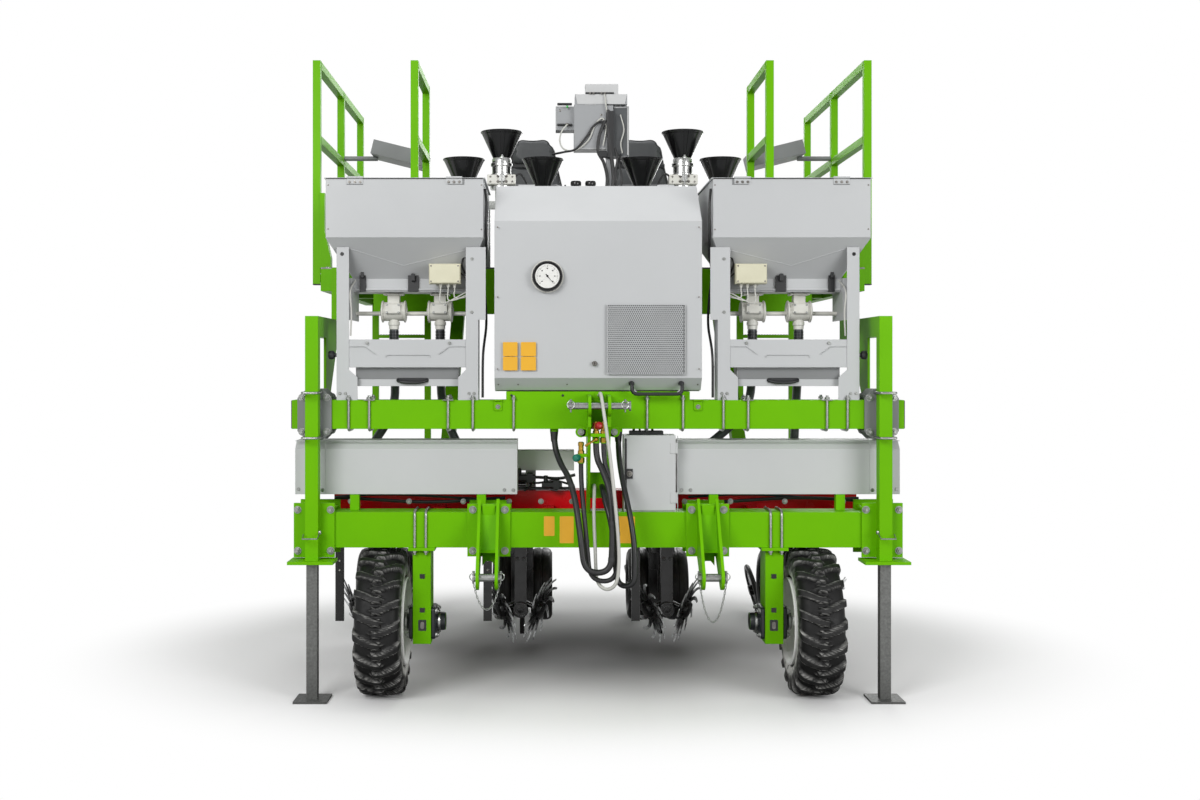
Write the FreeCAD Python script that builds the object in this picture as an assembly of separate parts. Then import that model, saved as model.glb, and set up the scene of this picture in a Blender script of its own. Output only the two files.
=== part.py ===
"""Plot seeder: a mounted four-row precision seeder for trial plots, in millimetres.

The machine faces -Y. X runs across the machine, Z runs up from the floor that it stands on.
Heights and places are worked out from the main beam, whose centre line is the working origin
while the pieces are made. At export every piece is moved so that the origin lies on the floor,
halfway along the machine.
"""
import FreeCAD, Part

import math
import os

from FreeCAD import Vector

# --------------------------------------------------------------------------------------------
# Driving dimensions
# --------------------------------------------------------------------------------------------

# Running fit of a shaft in its hole, and the gap between panels that move past each other.
SHAFT_CLEARANCE = 0.1
PANEL_GAP = 6.0
FACE_CLEARANCE = 1.0

# Upper beam: its ends and the post in front of each end set the machine's width.
UPPER_BEAM_LENGTH = 2866.0
UPPER_BEAM_END = UPPER_BEAM_LENGTH / 2
UPPER_BEAM_DEPTH = 132.0
UPPER_BEAM_HEIGHT = 135.0
UPPER_BEAM_WALL = 6.0
UPPER_BEAM_BOTTOM = 1254.0
POST_END_INSET = 107.0
POST_CENTRE_X = UPPER_BEAM_END - POST_END_INSET

# Main beam: the square tube across the front that carries wheels, hitch and posts.
MAIN_BEAM_INSET = 1.0
MAIN_BEAM_LENGTH = 2 * (POST_CENTRE_X - MAIN_BEAM_INSET)
MAIN_BEAM_SIDE = 165.0
MAIN_BEAM_WALL = 8.0
MAIN_BEAM_BOTTOM = 701.0

# Side posts with their rearward arms.
POST_SIDE = 60.0
POST_WALL = 4.5
POST_BOTTOM = 650.0
POST_TOP = 1780.0
ARM_HEIGHT = 95.0
LOWER_PLATE_INWARD = 97.0
LOWER_PLATE_OUTWARD = 93.0
LOWER_PLATE_INNER_X = POST_CENTRE_X - LOWER_PLATE_INWARD
LOWER_PLATE_OUTER_X = POST_CENTRE_X + LOWER_PLATE_OUTWARD
LOWER_PLATE_OVERLAP = 44.0
CLAMP_PLATE_THICKNESS = 12.0
CLAMP_BOLT_RADIUS = 8.0
POST_FLANGE_WIDTH = 210.0
POST_FLANGE_DEPTH = 150.0
POST_FLANGE_THICKNESS = 14.0
BRACE_THICKNESS = 12.0
BRACE_REACH = 360.0

# Grey clamp plates that hold the posts to the upper beam.
UPPER_PLATE_INWARD = 80.0
UPPER_PLATE_OUTWARD = 79.0
UPPER_PLATE_INNER_X = POST_CENTRE_X - UPPER_PLATE_INWARD
UPPER_PLATE_OUTER_X = POST_CENTRE_X + UPPER_PLATE_OUTWARD
UPPER_PLATE_OVERLAP = 52.0
UPPER_PLATE_CHAMFER = 42.0

# Parking legs that slide in the posts.
LEG_SIDE = 50.0
LEG_WALL = 5.0
LEG_TOP = 1150.0
LEG_FOOT_WIDTH = 156.0
LEG_FOOT_DEPTH = 160.0
LEG_FOOT_THICKNESS = 10.0

# Ground wheels and the struts that carry them.
WHEEL_CENTRE_X = 1010.0
TYRE_RADIUS = 343.0
TYRE_WIDTH = 216.0
TYRE_WALL = 22.0
TYRE_SHOULDER = 48.0
TYRE_FLANK = 58.0
LUG_COUNT = 20
LUG_HEIGHT = 20.0
LUG_ROOT = 8.0
LUG_THICKNESS = 28.0
LUG_SWEEP = 52.0
LUG_CHAMFER = 14.0
LUG_DROP = 36.0
KNOB_HALF_WIDTH = 30.0
KNOB_HALF_LENGTH = 21.0
RIM_RADIUS = 195.0
RIM_WIDTH = 170.0
RIM_WALL = 10.0
RIM_DISC_OFFSET = 30.0
RIM_HUB_RADIUS = 62.0
WHEEL_SHAFT_RADIUS = 22.0
STRUT_CENTRE_X = 824.0
STRUT_WIDTH = 84.0
STRUT_DEPTH = 150.0
STRUT_WALL = 6.0
STRUT_BOTTOM = 249.0
STRUT_PLATE_WIDTH = 124.0
STRUT_PLATE_DEPTH = 200.0
STRUT_PLATE_THICKNESS = 14.0
BEARING_FLANGE = 130.0
BEARING_INNER_DEPTH = 65.0
BEARING_OUTER_DEPTH = 42.0

# Lower hitch: two pairs of ears for the tractor's lower links.
LOWER_LINK_X = 510.0
LOWER_LINK_GAP = 72.0
LOWER_EAR_THICKNESS = 14.0
LOWER_EAR_RADIUS = 55.0
LOWER_EAR_TOP = 930.0
LOWER_PLATE_WIDTH = 200.0
LOWER_PLATE_MARGIN = 40.0
LOWER_PIN_Y = -280.0
LOWER_PIN_Z = 591.0
LOWER_PIN_RADIUS = 18.0
LOWER_PIN_OVERHANG = 16.0
LOWER_WEB_BOTTOM = 640.0
LOWER_WEB_RISE = 60.0
LOWER_WEB_EDGE = 20.0

# Hitch mast: two plates with the top link pin.
MAST_PLATE_X = 45.0
MAST_PLATE_THICKNESS = 14.0
MAST_TOP = 1417.0
TOP_PIN_Y = -250.0
TOP_PIN_Z = 1367.0
TOP_PIN_RADIUS = 15.0
TOP_PIN_LENGTH = 285.0
TOP_EAR_RADIUS = 46.0
SPARE_HOLE_DROP = 95.0
SPARE_HOLE_BACK = 40.0
SPARE_HOLE_RADIUS = 16.0
MAST_BASE_THICKNESS = 14.0

# Blower cabinet on its shelf.
SHELF_HALF_WIDTH = 430.0
SHELF_HEIGHT = 40.0
SHELF_SHEET = 6.0
CABINET_HALF_WIDTH = 484.0
CABINET_FRONT = -90.0
CABINET_DEPTH = 560.0
CABINET_HEIGHT = 990.0
CABINET_SHEET = 4.0
CABINET_CHIN_HEIGHT = 64.0
CABINET_CHIN_SETBACK = 60.0
CABINET_BROW_HEIGHT = 194.0
CABINET_BROW_SETBACK = 237.0
HOOD_RETURN = 40.0
HOOD_HINGE_RADIUS = 6.0
HOOD_HINGE_LENGTH = 80.0
HOOD_HINGE_INSET = 146.0
HOOD_LEAF_THICKNESS = 3.0
BLOWER_WIDTH = 520.0
BLOWER_DEPTH = 320.0
BLOWER_HEIGHT = 460.0
BLOWER_SETBACK = 160.0
GAUGE_X = -237.0
GAUGE_Z = 1966.0
GAUGE_RADIUS = 70.5
GAUGE_DEPTH = 24.0
GRILLE_INNER_X = 42.0
GRILLE_OUTER_X = 404.0
GRILLE_BOTTOM = 1511.0
GRILLE_TOP = 1834.0
GRILLE_PITCH = 36.0
GRILLE_HOLE_RADIUS = 12.0
GRILLE_DEPTH = 2.0
HANDLE_INNER_X = 156.0
HANDLE_OUTER_X = 388.0
HANDLE_FOOT_RISE = 38.0
HANDLE_DROP = 10.0
HANDLE_REACH = 28.0
HANDLE_BEND = 22.0
HANDLE_RADIUS = 7.5

# Fertiliser hoppers and their lids.
HOPPER_CABINET_GAP = 52.0
HOPPER_POST_INSET = 56.0
HOPPER_INNER_X = CABINET_HALF_WIDTH + HOPPER_CABINET_GAP
HOPPER_OUTER_X = POST_CENTRE_X - HOPPER_POST_INSET
HOPPER_FRONT = -95.0
HOPPER_DEPTH = 620.0
HOPPER_TOP = 2421.0
HOPPER_WALL_HEIGHT = 273.0
HOPPER_TAPER_HEIGHT = 183.0
HOPPER_TROUGH_HEIGHT = 63.0
HOPPER_SHEET = 5.0
TROUGH_INNER_INSET = 86.0
TROUGH_OUTER_INSET = 107.0
TROUGH_INNER_X = HOPPER_INNER_X + TROUGH_INNER_INSET
TROUGH_OUTER_X = HOPPER_OUTER_X - TROUGH_OUTER_INSET
TROUGH_FRONT = 66.0
TROUGH_DEPTH = 180.0
LID_SHEET = 5.0
LID_OVERHANG = 8.0
LID_HINGE_RADIUS = 5.0
LID_HINGE_LENGTH = 76.0
LID_HINGE_INSET = 136.0
LID_LEAF_THICKNESS = 3.0
LID_LEAF_HEIGHT = 24.0

# Sheet-metal stands below the hoppers.
STAND_SHEET = 4.0
STAND_LEG_WIDTH = 58.0
STAND_INNER_INSET = 25.0
STAND_OUTER_INSET = 46.0
STAND_INNER_X = HOPPER_INNER_X + STAND_INNER_INSET
STAND_OUTER_X = HOPPER_OUTER_X - STAND_OUTER_INSET
STAND_TOP = 2105.0
STAND_FOOT_EXTRA = 40.0
STAND_FOOT_HEIGHT = 106.0
STAND_FOOT_FLARE = 36.0
STAND_EAR_BOTTOM = 1765.0
STAND_EAR_WIDTH = 35.0
APRON_BOTTOM = 1542.0
APRON_TOP = 1673.0
TRAY_INNER_INSET = 95.0
TRAY_OUTER_INSET = 86.0
TRAY_INNER_X = STAND_INNER_X + TRAY_INNER_INSET
TRAY_OUTER_X = STAND_OUTER_X - TRAY_OUTER_INSET
TRAY_HEIGHT = 88.0
TRAY_FRONT = -36.0
TRAY_DEPTH = 120.0
TRAY_SHEET = 3.0

# Metering units on their shaft under the hopper troughs.
METER_INNER_INSET = 134.0
METER_OUTER_INSET = 183.0
METER_XS = (TROUGH_INNER_X + METER_INNER_INSET, TROUGH_OUTER_X - METER_OUTER_INSET)
METER_Z = 1812.0
METER_RADIUS = 46.0
METER_LENGTH = 105.0
METER_NECK = 56.0
METER_SHAFT_RADIUS = 10.0
METER_SHAFT_DROP = 10.0
METER_OUTLET_RADIUS = 24.0
METER_OUTLET_LENGTH = 40.0

# Cream cable junction boxes on the troughs.
JUNCTION_INSET = 22.0
JUNCTION_WIDTH = 148.0
JUNCTION_INNER_X = TROUGH_INNER_X + JUNCTION_INSET
JUNCTION_OUTER_X = JUNCTION_INNER_X + JUNCTION_WIDTH
JUNCTION_BOTTOM = 1934.0
JUNCTION_HEIGHT = 94.0
JUNCTION_FRONT = -62.0
JUNCTION_DEPTH = 58.0
JUNCTION_BRACKET = 24.0

# Grey covers between the beams.
COVER_INNER_X = 380.0
COVER_END_INSET = 3.0
COVER_OUTER_X = UPPER_BEAM_END - COVER_END_INSET
COVER_FRONT = 0.0
COVER_DEPTH = 190.0
COVER_BOTTOM = 942.0
COVER_TOP = 1196.0
COVER_BEVEL = 40.0
COVER_SHEET = 4.0
COVER_POST_WIDTH = 40.0
COVER_POST_INSET = 150.0
DUCT_INNER_X = -105.0
DUCT_OUTER_X = -495.0
DUCT_BOTTOM = 1030.0
DUCT_HEIGHT = 100.0
DUCT_DEPTH = 80.0
DUCT_POST_XS = (-320.0, -450.0)
DUCT_POST_WIDTH = 50.0

# Control box with its door, standing on the main beam.
CONTROL_INNER_X = 121.0
CONTROL_OUTER_X = 363.0
CONTROL_FRONT = -65.0
CONTROL_DEPTH = 140.0
CONTROL_TOP = 1224.0
CONTROL_SHEET = 3.0
DOOR_THICKNESS = 4.0
DOOR_HINGE_RADIUS = 5.0
DOOR_HINGE_LENGTH = 50.0
DOOR_HINGE_INSET = 35.0
DOOR_LEAF_THICKNESS = 2.0

# Red tool bar behind the main beam.
TOOL_BAR_INSET = 36.0
TOOL_BAR_LENGTH = 2 * (POST_CENTRE_X - TOOL_BAR_INSET)
TOOL_BAR_SIDE = 127.0
TOOL_BAR_WALL = 8.0
TOOL_BAR_BOTTOM = 807.0
TOOL_BAR_CENTRE_Y = 350.0
TOOL_ARM_PLATE_GAP = 49.0
TOOL_ARM_XS = (230.0, 760.0, LOWER_PLATE_INNER_X - TOOL_ARM_PLATE_GAP)
TOOL_ARM_WIDTH = 50.0
TOOL_ARM_HEIGHT = 110.0

# Operators' platform behind the hoppers.
PLATFORM_END_INSET = 6.0
PLATFORM_HALF_WIDTH = UPPER_BEAM_END - PLATFORM_END_INSET
PLATFORM_FRONT = 700.0
PLATFORM_BOTTOM = 1941.0
PLATFORM_BEAM_HEIGHT = 116.0
PLATFORM_BEAM_WIDTH = 60.0
PLATFORM_BEAM_WALL = 5.0
PLATFORM_FLOOR = 8.0
PLATFORM_JOIST_X = 620.0
SUB_BEAM_HEIGHT = 120.0
SUB_BEAM_DEPTH = 60.0
SUB_BEAM_HALF_WIDTH = 1150.0
RISER_DEPTH = 90.0
STRUT_TUBE = 70.0
STRUT_TUBE_X = 750.0
STRUT_TUBE_REAR = 1500.0
LADDER_INSET = 47.0
LADDER_WIDTH = 380.0
LADDER_CENTRE_X = PLATFORM_HALF_WIDTH - LADDER_INSET - LADDER_WIDTH / 2
LADDER_RAIL = 40.0
LADDER_BOTTOM = 420.0
LADDER_RUNGS = 6

# Green railings.
RAIL_SIDE = 40.0
RAIL_TOP = 3167.0
RAIL_MIDDLE_TOP = 2771.0
OUTER_RAIL_OFFSET = 33.0
OUTER_RAIL_X = PLATFORM_HALF_WIDTH + OUTER_RAIL_OFFSET
OUTER_RAIL_BOTTOM = 1981.0
OUTER_POST_YS = (786.0, 1620.0, 2444.0)
INNER_RAIL_X = 942.0
INNER_POST_YS = (786.0, 1462.0)
RAIL_BRACKET_TOP = 2463.0
RAIL_BRACKET_NECK = 24.0
RAIL_BRACKET_FOOT = 56.0
RAIL_BRACKET_DEPTH = 60.0

# Operators' seats.
SEAT_X = 335.0
SEAT_FRONT = 1430.0
SEAT_DEPTH = 440.0
SEAT_WIDTH = 440.0
SEAT_PAN_BOTTOM = 2520.0
SEAT_PAN_THICKNESS = 95.0
SEAT_BACK_THICKNESS = 80.0
SEAT_BACK_TOP = 2919.0
SEAT_BACK_TOP_WIDTH = 290.0
SEAT_POST_RADIUS = 38.0
SEAT_BASE_SIDE = 260.0
SEAT_BASE_THICKNESS = 10.0

# Hand-feed funnels on their rack.
FUNNEL_RADIUS = 110.0
FUNNEL_SPOUT_RADIUS = 22.0
FUNNEL_CONE_HEIGHT = 190.0
FUNNEL_SHEET = 3.0
FUNNEL_Y = 780.0
LOW_FUNNEL_XS = (262.0, 680.0)
LOW_FUNNEL_RIM = 2644.0
HIGH_FUNNEL_X = 480.0
HIGH_FUNNEL_RIM = 2788.0
RACK_TUBE = 40.0
RACK_HALF_LENGTH = 730.0
RACK_TOP = 2420.0
RACK_UPRIGHT_X = 560.0
VALVE_RADIUS = 34.0

# Console between the funnels.
CONSOLE_FRONT = 760.0
CONSOLE_COLUMN_SIDE = 38.0
CONSOLE_COLUMN_X = 92.0
CONSOLE_BODY = (-96.0, 74.0, 2694.0, 2932.0)
CONSOLE_SIDE_BOX = (-193.0, -96.0, 2800.0, 2927.0)
CONSOLE_RIGHT_BOX = (74.0, 196.0, 2660.0, 2927.0)
CONSOLE_LID = (-91.0, 185.0, 2932.0, 2986.0)
CONSOLE_TOP_BOX = (-35.0, 137.0, 2986.0, 3041.0)
CONSOLE_BODY_DEPTH = 120.0
CONSOLE_SIDE_DEPTH = 90.0
CONSOLE_TOP_DEPTH = 100.0

# Trays for seed packets on the outer railings.
PACKET_TRAY_LENGTH = 320.0
PACKET_TRAY_HEIGHT = 83.0
PACKET_TRAY_DEPTH = 260.0
PACKET_TRAY_TILT = 14.0
PACKET_TRAY_CENTRE_X = 1115.0
PACKET_TRAY_Z = 2750.0
PACKET_TRAY_SHEET = 3.0
PACKET_ARM_RADIUS = 14.0

# Row units: four sowing units behind the tool bar.
ROW_XS = (-1125.0, -375.0, 375.0, 1125.0)
ROW_BRACKET_WIDTH = 120.0
ROW_BRACKET_THICKNESS = 16.0
ROW_BRACKET_HEIGHT = 160.0
ROW_LINK_X = 50.0
ROW_LINK_THICKNESS = 10.0
ROW_LINK_HEIGHT = 30.0
ROW_LINK_LENGTH = 320.0
ROW_LINK_SPACING = 90.0
ROW_HEAD_THICKNESS = 20.0
ROW_RAIL_WIDTH = 50.0
ROW_RAIL_HEIGHT = 80.0
ROW_RAIL_BOTTOM = 560.0
ROW_RAIL_LENGTH = 980.0
SEED_METER_RADIUS = 165.0
SEED_METER_WIDTH = 92.0
SEED_METER_Y = 1010.0
SEED_METER_Z = 800.0
SHOE_WIDTH = 24.0
SHOE_LENGTH = 300.0
SHOE_BOTTOM = 96.0
SHIELD_HALF_WIDTH = 60.0
SHIELD_WHEEL_GAP = 14.0
SHIELD_THICKNESS = 6.0
SHIELD_BOTTOM = 230.0
SHANK_X = -165.0
SHANK_WIDTH = 43.0
SHANK_THICKNESS = 16.0
SHANK_BOTTOM = 256.0
SHANK_SETBACK = 40.0

# Depth wheels beside the sowing shoe.
GAUGE_WHEEL_RADIUS = 200.0
GAUGE_WHEEL_WIDTH = 120.0
GAUGE_WHEEL_X = 105.0
GAUGE_WHEEL_Y = 1200.0
GAUGE_WHEEL_Z = 325.0
GAUGE_SHAFT_RADIUS = 14.0
GAUGE_ARM_THICKNESS = 10.0

# Closing wheels in a V behind each shoe. They stand on the floor.
CLOSING_RADIUS = 160.0
CLOSING_WIDTH = 30.0
CLOSING_TILT = 15.0
CLOSING_X = 85.0
CLOSING_Y = 2000.0
CLOSING_HUB_RADIUS = 32.0
CLOSING_HUB_LENGTH = 60.0
CLOSING_STUB_RADIUS = 10.0
CLOSING_ARM_WIDTH = 40.0

# Star wheels that clear the row in front of each shoe.
STAR_RADIUS = 178.0
STAR_ROOT_RADIUS = 120.0
STAR_TEETH = 13
STAR_THICKNESS = 8.0
STAR_X = 92.0
STAR_Y = 532.0
STAR_Z = 305.0
STAR_TILT = 19.0
STAR_TOE = 22.0
STAR_HUB_RADIUS = 40.0
STAR_HUB_LENGTH = 50.0
STAR_STUB_RADIUS = 13.0
STAR_STUB_LENGTH = 96.0
STAR_STEM_WIDTH = 60.0
STAR_STEM_DEPTH = 60.0
STAR_STEM_FRONT = 530.0
STAR_STEM_ARM_HEIGHT = 40.0

# Fertiliser hoses from the metering units to the shanks.
HOSE_RADIUS = 21.0
HOSE_STRAIGHT = 150.0
HOSE_REAR_RISE = 80.0

# Free hoses and cables that hang in front of the mast while the machine is parked.
# Each route runs from the point where it leaves the machine to the point where it ends.
GLAND_RADIUS = 20.0
COUPLING_PLATE_BOTTOM = 1225.0
COUPLING_PLATE_THICKNESS = 15.0
COUPLING_LENGTH = 30.0
COUPLING_Y = -198.0
COUPLING_DEPTH = 60.0
SIDE_COUPLING_Z = 1130.0
CABLE_PLATE_Y = -60.0
CABLE_PLATE_THICKNESS = 12.0
CABLE_PLATE_Z = (930.0, 1050.0)
FRONT_HOSE_RADIUS = 14.0
FRONT_HOSE_ROUTE = ((-205, -20, 1240), (-205, -20, 1175), (-178, -75, 1095), (-140, -150, 1040),
                    (-113, -215, 955), (-98, -258, 860), (-84, -288, 750), (-68, -306, 618),
                    (48, -308, 618), (56, -302, 745), (56, -294, 870), (45, -278, 990),
                    (14, -236, 1075), (-14, -198, 1130), (-14, -198, 1195))
REAR_HOSE_RADIUS = 11.0
REAR_HOSE_ROUTE = ((-82, -165, 1100), (-82, -165, 1040), (-77, -206, 950), (-67, -240, 845),
                   (-56, -262, 720), (-44, -272, 578), (72, -276, 572), (82, -272, 700),
                   (80, -262, 830), (66, -248, 950), (44, -226, 1050), (20, -198, 1120),
                   (20, -198, 1195))
PALE_CABLE_RADIUS = 8.0
PALE_CABLE_ROUTE = ((4, -80, 1412), (4, -130, 1412), (6, -200, 1428), (9, -272, 1404),
                    (16, -314, 1345), (28, -324, 1262), (44, -326, 1150), (60, -324, 1010),
                    (74, -320, 870), (84, -314, 745), (86, -308, 648), (76, -300, 562),
                    (32, -274, 530), (-12, -246, 560), (-17, -236, 638), (-19, -226, 715),
                    (-22, -210, 798), (-24, -190, 876), (-21, -158, 946), (-18, -112, 990),
                    (-18, -60, 990))
BLACK_CABLE_RADIUS = 13.0
BLACK_CABLE_ROUTE = ((96, -40, 1240), (96, -40, 1180), (98, -88, 1112), (106, -152, 1040),
                     (122, -212, 955), (142, -256, 855), (156, -280, 745), (160, -290, 645),
                     (156, -288, 556), (84, -238, 546), (72, -232, 650), (66, -220, 755),
                     (48, -192, 860), (28, -154, 930), (18, -112, 985), (18, -60, 985))

# --------------------------------------------------------------------------------------------
# Places worked out from the driving dimensions
# --------------------------------------------------------------------------------------------

MAIN_HALF = MAIN_BEAM_SIDE / 2
MAIN_BEAM_TOP = MAIN_BEAM_BOTTOM + MAIN_BEAM_SIDE
UPPER_HALF = UPPER_BEAM_DEPTH / 2
UPPER_BEAM_TOP = UPPER_BEAM_BOTTOM + UPPER_BEAM_HEIGHT
POST_BACK = -MAIN_HALF - CLAMP_PLATE_THICKNESS
POST_FRONT = POST_BACK - POST_SIDE
POST_CENTRE_Y = (POST_BACK + POST_FRONT) / 2
ARM_BOTTOM = POST_TOP - ARM_HEIGHT
CABINET_BOTTOM = UPPER_BEAM_TOP + SHELF_HEIGHT
CABINET_TOP = CABINET_BOTTOM + CABINET_HEIGHT
CABINET_BACK = CABINET_FRONT + CABINET_DEPTH
CABINET_BROW_Y = CABINET_FRONT + CABINET_BROW_SETBACK
HOOD_HINGE_Y = CABINET_BROW_Y + HOOD_RETURN + PANEL_GAP / 2
HOOD_HINGE_Z = CABINET_TOP + HOOD_HINGE_RADIUS
HOPPER_BACK = HOPPER_FRONT + HOPPER_DEPTH
HOPPER_SHOULDER = HOPPER_TOP - HOPPER_WALL_HEIGHT
TROUGH_TOP = HOPPER_SHOULDER - HOPPER_TAPER_HEIGHT
TROUGH_BOTTOM = TROUGH_TOP - HOPPER_TROUGH_HEIGHT
TROUGH_CENTRE_Y = TROUGH_FRONT + TROUGH_DEPTH / 2
LID_HINGE_Y = HOPPER_FRONT - LID_HINGE_RADIUS
LID_HINGE_Z = HOPPER_TOP + FACE_CLEARANCE + LID_SHEET
TOOL_BAR_TOP = TOOL_BAR_BOTTOM + TOOL_BAR_SIDE
TOOL_BAR_FRONT = TOOL_BAR_CENTRE_Y - TOOL_BAR_SIDE / 2
TOOL_BAR_BACK = TOOL_BAR_CENTRE_Y + TOOL_BAR_SIDE / 2
PLATFORM_BEAM_TOP = PLATFORM_BOTTOM + PLATFORM_BEAM_HEIGHT
FLOOR_TOP = PLATFORM_BEAM_TOP + PLATFORM_FLOOR
PLATFORM_REAR = OUTER_POST_YS[-1] + RAIL_SIDE / 2
MACHINE_FRONT = LOWER_PIN_Y - LOWER_EAR_RADIUS
MACHINE_MIDDLE_Y = (MACHINE_FRONT + PLATFORM_REAR) / 2
DOOR_HINGE_X = CONTROL_OUTER_X + DOOR_HINGE_RADIUS
DOOR_HINGE_Y = CONTROL_FRONT - DOOR_HINGE_RADIUS
ROW_RAIL_TOP = ROW_RAIL_BOTTOM + ROW_RAIL_HEIGHT
ROW_RAIL_FRONT = TOOL_BAR_BACK + ROW_BRACKET_THICKNESS + ROW_LINK_LENGTH + ROW_HEAD_THICKNESS
ROW_RAIL_BACK = ROW_RAIL_FRONT + ROW_RAIL_LENGTH


# --------------------------------------------------------------------------------------------
# Shapes that many pieces use
# --------------------------------------------------------------------------------------------

def block(x0, x1, y0, y1, z0, z1):
    """A box between two values on each axis."""
    return Part.makeBox(x1 - x0, y1 - y0, z1 - z0, Vector(x0, y0, z0))


def rod(start, end, radius):
    """A round bar between two points."""
    start = Vector(*start)
    along = Vector(*end) - start
    return Part.makeCylinder(radius, along.Length, start, along)


def plate(points, direction):
    """A flat plate: a closed outline of corner points carried along a direction."""
    corners = [Vector(*point) for point in points]
    return Part.Face(Part.makePolygon(corners + corners[:1])).extrude(Vector(*direction))


def plate_yz(outline, x0, x1):
    """A plate whose outline lies in the Y-Z plane, between two X values."""
    return plate([(x0, y, z) for y, z in outline], (x1 - x0, 0, 0))


def plate_xz(outline, y0, y1):
    """A plate whose outline lies in the X-Z plane, between two Y values."""
    return plate([(x, y0, z) for x, z in outline], (0, y1 - y0, 0))


def join(*shapes):
    """One solid from pieces that meet."""
    return shapes[0].multiFuse(list(shapes[1:])).removeSplitter()


def mirrored(shape):
    """The same shape on the machine's other side."""
    return shape.mirror(Vector(0, 0, 0), Vector(1, 0, 0))


def both_sides(shape):
    """The shape and its mirror image."""
    return [shape, mirrored(shape)]


def box_tube(x0, x1, y0, y1, z0, z1, wall, open_axis):
    """A rectangular tube that is open at both ends along one axis."""
    margins = {axis: (0 if axis == open_axis else wall) for axis in "xyz"}
    inside = block(x0 + margins["x"], x1 - margins["x"], y0 + margins["y"], y1 - margins["y"],
                   z0 + margins["z"], z1 - margins["z"])
    return block(x0, x1, y0, y1, z0, z1).cut(inside)


def frustum_prism(low, low_z, high, high_z):
    """A solid whose rectangular section changes from one rectangle (x0, x1, y0, y1) to another."""
    wires = []
    for (x0, x1, y0, y1), z in ((low, low_z), (high, high_z)):
        corners = [Vector(x0, y0, z), Vector(x1, y0, z), Vector(x1, y1, z), Vector(x0, y1, z)]
        wires.append(Part.makePolygon(corners + corners[:1]))
    return Part.makeLoft(wires, True, True)


def square_bar(start, end, side):
    """A square bar between two points in a plane of constant X."""
    start = Vector(*start)
    along = Vector(*end) - start
    bar = Part.makeBox(side, side, along.Length, Vector(-side / 2, -side / 2, 0))
    bar.Placement = FreeCAD.Placement(start, FreeCAD.Rotation(Vector(0, 0, 1), along))
    return bar


def tilted_axis(side, tilt, toe):
    """Unit vector along the axle of a leaning wheel: its top leans out, its front turns in."""
    tilt = math.radians(tilt)
    toe = math.radians(toe)
    return Vector(side * math.cos(tilt) * math.cos(toe), -math.cos(tilt) * math.sin(toe),
                  -math.sin(tilt))


def round_corner(before, corner, after):
    """Radius and tangent points of the largest fair arc at a corner of a cord's route."""
    back = before - corner
    ahead = after - corner
    turn = math.pi - back.getAngle(ahead)
    cut_back = 0.45 * min(back.Length, ahead.Length)
    radius = cut_back / math.tan(turn / 2)
    back.normalize()
    ahead.normalize()
    middle = back + ahead
    middle.normalize()
    centre = corner + middle * (radius / math.cos(turn / 2))
    return radius, corner + back * cut_back, centre - middle * radius, corner + ahead * cut_back


def cord_path(points):
    """Straight runs joined by tangent arcs, and the list of the arcs' radii."""
    points = [Vector(*point) for point in points]
    edges = []
    radii = []
    last = points[0]
    for before, corner, after in zip(points, points[1:], points[2:]):
        radius, start, middle, end = round_corner(before, corner, after)
        edges.append(Part.LineSegment(last, start).toShape())
        edges.append(Part.Arc(start, middle, end).toShape())
        radii.append(radius)
        last = end
    edges.append(Part.LineSegment(last, points[-1]).toShape())
    return Part.Wire(edges), radii


def round_tube(points, radius):
    """A round solid tube along a route of points."""
    path, radii = cord_path(points)
    start = Vector(*points[0])
    along = Vector(*points[1]) - start
    section = Part.Wire([Part.Circle(start, along, radius).toShape()])
    tube = path.makePipeShell([section], True, False)
    return tube, path.Length, radii


# --------------------------------------------------------------------------------------------
# Frame
# --------------------------------------------------------------------------------------------

def make_main_beam():
    half = MAIN_BEAM_LENGTH / 2
    return [box_tube(-half, half, -MAIN_HALF, MAIN_HALF, MAIN_BEAM_BOTTOM, MAIN_BEAM_TOP,
                     MAIN_BEAM_WALL, "x")]


def make_upper_beam():
    """The upper beam with the folded shelf that carries the blower cabinet."""
    half = UPPER_BEAM_LENGTH / 2
    beam = box_tube(-half, half, -UPPER_HALF, UPPER_HALF, UPPER_BEAM_BOTTOM, UPPER_BEAM_TOP,
                    UPPER_BEAM_WALL, "x")
    shelf = block(-SHELF_HALF_WIDTH, SHELF_HALF_WIDTH, -UPPER_HALF, CABINET_BACK - SHELF_HEIGHT,
                  UPPER_BEAM_TOP, CABINET_BOTTOM)
    hollow = block(-SHELF_HALF_WIDTH + SHELF_SHEET, SHELF_HALF_WIDTH - SHELF_SHEET,
                   -UPPER_HALF + SHELF_SHEET, CABINET_BACK, UPPER_BEAM_TOP,
                   CABINET_BOTTOM - SHELF_SHEET)
    glands = []
    for x, y, z in (FRONT_HOSE_ROUTE[0], BLACK_CABLE_ROUTE[0]):
        glands.append(rod((x, y, UPPER_BEAM_BOTTOM), (x, y, z), GLAND_RADIUS))
    x, y, z = PALE_CABLE_ROUTE[0]
    glands.append(rod((x, -UPPER_HALF, z), (x, y, z), GLAND_RADIUS * 0.8))
    return [join(beam, shelf.cut(hollow), *glands)]


def beam_clamp_bolts(xs, zs, front, back):
    """Long bolts that pass above and below a beam, between two clamp plates."""
    return [rod((x, front, z), (x, back, z), CLAMP_BOLT_RADIUS) for x in xs for z in zs]


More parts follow.
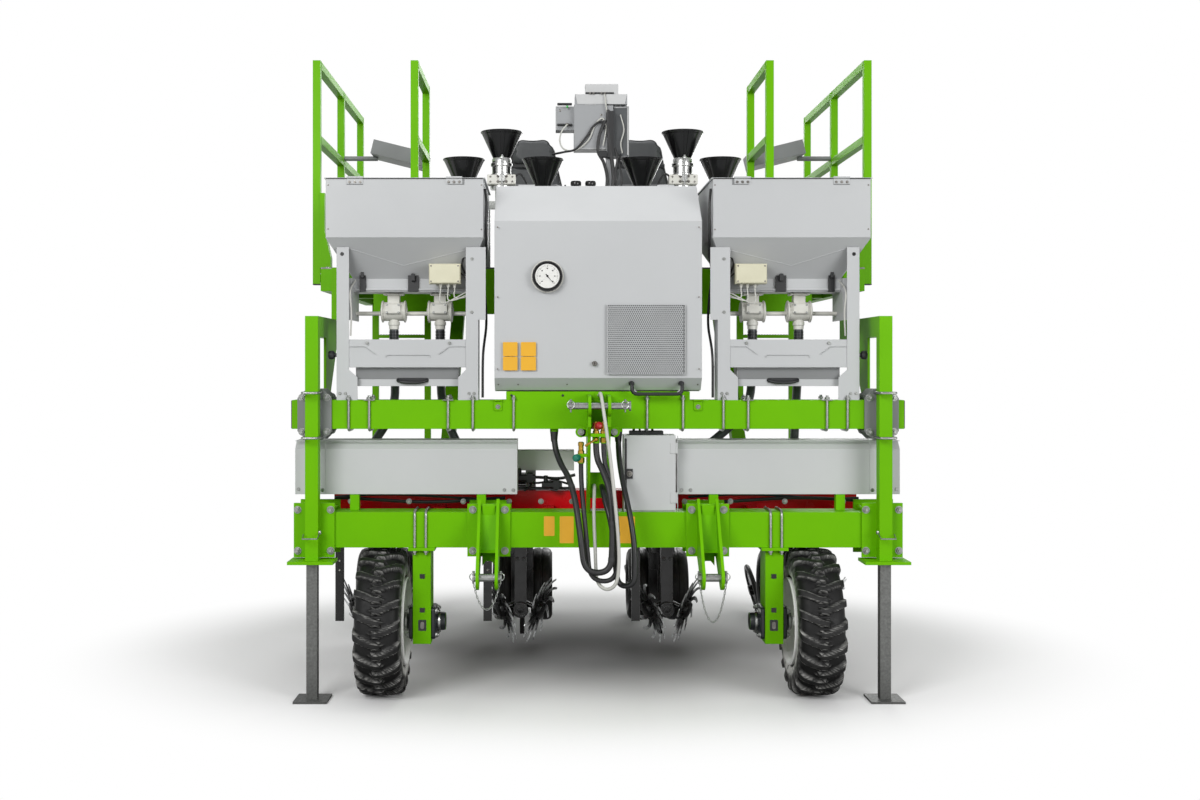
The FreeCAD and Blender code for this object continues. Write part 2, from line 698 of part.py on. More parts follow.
def make_side_post():
    """Right side post: tube, rearward arm, brace, clamp plates on the main beam and foot flange."""
    x0 = POST_CENTRE_X - POST_SIDE / 2
    x1 = POST_CENTRE_X + POST_SIDE / 2
    post = box_tube(x0, x1, POST_FRONT, POST_BACK, POST_BOTTOM, ARM_BOTTOM, POST_WALL, "z")
    arm = box_tube(x0, x1, POST_FRONT, PLATFORM_FRONT, ARM_BOTTOM, POST_TOP, POST_WALL, "y")
    arm_cap = block(x0, x1, POST_FRONT, POST_FRONT + POST_WALL, ARM_BOTTOM, POST_TOP)
    plate_low = MAIN_BEAM_BOTTOM - LOWER_PLATE_OVERLAP
    plate_high = MAIN_BEAM_TOP + LOWER_PLATE_OVERLAP
    front_plate = block(LOWER_PLATE_INNER_X, LOWER_PLATE_OUTER_X, POST_BACK, -MAIN_HALF,
                        plate_low, plate_high)
    back_plate = block(LOWER_PLATE_INNER_X, LOWER_PLATE_OUTER_X, MAIN_HALF,
                       MAIN_HALF + CLAMP_PLATE_THICKNESS, plate_low, plate_high)
    bolt_reach = CLAMP_BOLT_RADIUS + 5.0
    bolt_inset = 18.0
    bolts = beam_clamp_bolts((LOWER_PLATE_INNER_X + bolt_inset, LOWER_PLATE_OUTER_X - bolt_inset),
                             (MAIN_BEAM_BOTTOM - bolt_reach, MAIN_BEAM_TOP + bolt_reach),
                             POST_BACK, MAIN_HALF + CLAMP_PLATE_THICKNESS)
    flange = block(POST_CENTRE_X - POST_FLANGE_WIDTH / 2, POST_CENTRE_X + POST_FLANGE_WIDTH / 2,
                   POST_CENTRE_Y - POST_FLANGE_DEPTH / 2, POST_CENTRE_Y + POST_FLANGE_DEPTH / 2,
                   POST_BOTTOM - POST_FLANGE_THICKNESS, POST_BOTTOM)
    passage = (POST_SIDE - 2 * POST_WALL) / 2
    leg_hole = block(POST_CENTRE_X - passage, POST_CENTRE_X + passage,
                     POST_CENTRE_Y - passage, POST_CENTRE_Y + passage,
                     POST_BOTTOM - POST_FLANGE_THICKNESS, POST_BOTTOM)
    clamp_back = UPPER_HALF + CLAMP_PLATE_THICKNESS
    brace = plate_yz([(clamp_back, UPPER_BEAM_BOTTOM), (clamp_back + BRACE_REACH, ARM_BOTTOM),
                      (clamp_back, ARM_BOTTOM)], x0, x0 + BRACE_THICKNESS)
    return join(post, arm, arm_cap, front_plate, back_plate, *bolts, flange.cut(leg_hole), brace)


def make_clamp_plates():
    """Grey octagonal plates that hold the posts to the upper beam, with the spacer in front."""
    low = UPPER_BEAM_BOTTOM - UPPER_PLATE_OVERLAP
    high = UPPER_BEAM_TOP + UPPER_PLATE_OVERLAP
    x0 = UPPER_PLATE_INNER_X
    x1 = UPPER_PLATE_OUTER_X
    cut = UPPER_PLATE_CHAMFER
    outline = [(x0 + cut, low), (x1 - cut, low), (x1, low + cut), (x1, high - cut),
               (x1 - cut, high), (x0 + cut, high), (x0, high - cut), (x0, low + cut)]
    front = plate_xz(outline, -UPPER_HALF - CLAMP_PLATE_THICKNESS, -UPPER_HALF)
    back = plate_xz(outline, UPPER_HALF, UPPER_HALF + CLAMP_PLATE_THICKNESS)
    spacer = block(POST_CENTRE_X - POST_SIDE / 2, POST_CENTRE_X + POST_SIDE / 2,
                   POST_BACK, -UPPER_HALF - CLAMP_PLATE_THICKNESS, UPPER_BEAM_BOTTOM, UPPER_BEAM_TOP)
    bolt_reach = CLAMP_BOLT_RADIUS + 5.0
    bolt_inset = 22.0
    bolts = beam_clamp_bolts((x0 + bolt_inset, x1 - bolt_inset),
                             (UPPER_BEAM_BOTTOM - bolt_reach, UPPER_BEAM_TOP + bolt_reach),
                             -UPPER_HALF - CLAMP_PLATE_THICKNESS, UPPER_HALF + CLAMP_PLATE_THICKNESS)
    return both_sides(join(front, spacer, back, *bolts))


def make_leg():
    """Right parking leg: a square tube in the post, welded to a foot plate."""
    half = LEG_SIDE / 2
    tube = box_tube(POST_CENTRE_X - half, POST_CENTRE_X + half, POST_CENTRE_Y - half,
                    POST_CENTRE_Y + half, LEG_FOOT_THICKNESS, LEG_TOP, LEG_WALL, "z")
    foot = block(POST_CENTRE_X - LEG_FOOT_WIDTH / 2, POST_CENTRE_X + LEG_FOOT_WIDTH / 2,
                 POST_CENTRE_Y - LEG_FOOT_DEPTH / 2, POST_CENTRE_Y + LEG_FOOT_DEPTH / 2,
                 0, LEG_FOOT_THICKNESS)
    return join(tube, foot)


# --------------------------------------------------------------------------------------------
# Ground wheels
# --------------------------------------------------------------------------------------------

def make_wheel_struts():
    """Struts under the main beam with the flange bearings of the wheel shafts."""
    x0 = STRUT_CENTRE_X - STRUT_WIDTH / 2
    x1 = STRUT_CENTRE_X + STRUT_WIDTH / 2
    plate_bottom = MAIN_BEAM_BOTTOM - STRUT_PLATE_THICKNESS
    tube = box_tube(x0, x1, -STRUT_DEPTH / 2, STRUT_DEPTH / 2, STRUT_BOTTOM, plate_bottom,
                    STRUT_WALL, "z")
    top_plate = block(STRUT_CENTRE_X - STRUT_PLATE_WIDTH / 2, STRUT_CENTRE_X + STRUT_PLATE_WIDTH / 2,
                      -STRUT_PLATE_DEPTH / 2, STRUT_PLATE_DEPTH / 2, plate_bottom, MAIN_BEAM_BOTTOM)
    half = BEARING_FLANGE / 2
    boss_radius = half * 0.6
    flange_thickness = 16.0
    bearings = []
    for face, tip in ((x0, x0 - BEARING_INNER_DEPTH), (x1, x1 + BEARING_OUTER_DEPTH)):
        step = math.copysign(flange_thickness, tip - face)
        low, high = sorted((face, face + step))
        bearings.append(block(low, high, -half, half, TYRE_RADIUS - half, TYRE_RADIUS + half))
        bearings.append(rod((face, 0, TYRE_RADIUS), (tip, 0, TYRE_RADIUS), boss_radius))
    shaft_hole = rod((x0 - BEARING_INNER_DEPTH, 0, TYRE_RADIUS),
                     (x1 + BEARING_OUTER_DEPTH, 0, TYRE_RADIUS),
                     WHEEL_SHAFT_RADIUS + SHAFT_CLEARANCE)
    return both_sides(join(tube, top_plate, *bearings).cut(shaft_hole))


def turned_about_x(outline, centre_x, centre_y, centre_z):
    """A ring from an outline of (x, radius) points turned about a line along X."""
    points = [Vector(centre_x + x, centre_y, centre_z + radius) for x, radius in outline]
    face = Part.Face(Part.makePolygon(points + points[:1]))
    return face.revolve(Vector(centre_x, centre_y, centre_z), Vector(1, 0, 0), 360)


def faceted_ring(outline, facets, centre_x, centre_z):
    """A ring with flat facets: each flat touches the radius that the outline of (x, radius) names."""
    step = 2 * math.pi / facets
    scale = 1 / math.cos(step / 2)
    rings = []
    for k in range(facets):
        turn = (k + 0.5) * step
        rings.append([Vector(centre_x + x, r * scale * math.sin(turn),
                             centre_z + r * scale * math.cos(turn)) for x, r in outline])
    faces = []
    for k, here in enumerate(rings):
        there = rings[(k + 1) % facets]
        for i in range(len(outline)):
            j = (i + 1) % len(outline)
            corners = [here[i], here[j], there[j], there[i]]
            faces.append(Part.Face(Part.makePolygon(corners + corners[:1])))
    return Part.Solid(Part.Shell(faces))


def tread_profile(half):
    """Right half of the tyre's outside as (x, radius) points, from the middle line to the rim."""
    crown = TYRE_RADIUS - LUG_HEIGHT
    return [(half - TYRE_SHOULDER, crown), (half - LUG_CHAMFER / 2, TYRE_RADIUS - TYRE_FLANK),
            (half, (RIM_RADIUS + TYRE_RADIUS - TYRE_FLANK) / 2), (RIM_WIDTH / 2, RIM_RADIUS)]


def make_tread_lug():
    """A right-hand lug at the top of the tyre: a bar swept back from a knob on the middle line."""
    half = TYRE_WIDTH / 2
    knob = KNOB_HALF_WIDTH
    length = KNOB_HALF_LENGTH
    tail = LUG_SWEEP + LUG_THICKNESS / 2
    outline = [(-knob, 0), (-knob / 2, -length), (knob, -length), (half, tail - LUG_THICKNESS),
               (half, tail), (knob, LUG_THICKNESS / 2), (0, length)]
    low = TYRE_RADIUS - TYRE_FLANK
    reach = (tail + length) / 2
    top = math.sqrt(TYRE_RADIUS ** 2 - reach ** 2)
    prism = plate([(x, y + length - reach, low) for x, y in outline], (0, 0, top - low))
    crown = TYRE_RADIUS - LUG_HEIGHT - LUG_ROOT
    side = plate([(-half, -TYRE_WIDTH, crown), (-half, -TYRE_WIDTH, top),
                  (half - LUG_DROP, -TYRE_WIDTH, top),
                  (half - LUG_CHAMFER / 2, -TYRE_WIDTH, top - LUG_CHAMFER),
                  (half, -TYRE_WIDTH, low), (half - LUG_CHAMFER, -TYRE_WIDTH, low),
                  (half - TYRE_SHOULDER, -TYRE_WIDTH, crown)], (0, 2 * TYRE_WIDTH, 0))
    lug = prism.common(side)
    lug.rotate(Vector(0, 0, 0), Vector(1, 0, 0), -math.degrees(math.asin(reach / TYRE_RADIUS)))
    return lug


def make_tyre():
    """Right tyre: a carcass that sits on the rim, with raked lugs on either side in turn."""
    outside = tread_profile(TYRE_WIDTH / 2)
    inside = [(RIM_WIDTH / 2 - TYRE_WALL, RIM_RADIUS),
              (TYRE_WIDTH / 2 - TYRE_WALL, outside[2][1]),
              (TYRE_WIDTH / 2 - TYRE_SHOULDER - TYRE_WALL / 2, outside[0][1] - TYRE_WALL)]
    right = outside + inside
    outline = ([(-x, r) for x, r in reversed(outside)] + right
               + [(-x, r) for x, r in reversed(inside)])
    carcass = faceted_ring(outline, 2 * LUG_COUNT, 0, 0)
    lug = make_tread_lug()
    pitch = 360 / LUG_COUNT
    lugs = []
    for k in range(LUG_COUNT):
        for shape, turn in ((lug, k * pitch), (mirrored(lug), (k + 0.5) * pitch)):
            copy = shape.copy()
            copy.rotate(Vector(0, 0, 0), Vector(1, 0, 0), turn)
            lugs.append(copy)
    tyre = join(carcass, *lugs)
    tyre.translate(Vector(WHEEL_CENTRE_X, 0, TYRE_RADIUS))
    return tyre


def make_rim():
    """Right rim with its disc, hub and shaft."""
    half = RIM_WIDTH / 2
    well = RIM_RADIUS - RIM_WALL
    ring = turned_about_x([(-half, RIM_RADIUS), (half, RIM_RADIUS), (half, well), (-half, well)],
                          WHEEL_CENTRE_X, 0, TYRE_RADIUS)
    disc_x = WHEEL_CENTRE_X + RIM_DISC_OFFSET
    disc = rod((disc_x, 0, TYRE_RADIUS), (disc_x + RIM_WALL, 0, TYRE_RADIUS), well)
    hub = rod((disc_x - RIM_HUB_RADIUS, 0, TYRE_RADIUS), (disc_x + RIM_WALL, 0, TYRE_RADIUS),
              RIM_HUB_RADIUS)
    shaft_start = STRUT_CENTRE_X - STRUT_WIDTH / 2 - BEARING_INNER_DEPTH
    shaft = rod((shaft_start, 0, TYRE_RADIUS), (disc_x, 0, TYRE_RADIUS), WHEEL_SHAFT_RADIUS)
    return join(ring, disc, hub, shaft)


# --------------------------------------------------------------------------------------------
# Hitch
# --------------------------------------------------------------------------------------------

def rounded_arm(root_top, root_bottom, tip, radius, x0, x1):
    """A plate in the Y-Z plane that narrows from two root points to a round end."""
    tip_y, tip_z = tip
    eye = rod((x0, tip_y, tip_z), (x1, tip_y, tip_z), radius)
    body = plate_yz([root_top, root_bottom, (tip_y + radius * 0.34, tip_z - radius * 0.94),
                     (tip_y - radius * 0.94, tip_z + radius * 0.34)], x0, x1)
    return join(body, eye)


def make_lower_hitch():
    """Lower link brackets: back plate, two ears, web between them, rear plate and bolts."""
    plate_low = MAIN_BEAM_BOTTOM - LOWER_PLATE_MARGIN
    plate_high = MAIN_BEAM_TOP + LOWER_PLATE_MARGIN
    x0 = LOWER_LINK_X - LOWER_PLATE_WIDTH / 2
    x1 = LOWER_LINK_X + LOWER_PLATE_WIDTH / 2
    face = -MAIN_HALF - CLAMP_PLATE_THICKNESS
    front_plate = block(x0, x1, face, -MAIN_HALF, plate_low, plate_high)
    back_plate = block(x0, x1, MAIN_HALF, MAIN_HALF + CLAMP_PLATE_THICKNESS, plate_low, plate_high)
    bolt_reach = CLAMP_BOLT_RADIUS + 5.0
    bolt_inset = 25.0
    bolts = beam_clamp_bolts((x0 + bolt_inset, x1 - bolt_inset),
                             (MAIN_BEAM_BOTTOM - bolt_reach, MAIN_BEAM_TOP + bolt_reach),
                             face, MAIN_HALF + CLAMP_PLATE_THICKNESS)
    ears = []
    for side in (-1, 1):
        inner = LOWER_LINK_X + side * LOWER_LINK_GAP / 2
        outer = inner + side * LOWER_EAR_THICKNESS
        low, high = sorted((inner, outer))
        ears.append(rounded_arm((face, LOWER_EAR_TOP), (face, plate_low),
                                (LOWER_PIN_Y, LOWER_PIN_Z), LOWER_EAR_RADIUS, low, high))
    web_front = (face + LOWER_PIN_Y) / 2
    web_top = LOWER_WEB_BOTTOM + LOWER_WEB_RISE
    web_low = plate_low + LOWER_WEB_EDGE
    web = plate_yz([(face, plate_high), (web_front + LOWER_WEB_EDGE, web_top),
                    (web_front, web_top - LOWER_WEB_EDGE / 2),
                    (face - 1.5 * LOWER_WEB_EDGE, web_low), (face, web_low)],
                   LOWER_LINK_X - LOWER_LINK_GAP / 2, LOWER_LINK_X + LOWER_LINK_GAP / 2)
    reach = LOWER_LINK_GAP + 2 * LOWER_EAR_THICKNESS
    pin_hole = rod((LOWER_LINK_X - reach, LOWER_PIN_Y, LOWER_PIN_Z),
                   (LOWER_LINK_X + reach, LOWER_PIN_Y, LOWER_PIN_Z),
                   LOWER_PIN_RADIUS + SHAFT_CLEARANCE)
    return both_sides(join(front_plate, back_plate, *bolts, *ears, web).cut(pin_hole))


def make_hitch_mast():
    """Two mast plates on the main beam that carry the top link pin in front of the upper beam."""
    beam_front = -UPPER_HALF
    outline = [(MAIN_HALF, MAIN_BEAM_TOP), (UPPER_HALF, UPPER_BEAM_BOTTOM),
               (beam_front, UPPER_BEAM_BOTTOM), (beam_front, MAST_TOP),
               (TOP_PIN_Y, TOP_PIN_Z + TOP_EAR_RADIUS), (TOP_PIN_Y, TOP_PIN_Z - TOP_EAR_RADIUS),
               (TOP_PIN_Y + SPARE_HOLE_BACK - TOP_EAR_RADIUS, TOP_PIN_Z - SPARE_HOLE_DROP),
               (TOP_PIN_Y + SPARE_HOLE_BACK, TOP_PIN_Z - SPARE_HOLE_DROP - TOP_EAR_RADIUS),
               (-MAIN_HALF, MAIN_BEAM_TOP)]
    plates = []
    for side in (-1, 1):
        low = side * MAST_PLATE_X - MAST_PLATE_THICKNESS / 2
        high = side * MAST_PLATE_X + MAST_PLATE_THICKNESS / 2
        eye = rod((low, TOP_PIN_Y, TOP_PIN_Z), (high, TOP_PIN_Y, TOP_PIN_Z), TOP_EAR_RADIUS)
        plates.append(join(plate_yz(outline, low, high), eye))
    inner = MAST_PLATE_X - MAST_PLATE_THICKNESS / 2
    tie = block(-inner, inner, -UPPER_HALF - MAST_BASE_THICKNESS, -UPPER_HALF,
                UPPER_BEAM_BOTTOM, UPPER_BEAM_TOP)
    holders = coupling_holders(inner)
    reach = MAST_PLATE_X + MAST_PLATE_THICKNESS
    pin_hole = rod((-reach, TOP_PIN_Y, TOP_PIN_Z), (reach, TOP_PIN_Y, TOP_PIN_Z),
                   TOP_PIN_RADIUS + SHAFT_CLEARANCE)
    spare_y = TOP_PIN_Y + SPARE_HOLE_BACK
    spare_z = TOP_PIN_Z - SPARE_HOLE_DROP
    spare_hole = rod((-reach, spare_y, spare_z), (reach, spare_y, spare_z), SPARE_HOLE_RADIUS)
    return [join(*plates, tie, *holders).cut(pin_hole).cut(spare_hole)]


def coupling_holders(inner):
    """Plates and sockets on the mast in which the parked hoses and cables end."""
    plate_z = COUPLING_PLATE_BOTTOM
    pieces = [block(-inner, inner, COUPLING_Y - COUPLING_DEPTH / 2, COUPLING_Y + COUPLING_DEPTH / 2,
                    plate_z, plate_z + COUPLING_PLATE_THICKNESS)]
    for route, radius in ((FRONT_HOSE_ROUTE, FRONT_HOSE_RADIUS), (REAR_HOSE_ROUTE, REAR_HOSE_RADIUS)):
        x, y, z = route[-1]
        pieces.append(rod((x, y, z), (x, y, plate_z), radius + 3))
    x, y, z = REAR_HOSE_ROUTE[0]
    side_face = MAST_PLATE_X + MAST_PLATE_THICKNESS / 2
    pieces.append(rod((x, y, z), (x, y, SIDE_COUPLING_Z), REAR_HOSE_RADIUS + 3))
    pieces.append(block(x - COUPLING_LENGTH / 2, -side_face, y - COUPLING_LENGTH / 2,
                        y + COUPLING_LENGTH / 2, SIDE_COUPLING_Z,
                        SIDE_COUPLING_Z + COUPLING_PLATE_THICKNESS))
    low, high = CABLE_PLATE_Z
    pieces.append(block(-inner, inner, CABLE_PLATE_Y, CABLE_PLATE_Y + CABLE_PLATE_THICKNESS,
                        low, high))
    return pieces


def make_hitch_pins():
    """The two lower link pins and the top link pin, each with a collar head."""
    half = LOWER_LINK_GAP / 2 + LOWER_EAR_THICKNESS + LOWER_PIN_OVERHANG
    head = 8.0
    lower = join(rod((LOWER_LINK_X - half, LOWER_PIN_Y, LOWER_PIN_Z),
                     (LOWER_LINK_X + half, LOWER_PIN_Y, LOWER_PIN_Z), LOWER_PIN_RADIUS),
                 rod((LOWER_LINK_X + half - head, LOWER_PIN_Y, LOWER_PIN_Z),
                     (LOWER_LINK_X + half, LOWER_PIN_Y, LOWER_PIN_Z), LOWER_PIN_RADIUS + head))
    top = join(rod((-TOP_PIN_LENGTH / 2, TOP_PIN_Y, TOP_PIN_Z),
                   (TOP_PIN_LENGTH / 2, TOP_PIN_Y, TOP_PIN_Z), TOP_PIN_RADIUS),
               rod((TOP_PIN_LENGTH / 2 - head, TOP_PIN_Y, TOP_PIN_Z),
                   (TOP_PIN_LENGTH / 2, TOP_PIN_Y, TOP_PIN_Z), TOP_PIN_RADIUS + head))
    return both_sides(lower) + [top]


# --------------------------------------------------------------------------------------------
# Blower cabinet
# --------------------------------------------------------------------------------------------

def cabinet_outline(inset):
    """Side outline of the cabinet: chin, front, sloping brow, top, back and floor."""
    chin = CABINET_CHIN_SETBACK + inset
    brow = CABINET_BROW_SETBACK + inset
    return [(CABINET_FRONT + chin, CABINET_BOTTOM + inset),
            (CABINET_FRONT + inset, CABINET_BOTTOM + CABINET_CHIN_HEIGHT),
            (CABINET_FRONT + inset, CABINET_TOP - CABINET_BROW_HEIGHT),
            (CABINET_FRONT + brow, CABINET_TOP - inset),
            (CABINET_BACK - inset, CABINET_TOP - inset),
            (CABINET_BACK - inset, CABINET_BOTTOM + inset)]


def cabinet_body():
    """The whole cabinet as a closed sheet-metal box."""
    outside = plate_yz(cabinet_outline(0), -CABINET_HALF_WIDTH, CABINET_HALF_WIDTH)
    inner = CABINET_HALF_WIDTH - CABINET_SHEET
    return outside, outside.cut(plate_yz(cabinet_outline(CABINET_SHEET), -inner, inner))


def hood_hinge_spans():
    """X range of each of the hood's two hinges."""
    middle = CABINET_HALF_WIDTH - HOOD_HINGE_INSET
    half = HOOD_HINGE_LENGTH / 2
    return [(-middle - half, -middle + half), (middle - half, middle + half)]


def make_cabinet_shell():
    """Floor, sides, back and top of the cabinet, open at the front, with the blower as a block."""
    outside, walls = cabinet_body()
    kept = outside.copy()
    kept.translate(Vector(0, HOOD_RETURN + PANEL_GAP, 0))
    front = CABINET_FRONT + BLOWER_SETBACK
    floor = CABINET_BOTTOM + CABINET_SHEET
    blower = block(-BLOWER_WIDTH / 2, BLOWER_WIDTH / 2, front, front + BLOWER_DEPTH,
                   floor, floor + BLOWER_HEIGHT)
    leaf_front = HOOD_HINGE_Y + HOOD_HINGE_RADIUS + FACE_CLEARANCE
    leaves = [block(x0, x1, leaf_front, leaf_front + HOOD_RETURN, CABINET_TOP,
                    CABINET_TOP + HOOD_LEAF_THICKNESS) for x0, x1 in hood_hinge_spans()]
    return [join(walls.common(kept), blower, *leaves)]


def grille_pockets():
    """Staggered six-sided pockets of the air grille, pressed into the hood's front sheet."""
    columns = int((GRILLE_OUTER_X - GRILLE_INNER_X) / GRILLE_PITCH)
    rows = int((GRILLE_TOP - GRILLE_BOTTOM) / GRILLE_PITCH)
    turns = [math.radians(60 * k) for k in range(6)]
    pockets = []
    for row in range(rows):
        z = GRILLE_BOTTOM + (row + 0.5) * GRILLE_PITCH
        stagger = 0.25 if row % 2 else -0.25
        for column in range(columns):
            x = GRILLE_INNER_X + (column + 0.5 + stagger) * GRILLE_PITCH
            outline = [(x + GRILLE_HOLE_RADIUS * math.cos(turn),
                        z + GRILLE_HOLE_RADIUS * math.sin(turn)) for turn in turns]
            pockets.append(plate_xz(outline, CABINET_FRONT, CABINET_FRONT + GRILLE_DEPTH))
    return Part.makeCompound(pockets)


def hood_handle():
    """Round bar handle that hangs from the chin: two legs, two bends and the grip."""
    foot_z = CABINET_BOTTOM + HANDLE_FOOT_RISE
    share = (CABINET_CHIN_HEIGHT - HANDLE_FOOT_RISE) / CABINET_CHIN_HEIGHT
    foot_y = CABINET_FRONT + CABINET_CHIN_SETBACK * share
    grip_y = CABINET_FRONT - HANDLE_REACH
    grip_z = CABINET_BOTTOM - HANDLE_DROP
    corners = []
    for x, inward in ((HANDLE_INNER_X, 1), (HANDLE_OUTER_X, -1)):
        side = [(x, foot_y, foot_z), (x, grip_y, grip_z + HANDLE_BEND),
                (x + inward * HANDLE_BEND, grip_y, grip_z)]
        corners += side if inward > 0 else side[::-1]
    bars = [rod(start, end, HANDLE_RADIUS) for start, end in zip(corners, corners[1:])]
    bends = [Part.makeSphere(HANDLE_RADIUS, Vector(*corner)) for corner in corners[1:-1]]
    return bars + bends


def make_cabinet_hood():
    """Front hood: chin, front and brow with side returns, grille, handle, gauge and hinge knuckles."""
    outside, walls = cabinet_body()
    rest = outside.copy()
    rest.translate(Vector(0, HOOD_RETURN, 0))
    raised = block(-CABINET_HALF_WIDTH, CABINET_HALF_WIDTH, CABINET_FRONT, CABINET_BACK,
                   CABINET_BOTTOM + PANEL_GAP, CABINET_TOP)
    hood = walls.cut(rest).common(raised)
    knuckles = []
    for x0, x1 in hood_hinge_spans():
        knuckles.append(block(x0, x1, CABINET_BROW_Y, HOOD_HINGE_Y, CABINET_TOP,
                              CABINET_TOP + HOOD_LEAF_THICKNESS))
        knuckles.append(rod((x0, HOOD_HINGE_Y, HOOD_HINGE_Z), (x1, HOOD_HINGE_Y, HOOD_HINGE_Z),
                            HOOD_HINGE_RADIUS))
    gauge = rod((GAUGE_X, CABINET_FRONT - GAUGE_DEPTH, GAUGE_Z), (GAUGE_X, CABINET_FRONT, GAUGE_Z),
                GAUGE_RADIUS)
    return [join(hood.cut(grille_pockets()), gauge, *knuckles, *hood_handle())]


# --------------------------------------------------------------------------------------------
# Fertiliser hoppers, stands and metering
# --------------------------------------------------------------------------------------------

def hopper_solid(inset):
    """Outer or inner form of the right hopper: box, taper and trough."""
    box = (HOPPER_INNER_X + inset, HOPPER_OUTER_X - inset,
           HOPPER_FRONT + inset, HOPPER_BACK - inset)
    trough = (TROUGH_INNER_X + inset, TROUGH_OUTER_X - inset,
              TROUGH_FRONT + inset, TROUGH_FRONT + TROUGH_DEPTH - inset)
    upper = block(*box, HOPPER_SHOULDER, HOPPER_TOP)
    taper = frustum_prism(trough, TROUGH_TOP, box, HOPPER_SHOULDER)
    lower = block(*trough, TROUGH_BOTTOM + inset, TROUGH_TOP)
    return join(upper, taper, lower)


def lid_hinge_spans():
    """X range of each of the right lid's two hinges."""
    middles = (HOPPER_INNER_X + LID_HINGE_INSET, HOPPER_OUTER_X - LID_HINGE_INSET)
    return [(middle - LID_HINGE_LENGTH / 2, middle + LID_HINGE_LENGTH / 2) for middle in middles]


def make_hopper():
    """Right hopper, open at the top, with the fixed leaves of the lid hinges on its front."""
    leaf_top = LID_HINGE_Z - LID_HINGE_RADIUS - FACE_CLEARANCE
    leaves = [block(x0, x1, HOPPER_FRONT - LID_LEAF_THICKNESS, HOPPER_FRONT,
                    leaf_top - LID_LEAF_HEIGHT, leaf_top) for x0, x1 in lid_hinge_spans()]
    return join(hopper_solid(0).cut(hopper_solid(HOPPER_SHEET)), *leaves)


def make_lid():
    """Right hopper lid with its two hinge barrels on the front edge."""
    low = HOPPER_TOP + FACE_CLEARANCE
    panel = block(HOPPER_INNER_X - LID_OVERHANG, HOPPER_OUTER_X + LID_OVERHANG,
                  HOPPER_FRONT, HOPPER_BACK + LID_OVERHANG, low, low + LID_SHEET)
    barrels = []
    for x0, x1 in lid_hinge_spans():
        barrels.append(rod((x0, LID_HINGE_Y, LID_HINGE_Z), (x1, LID_HINGE_Y, LID_HINGE_Z),
                           LID_HINGE_RADIUS))
        barrels.append(block(x0, x1, LID_HINGE_Y, HOPPER_FRONT + LID_HINGE_LENGTH / 2,
                             low + LID_SHEET, low + LID_SHEET + 3))
    return join(panel, *barrels)


def make_hopper_stand():
    """Right stand: two folded legs on the upper beam, the apron between them and its tray."""
    front = -UPPER_HALF
    back = UPPER_HALF
    base = UPPER_BEAM_TOP
    foot_top = base + STAND_FOOT_HEIGHT
    flare_top = foot_top + STAND_FOOT_FLARE
    inner_leg = STAND_INNER_X + STAND_LEG_WIDTH
    outer_leg = STAND_OUTER_X - STAND_LEG_WIDTH
    inner_front = plate_xz([(STAND_INNER_X, base), (inner_leg + STAND_FOOT_FLARE, base),
                            (inner_leg + STAND_FOOT_FLARE, foot_top), (inner_leg, flare_top),
                            (inner_leg, STAND_TOP), (STAND_INNER_X - STAND_EAR_WIDTH, STAND_TOP),
                            (STAND_INNER_X - STAND_EAR_WIDTH, STAND_EAR_BOTTOM),
                            (STAND_INNER_X, STAND_EAR_BOTTOM)], front, front + STAND_SHEET)
    outer_front = plate_xz([(STAND_OUTER_X, base), (outer_leg - STAND_FOOT_EXTRA, base),
                            (outer_leg - STAND_FOOT_EXTRA, foot_top), (outer_leg, flare_top),
                            (outer_leg, STAND_TOP), (STAND_OUTER_X, STAND_TOP)],
                           front, front + STAND_SHEET)
    inner_side = block(STAND_INNER_X, STAND_INNER_X + STAND_SHEET, front, back, base, STAND_TOP)
    outer_side = block(STAND_OUTER_X - STAND_SHEET, STAND_OUTER_X, front, back, base, STAND_TOP)
    wing_back = TROUGH_FRONT + TROUGH_DEPTH
    wing_bottom = METER_Z - METER_RADIUS
    inner_wing = block(TROUGH_INNER_X - STAND_SHEET, TROUGH_INNER_X, back - STAND_LEG_WIDTH,
                       wing_back, wing_bottom, TROUGH_TOP)
    outer_wing = block(TROUGH_OUTER_X, TROUGH_OUTER_X + STAND_SHEET, back - STAND_LEG_WIDTH,
                       wing_back, wing_bottom, TROUGH_TOP)
    inner_tie = block(STAND_INNER_X, TROUGH_INNER_X, back - STAND_LEG_WIDTH,
                      back - STAND_LEG_WIDTH + STAND_SHEET, wing_bottom, TROUGH_TOP)
    outer_tie = block(TROUGH_OUTER_X, STAND_OUTER_X, back - STAND_LEG_WIDTH,
                      back - STAND_LEG_WIDTH + STAND_SHEET, wing_bottom, TROUGH_TOP)
    apron = block(STAND_INNER_X, STAND_OUTER_X, front + STAND_SHEET, front + 2 * STAND_SHEET,
                  APRON_BOTTOM, APRON_TOP)
    lip = block(STAND_INNER_X, STAND_OUTER_X, front + STAND_SHEET, TRAY_FRONT + TRAY_DEPTH,
                APRON_BOTTOM, APRON_BOTTOM + STAND_SHEET)
    mouth = block(TRAY_INNER_X + TRAY_SHEET, TRAY_OUTER_X - TRAY_SHEET, TRAY_FRONT + TRAY_SHEET,
                  TRAY_FRONT + TRAY_DEPTH - TRAY_SHEET, APRON_BOTTOM, APRON_TOP)
    stand = join(inner_front, outer_front, inner_side, outer_side, inner_wing, outer_wing,
                 inner_tie, outer_tie, apron, lip.cut(mouth), catch_tray())
    return stand.cut(hopper_solid(0))


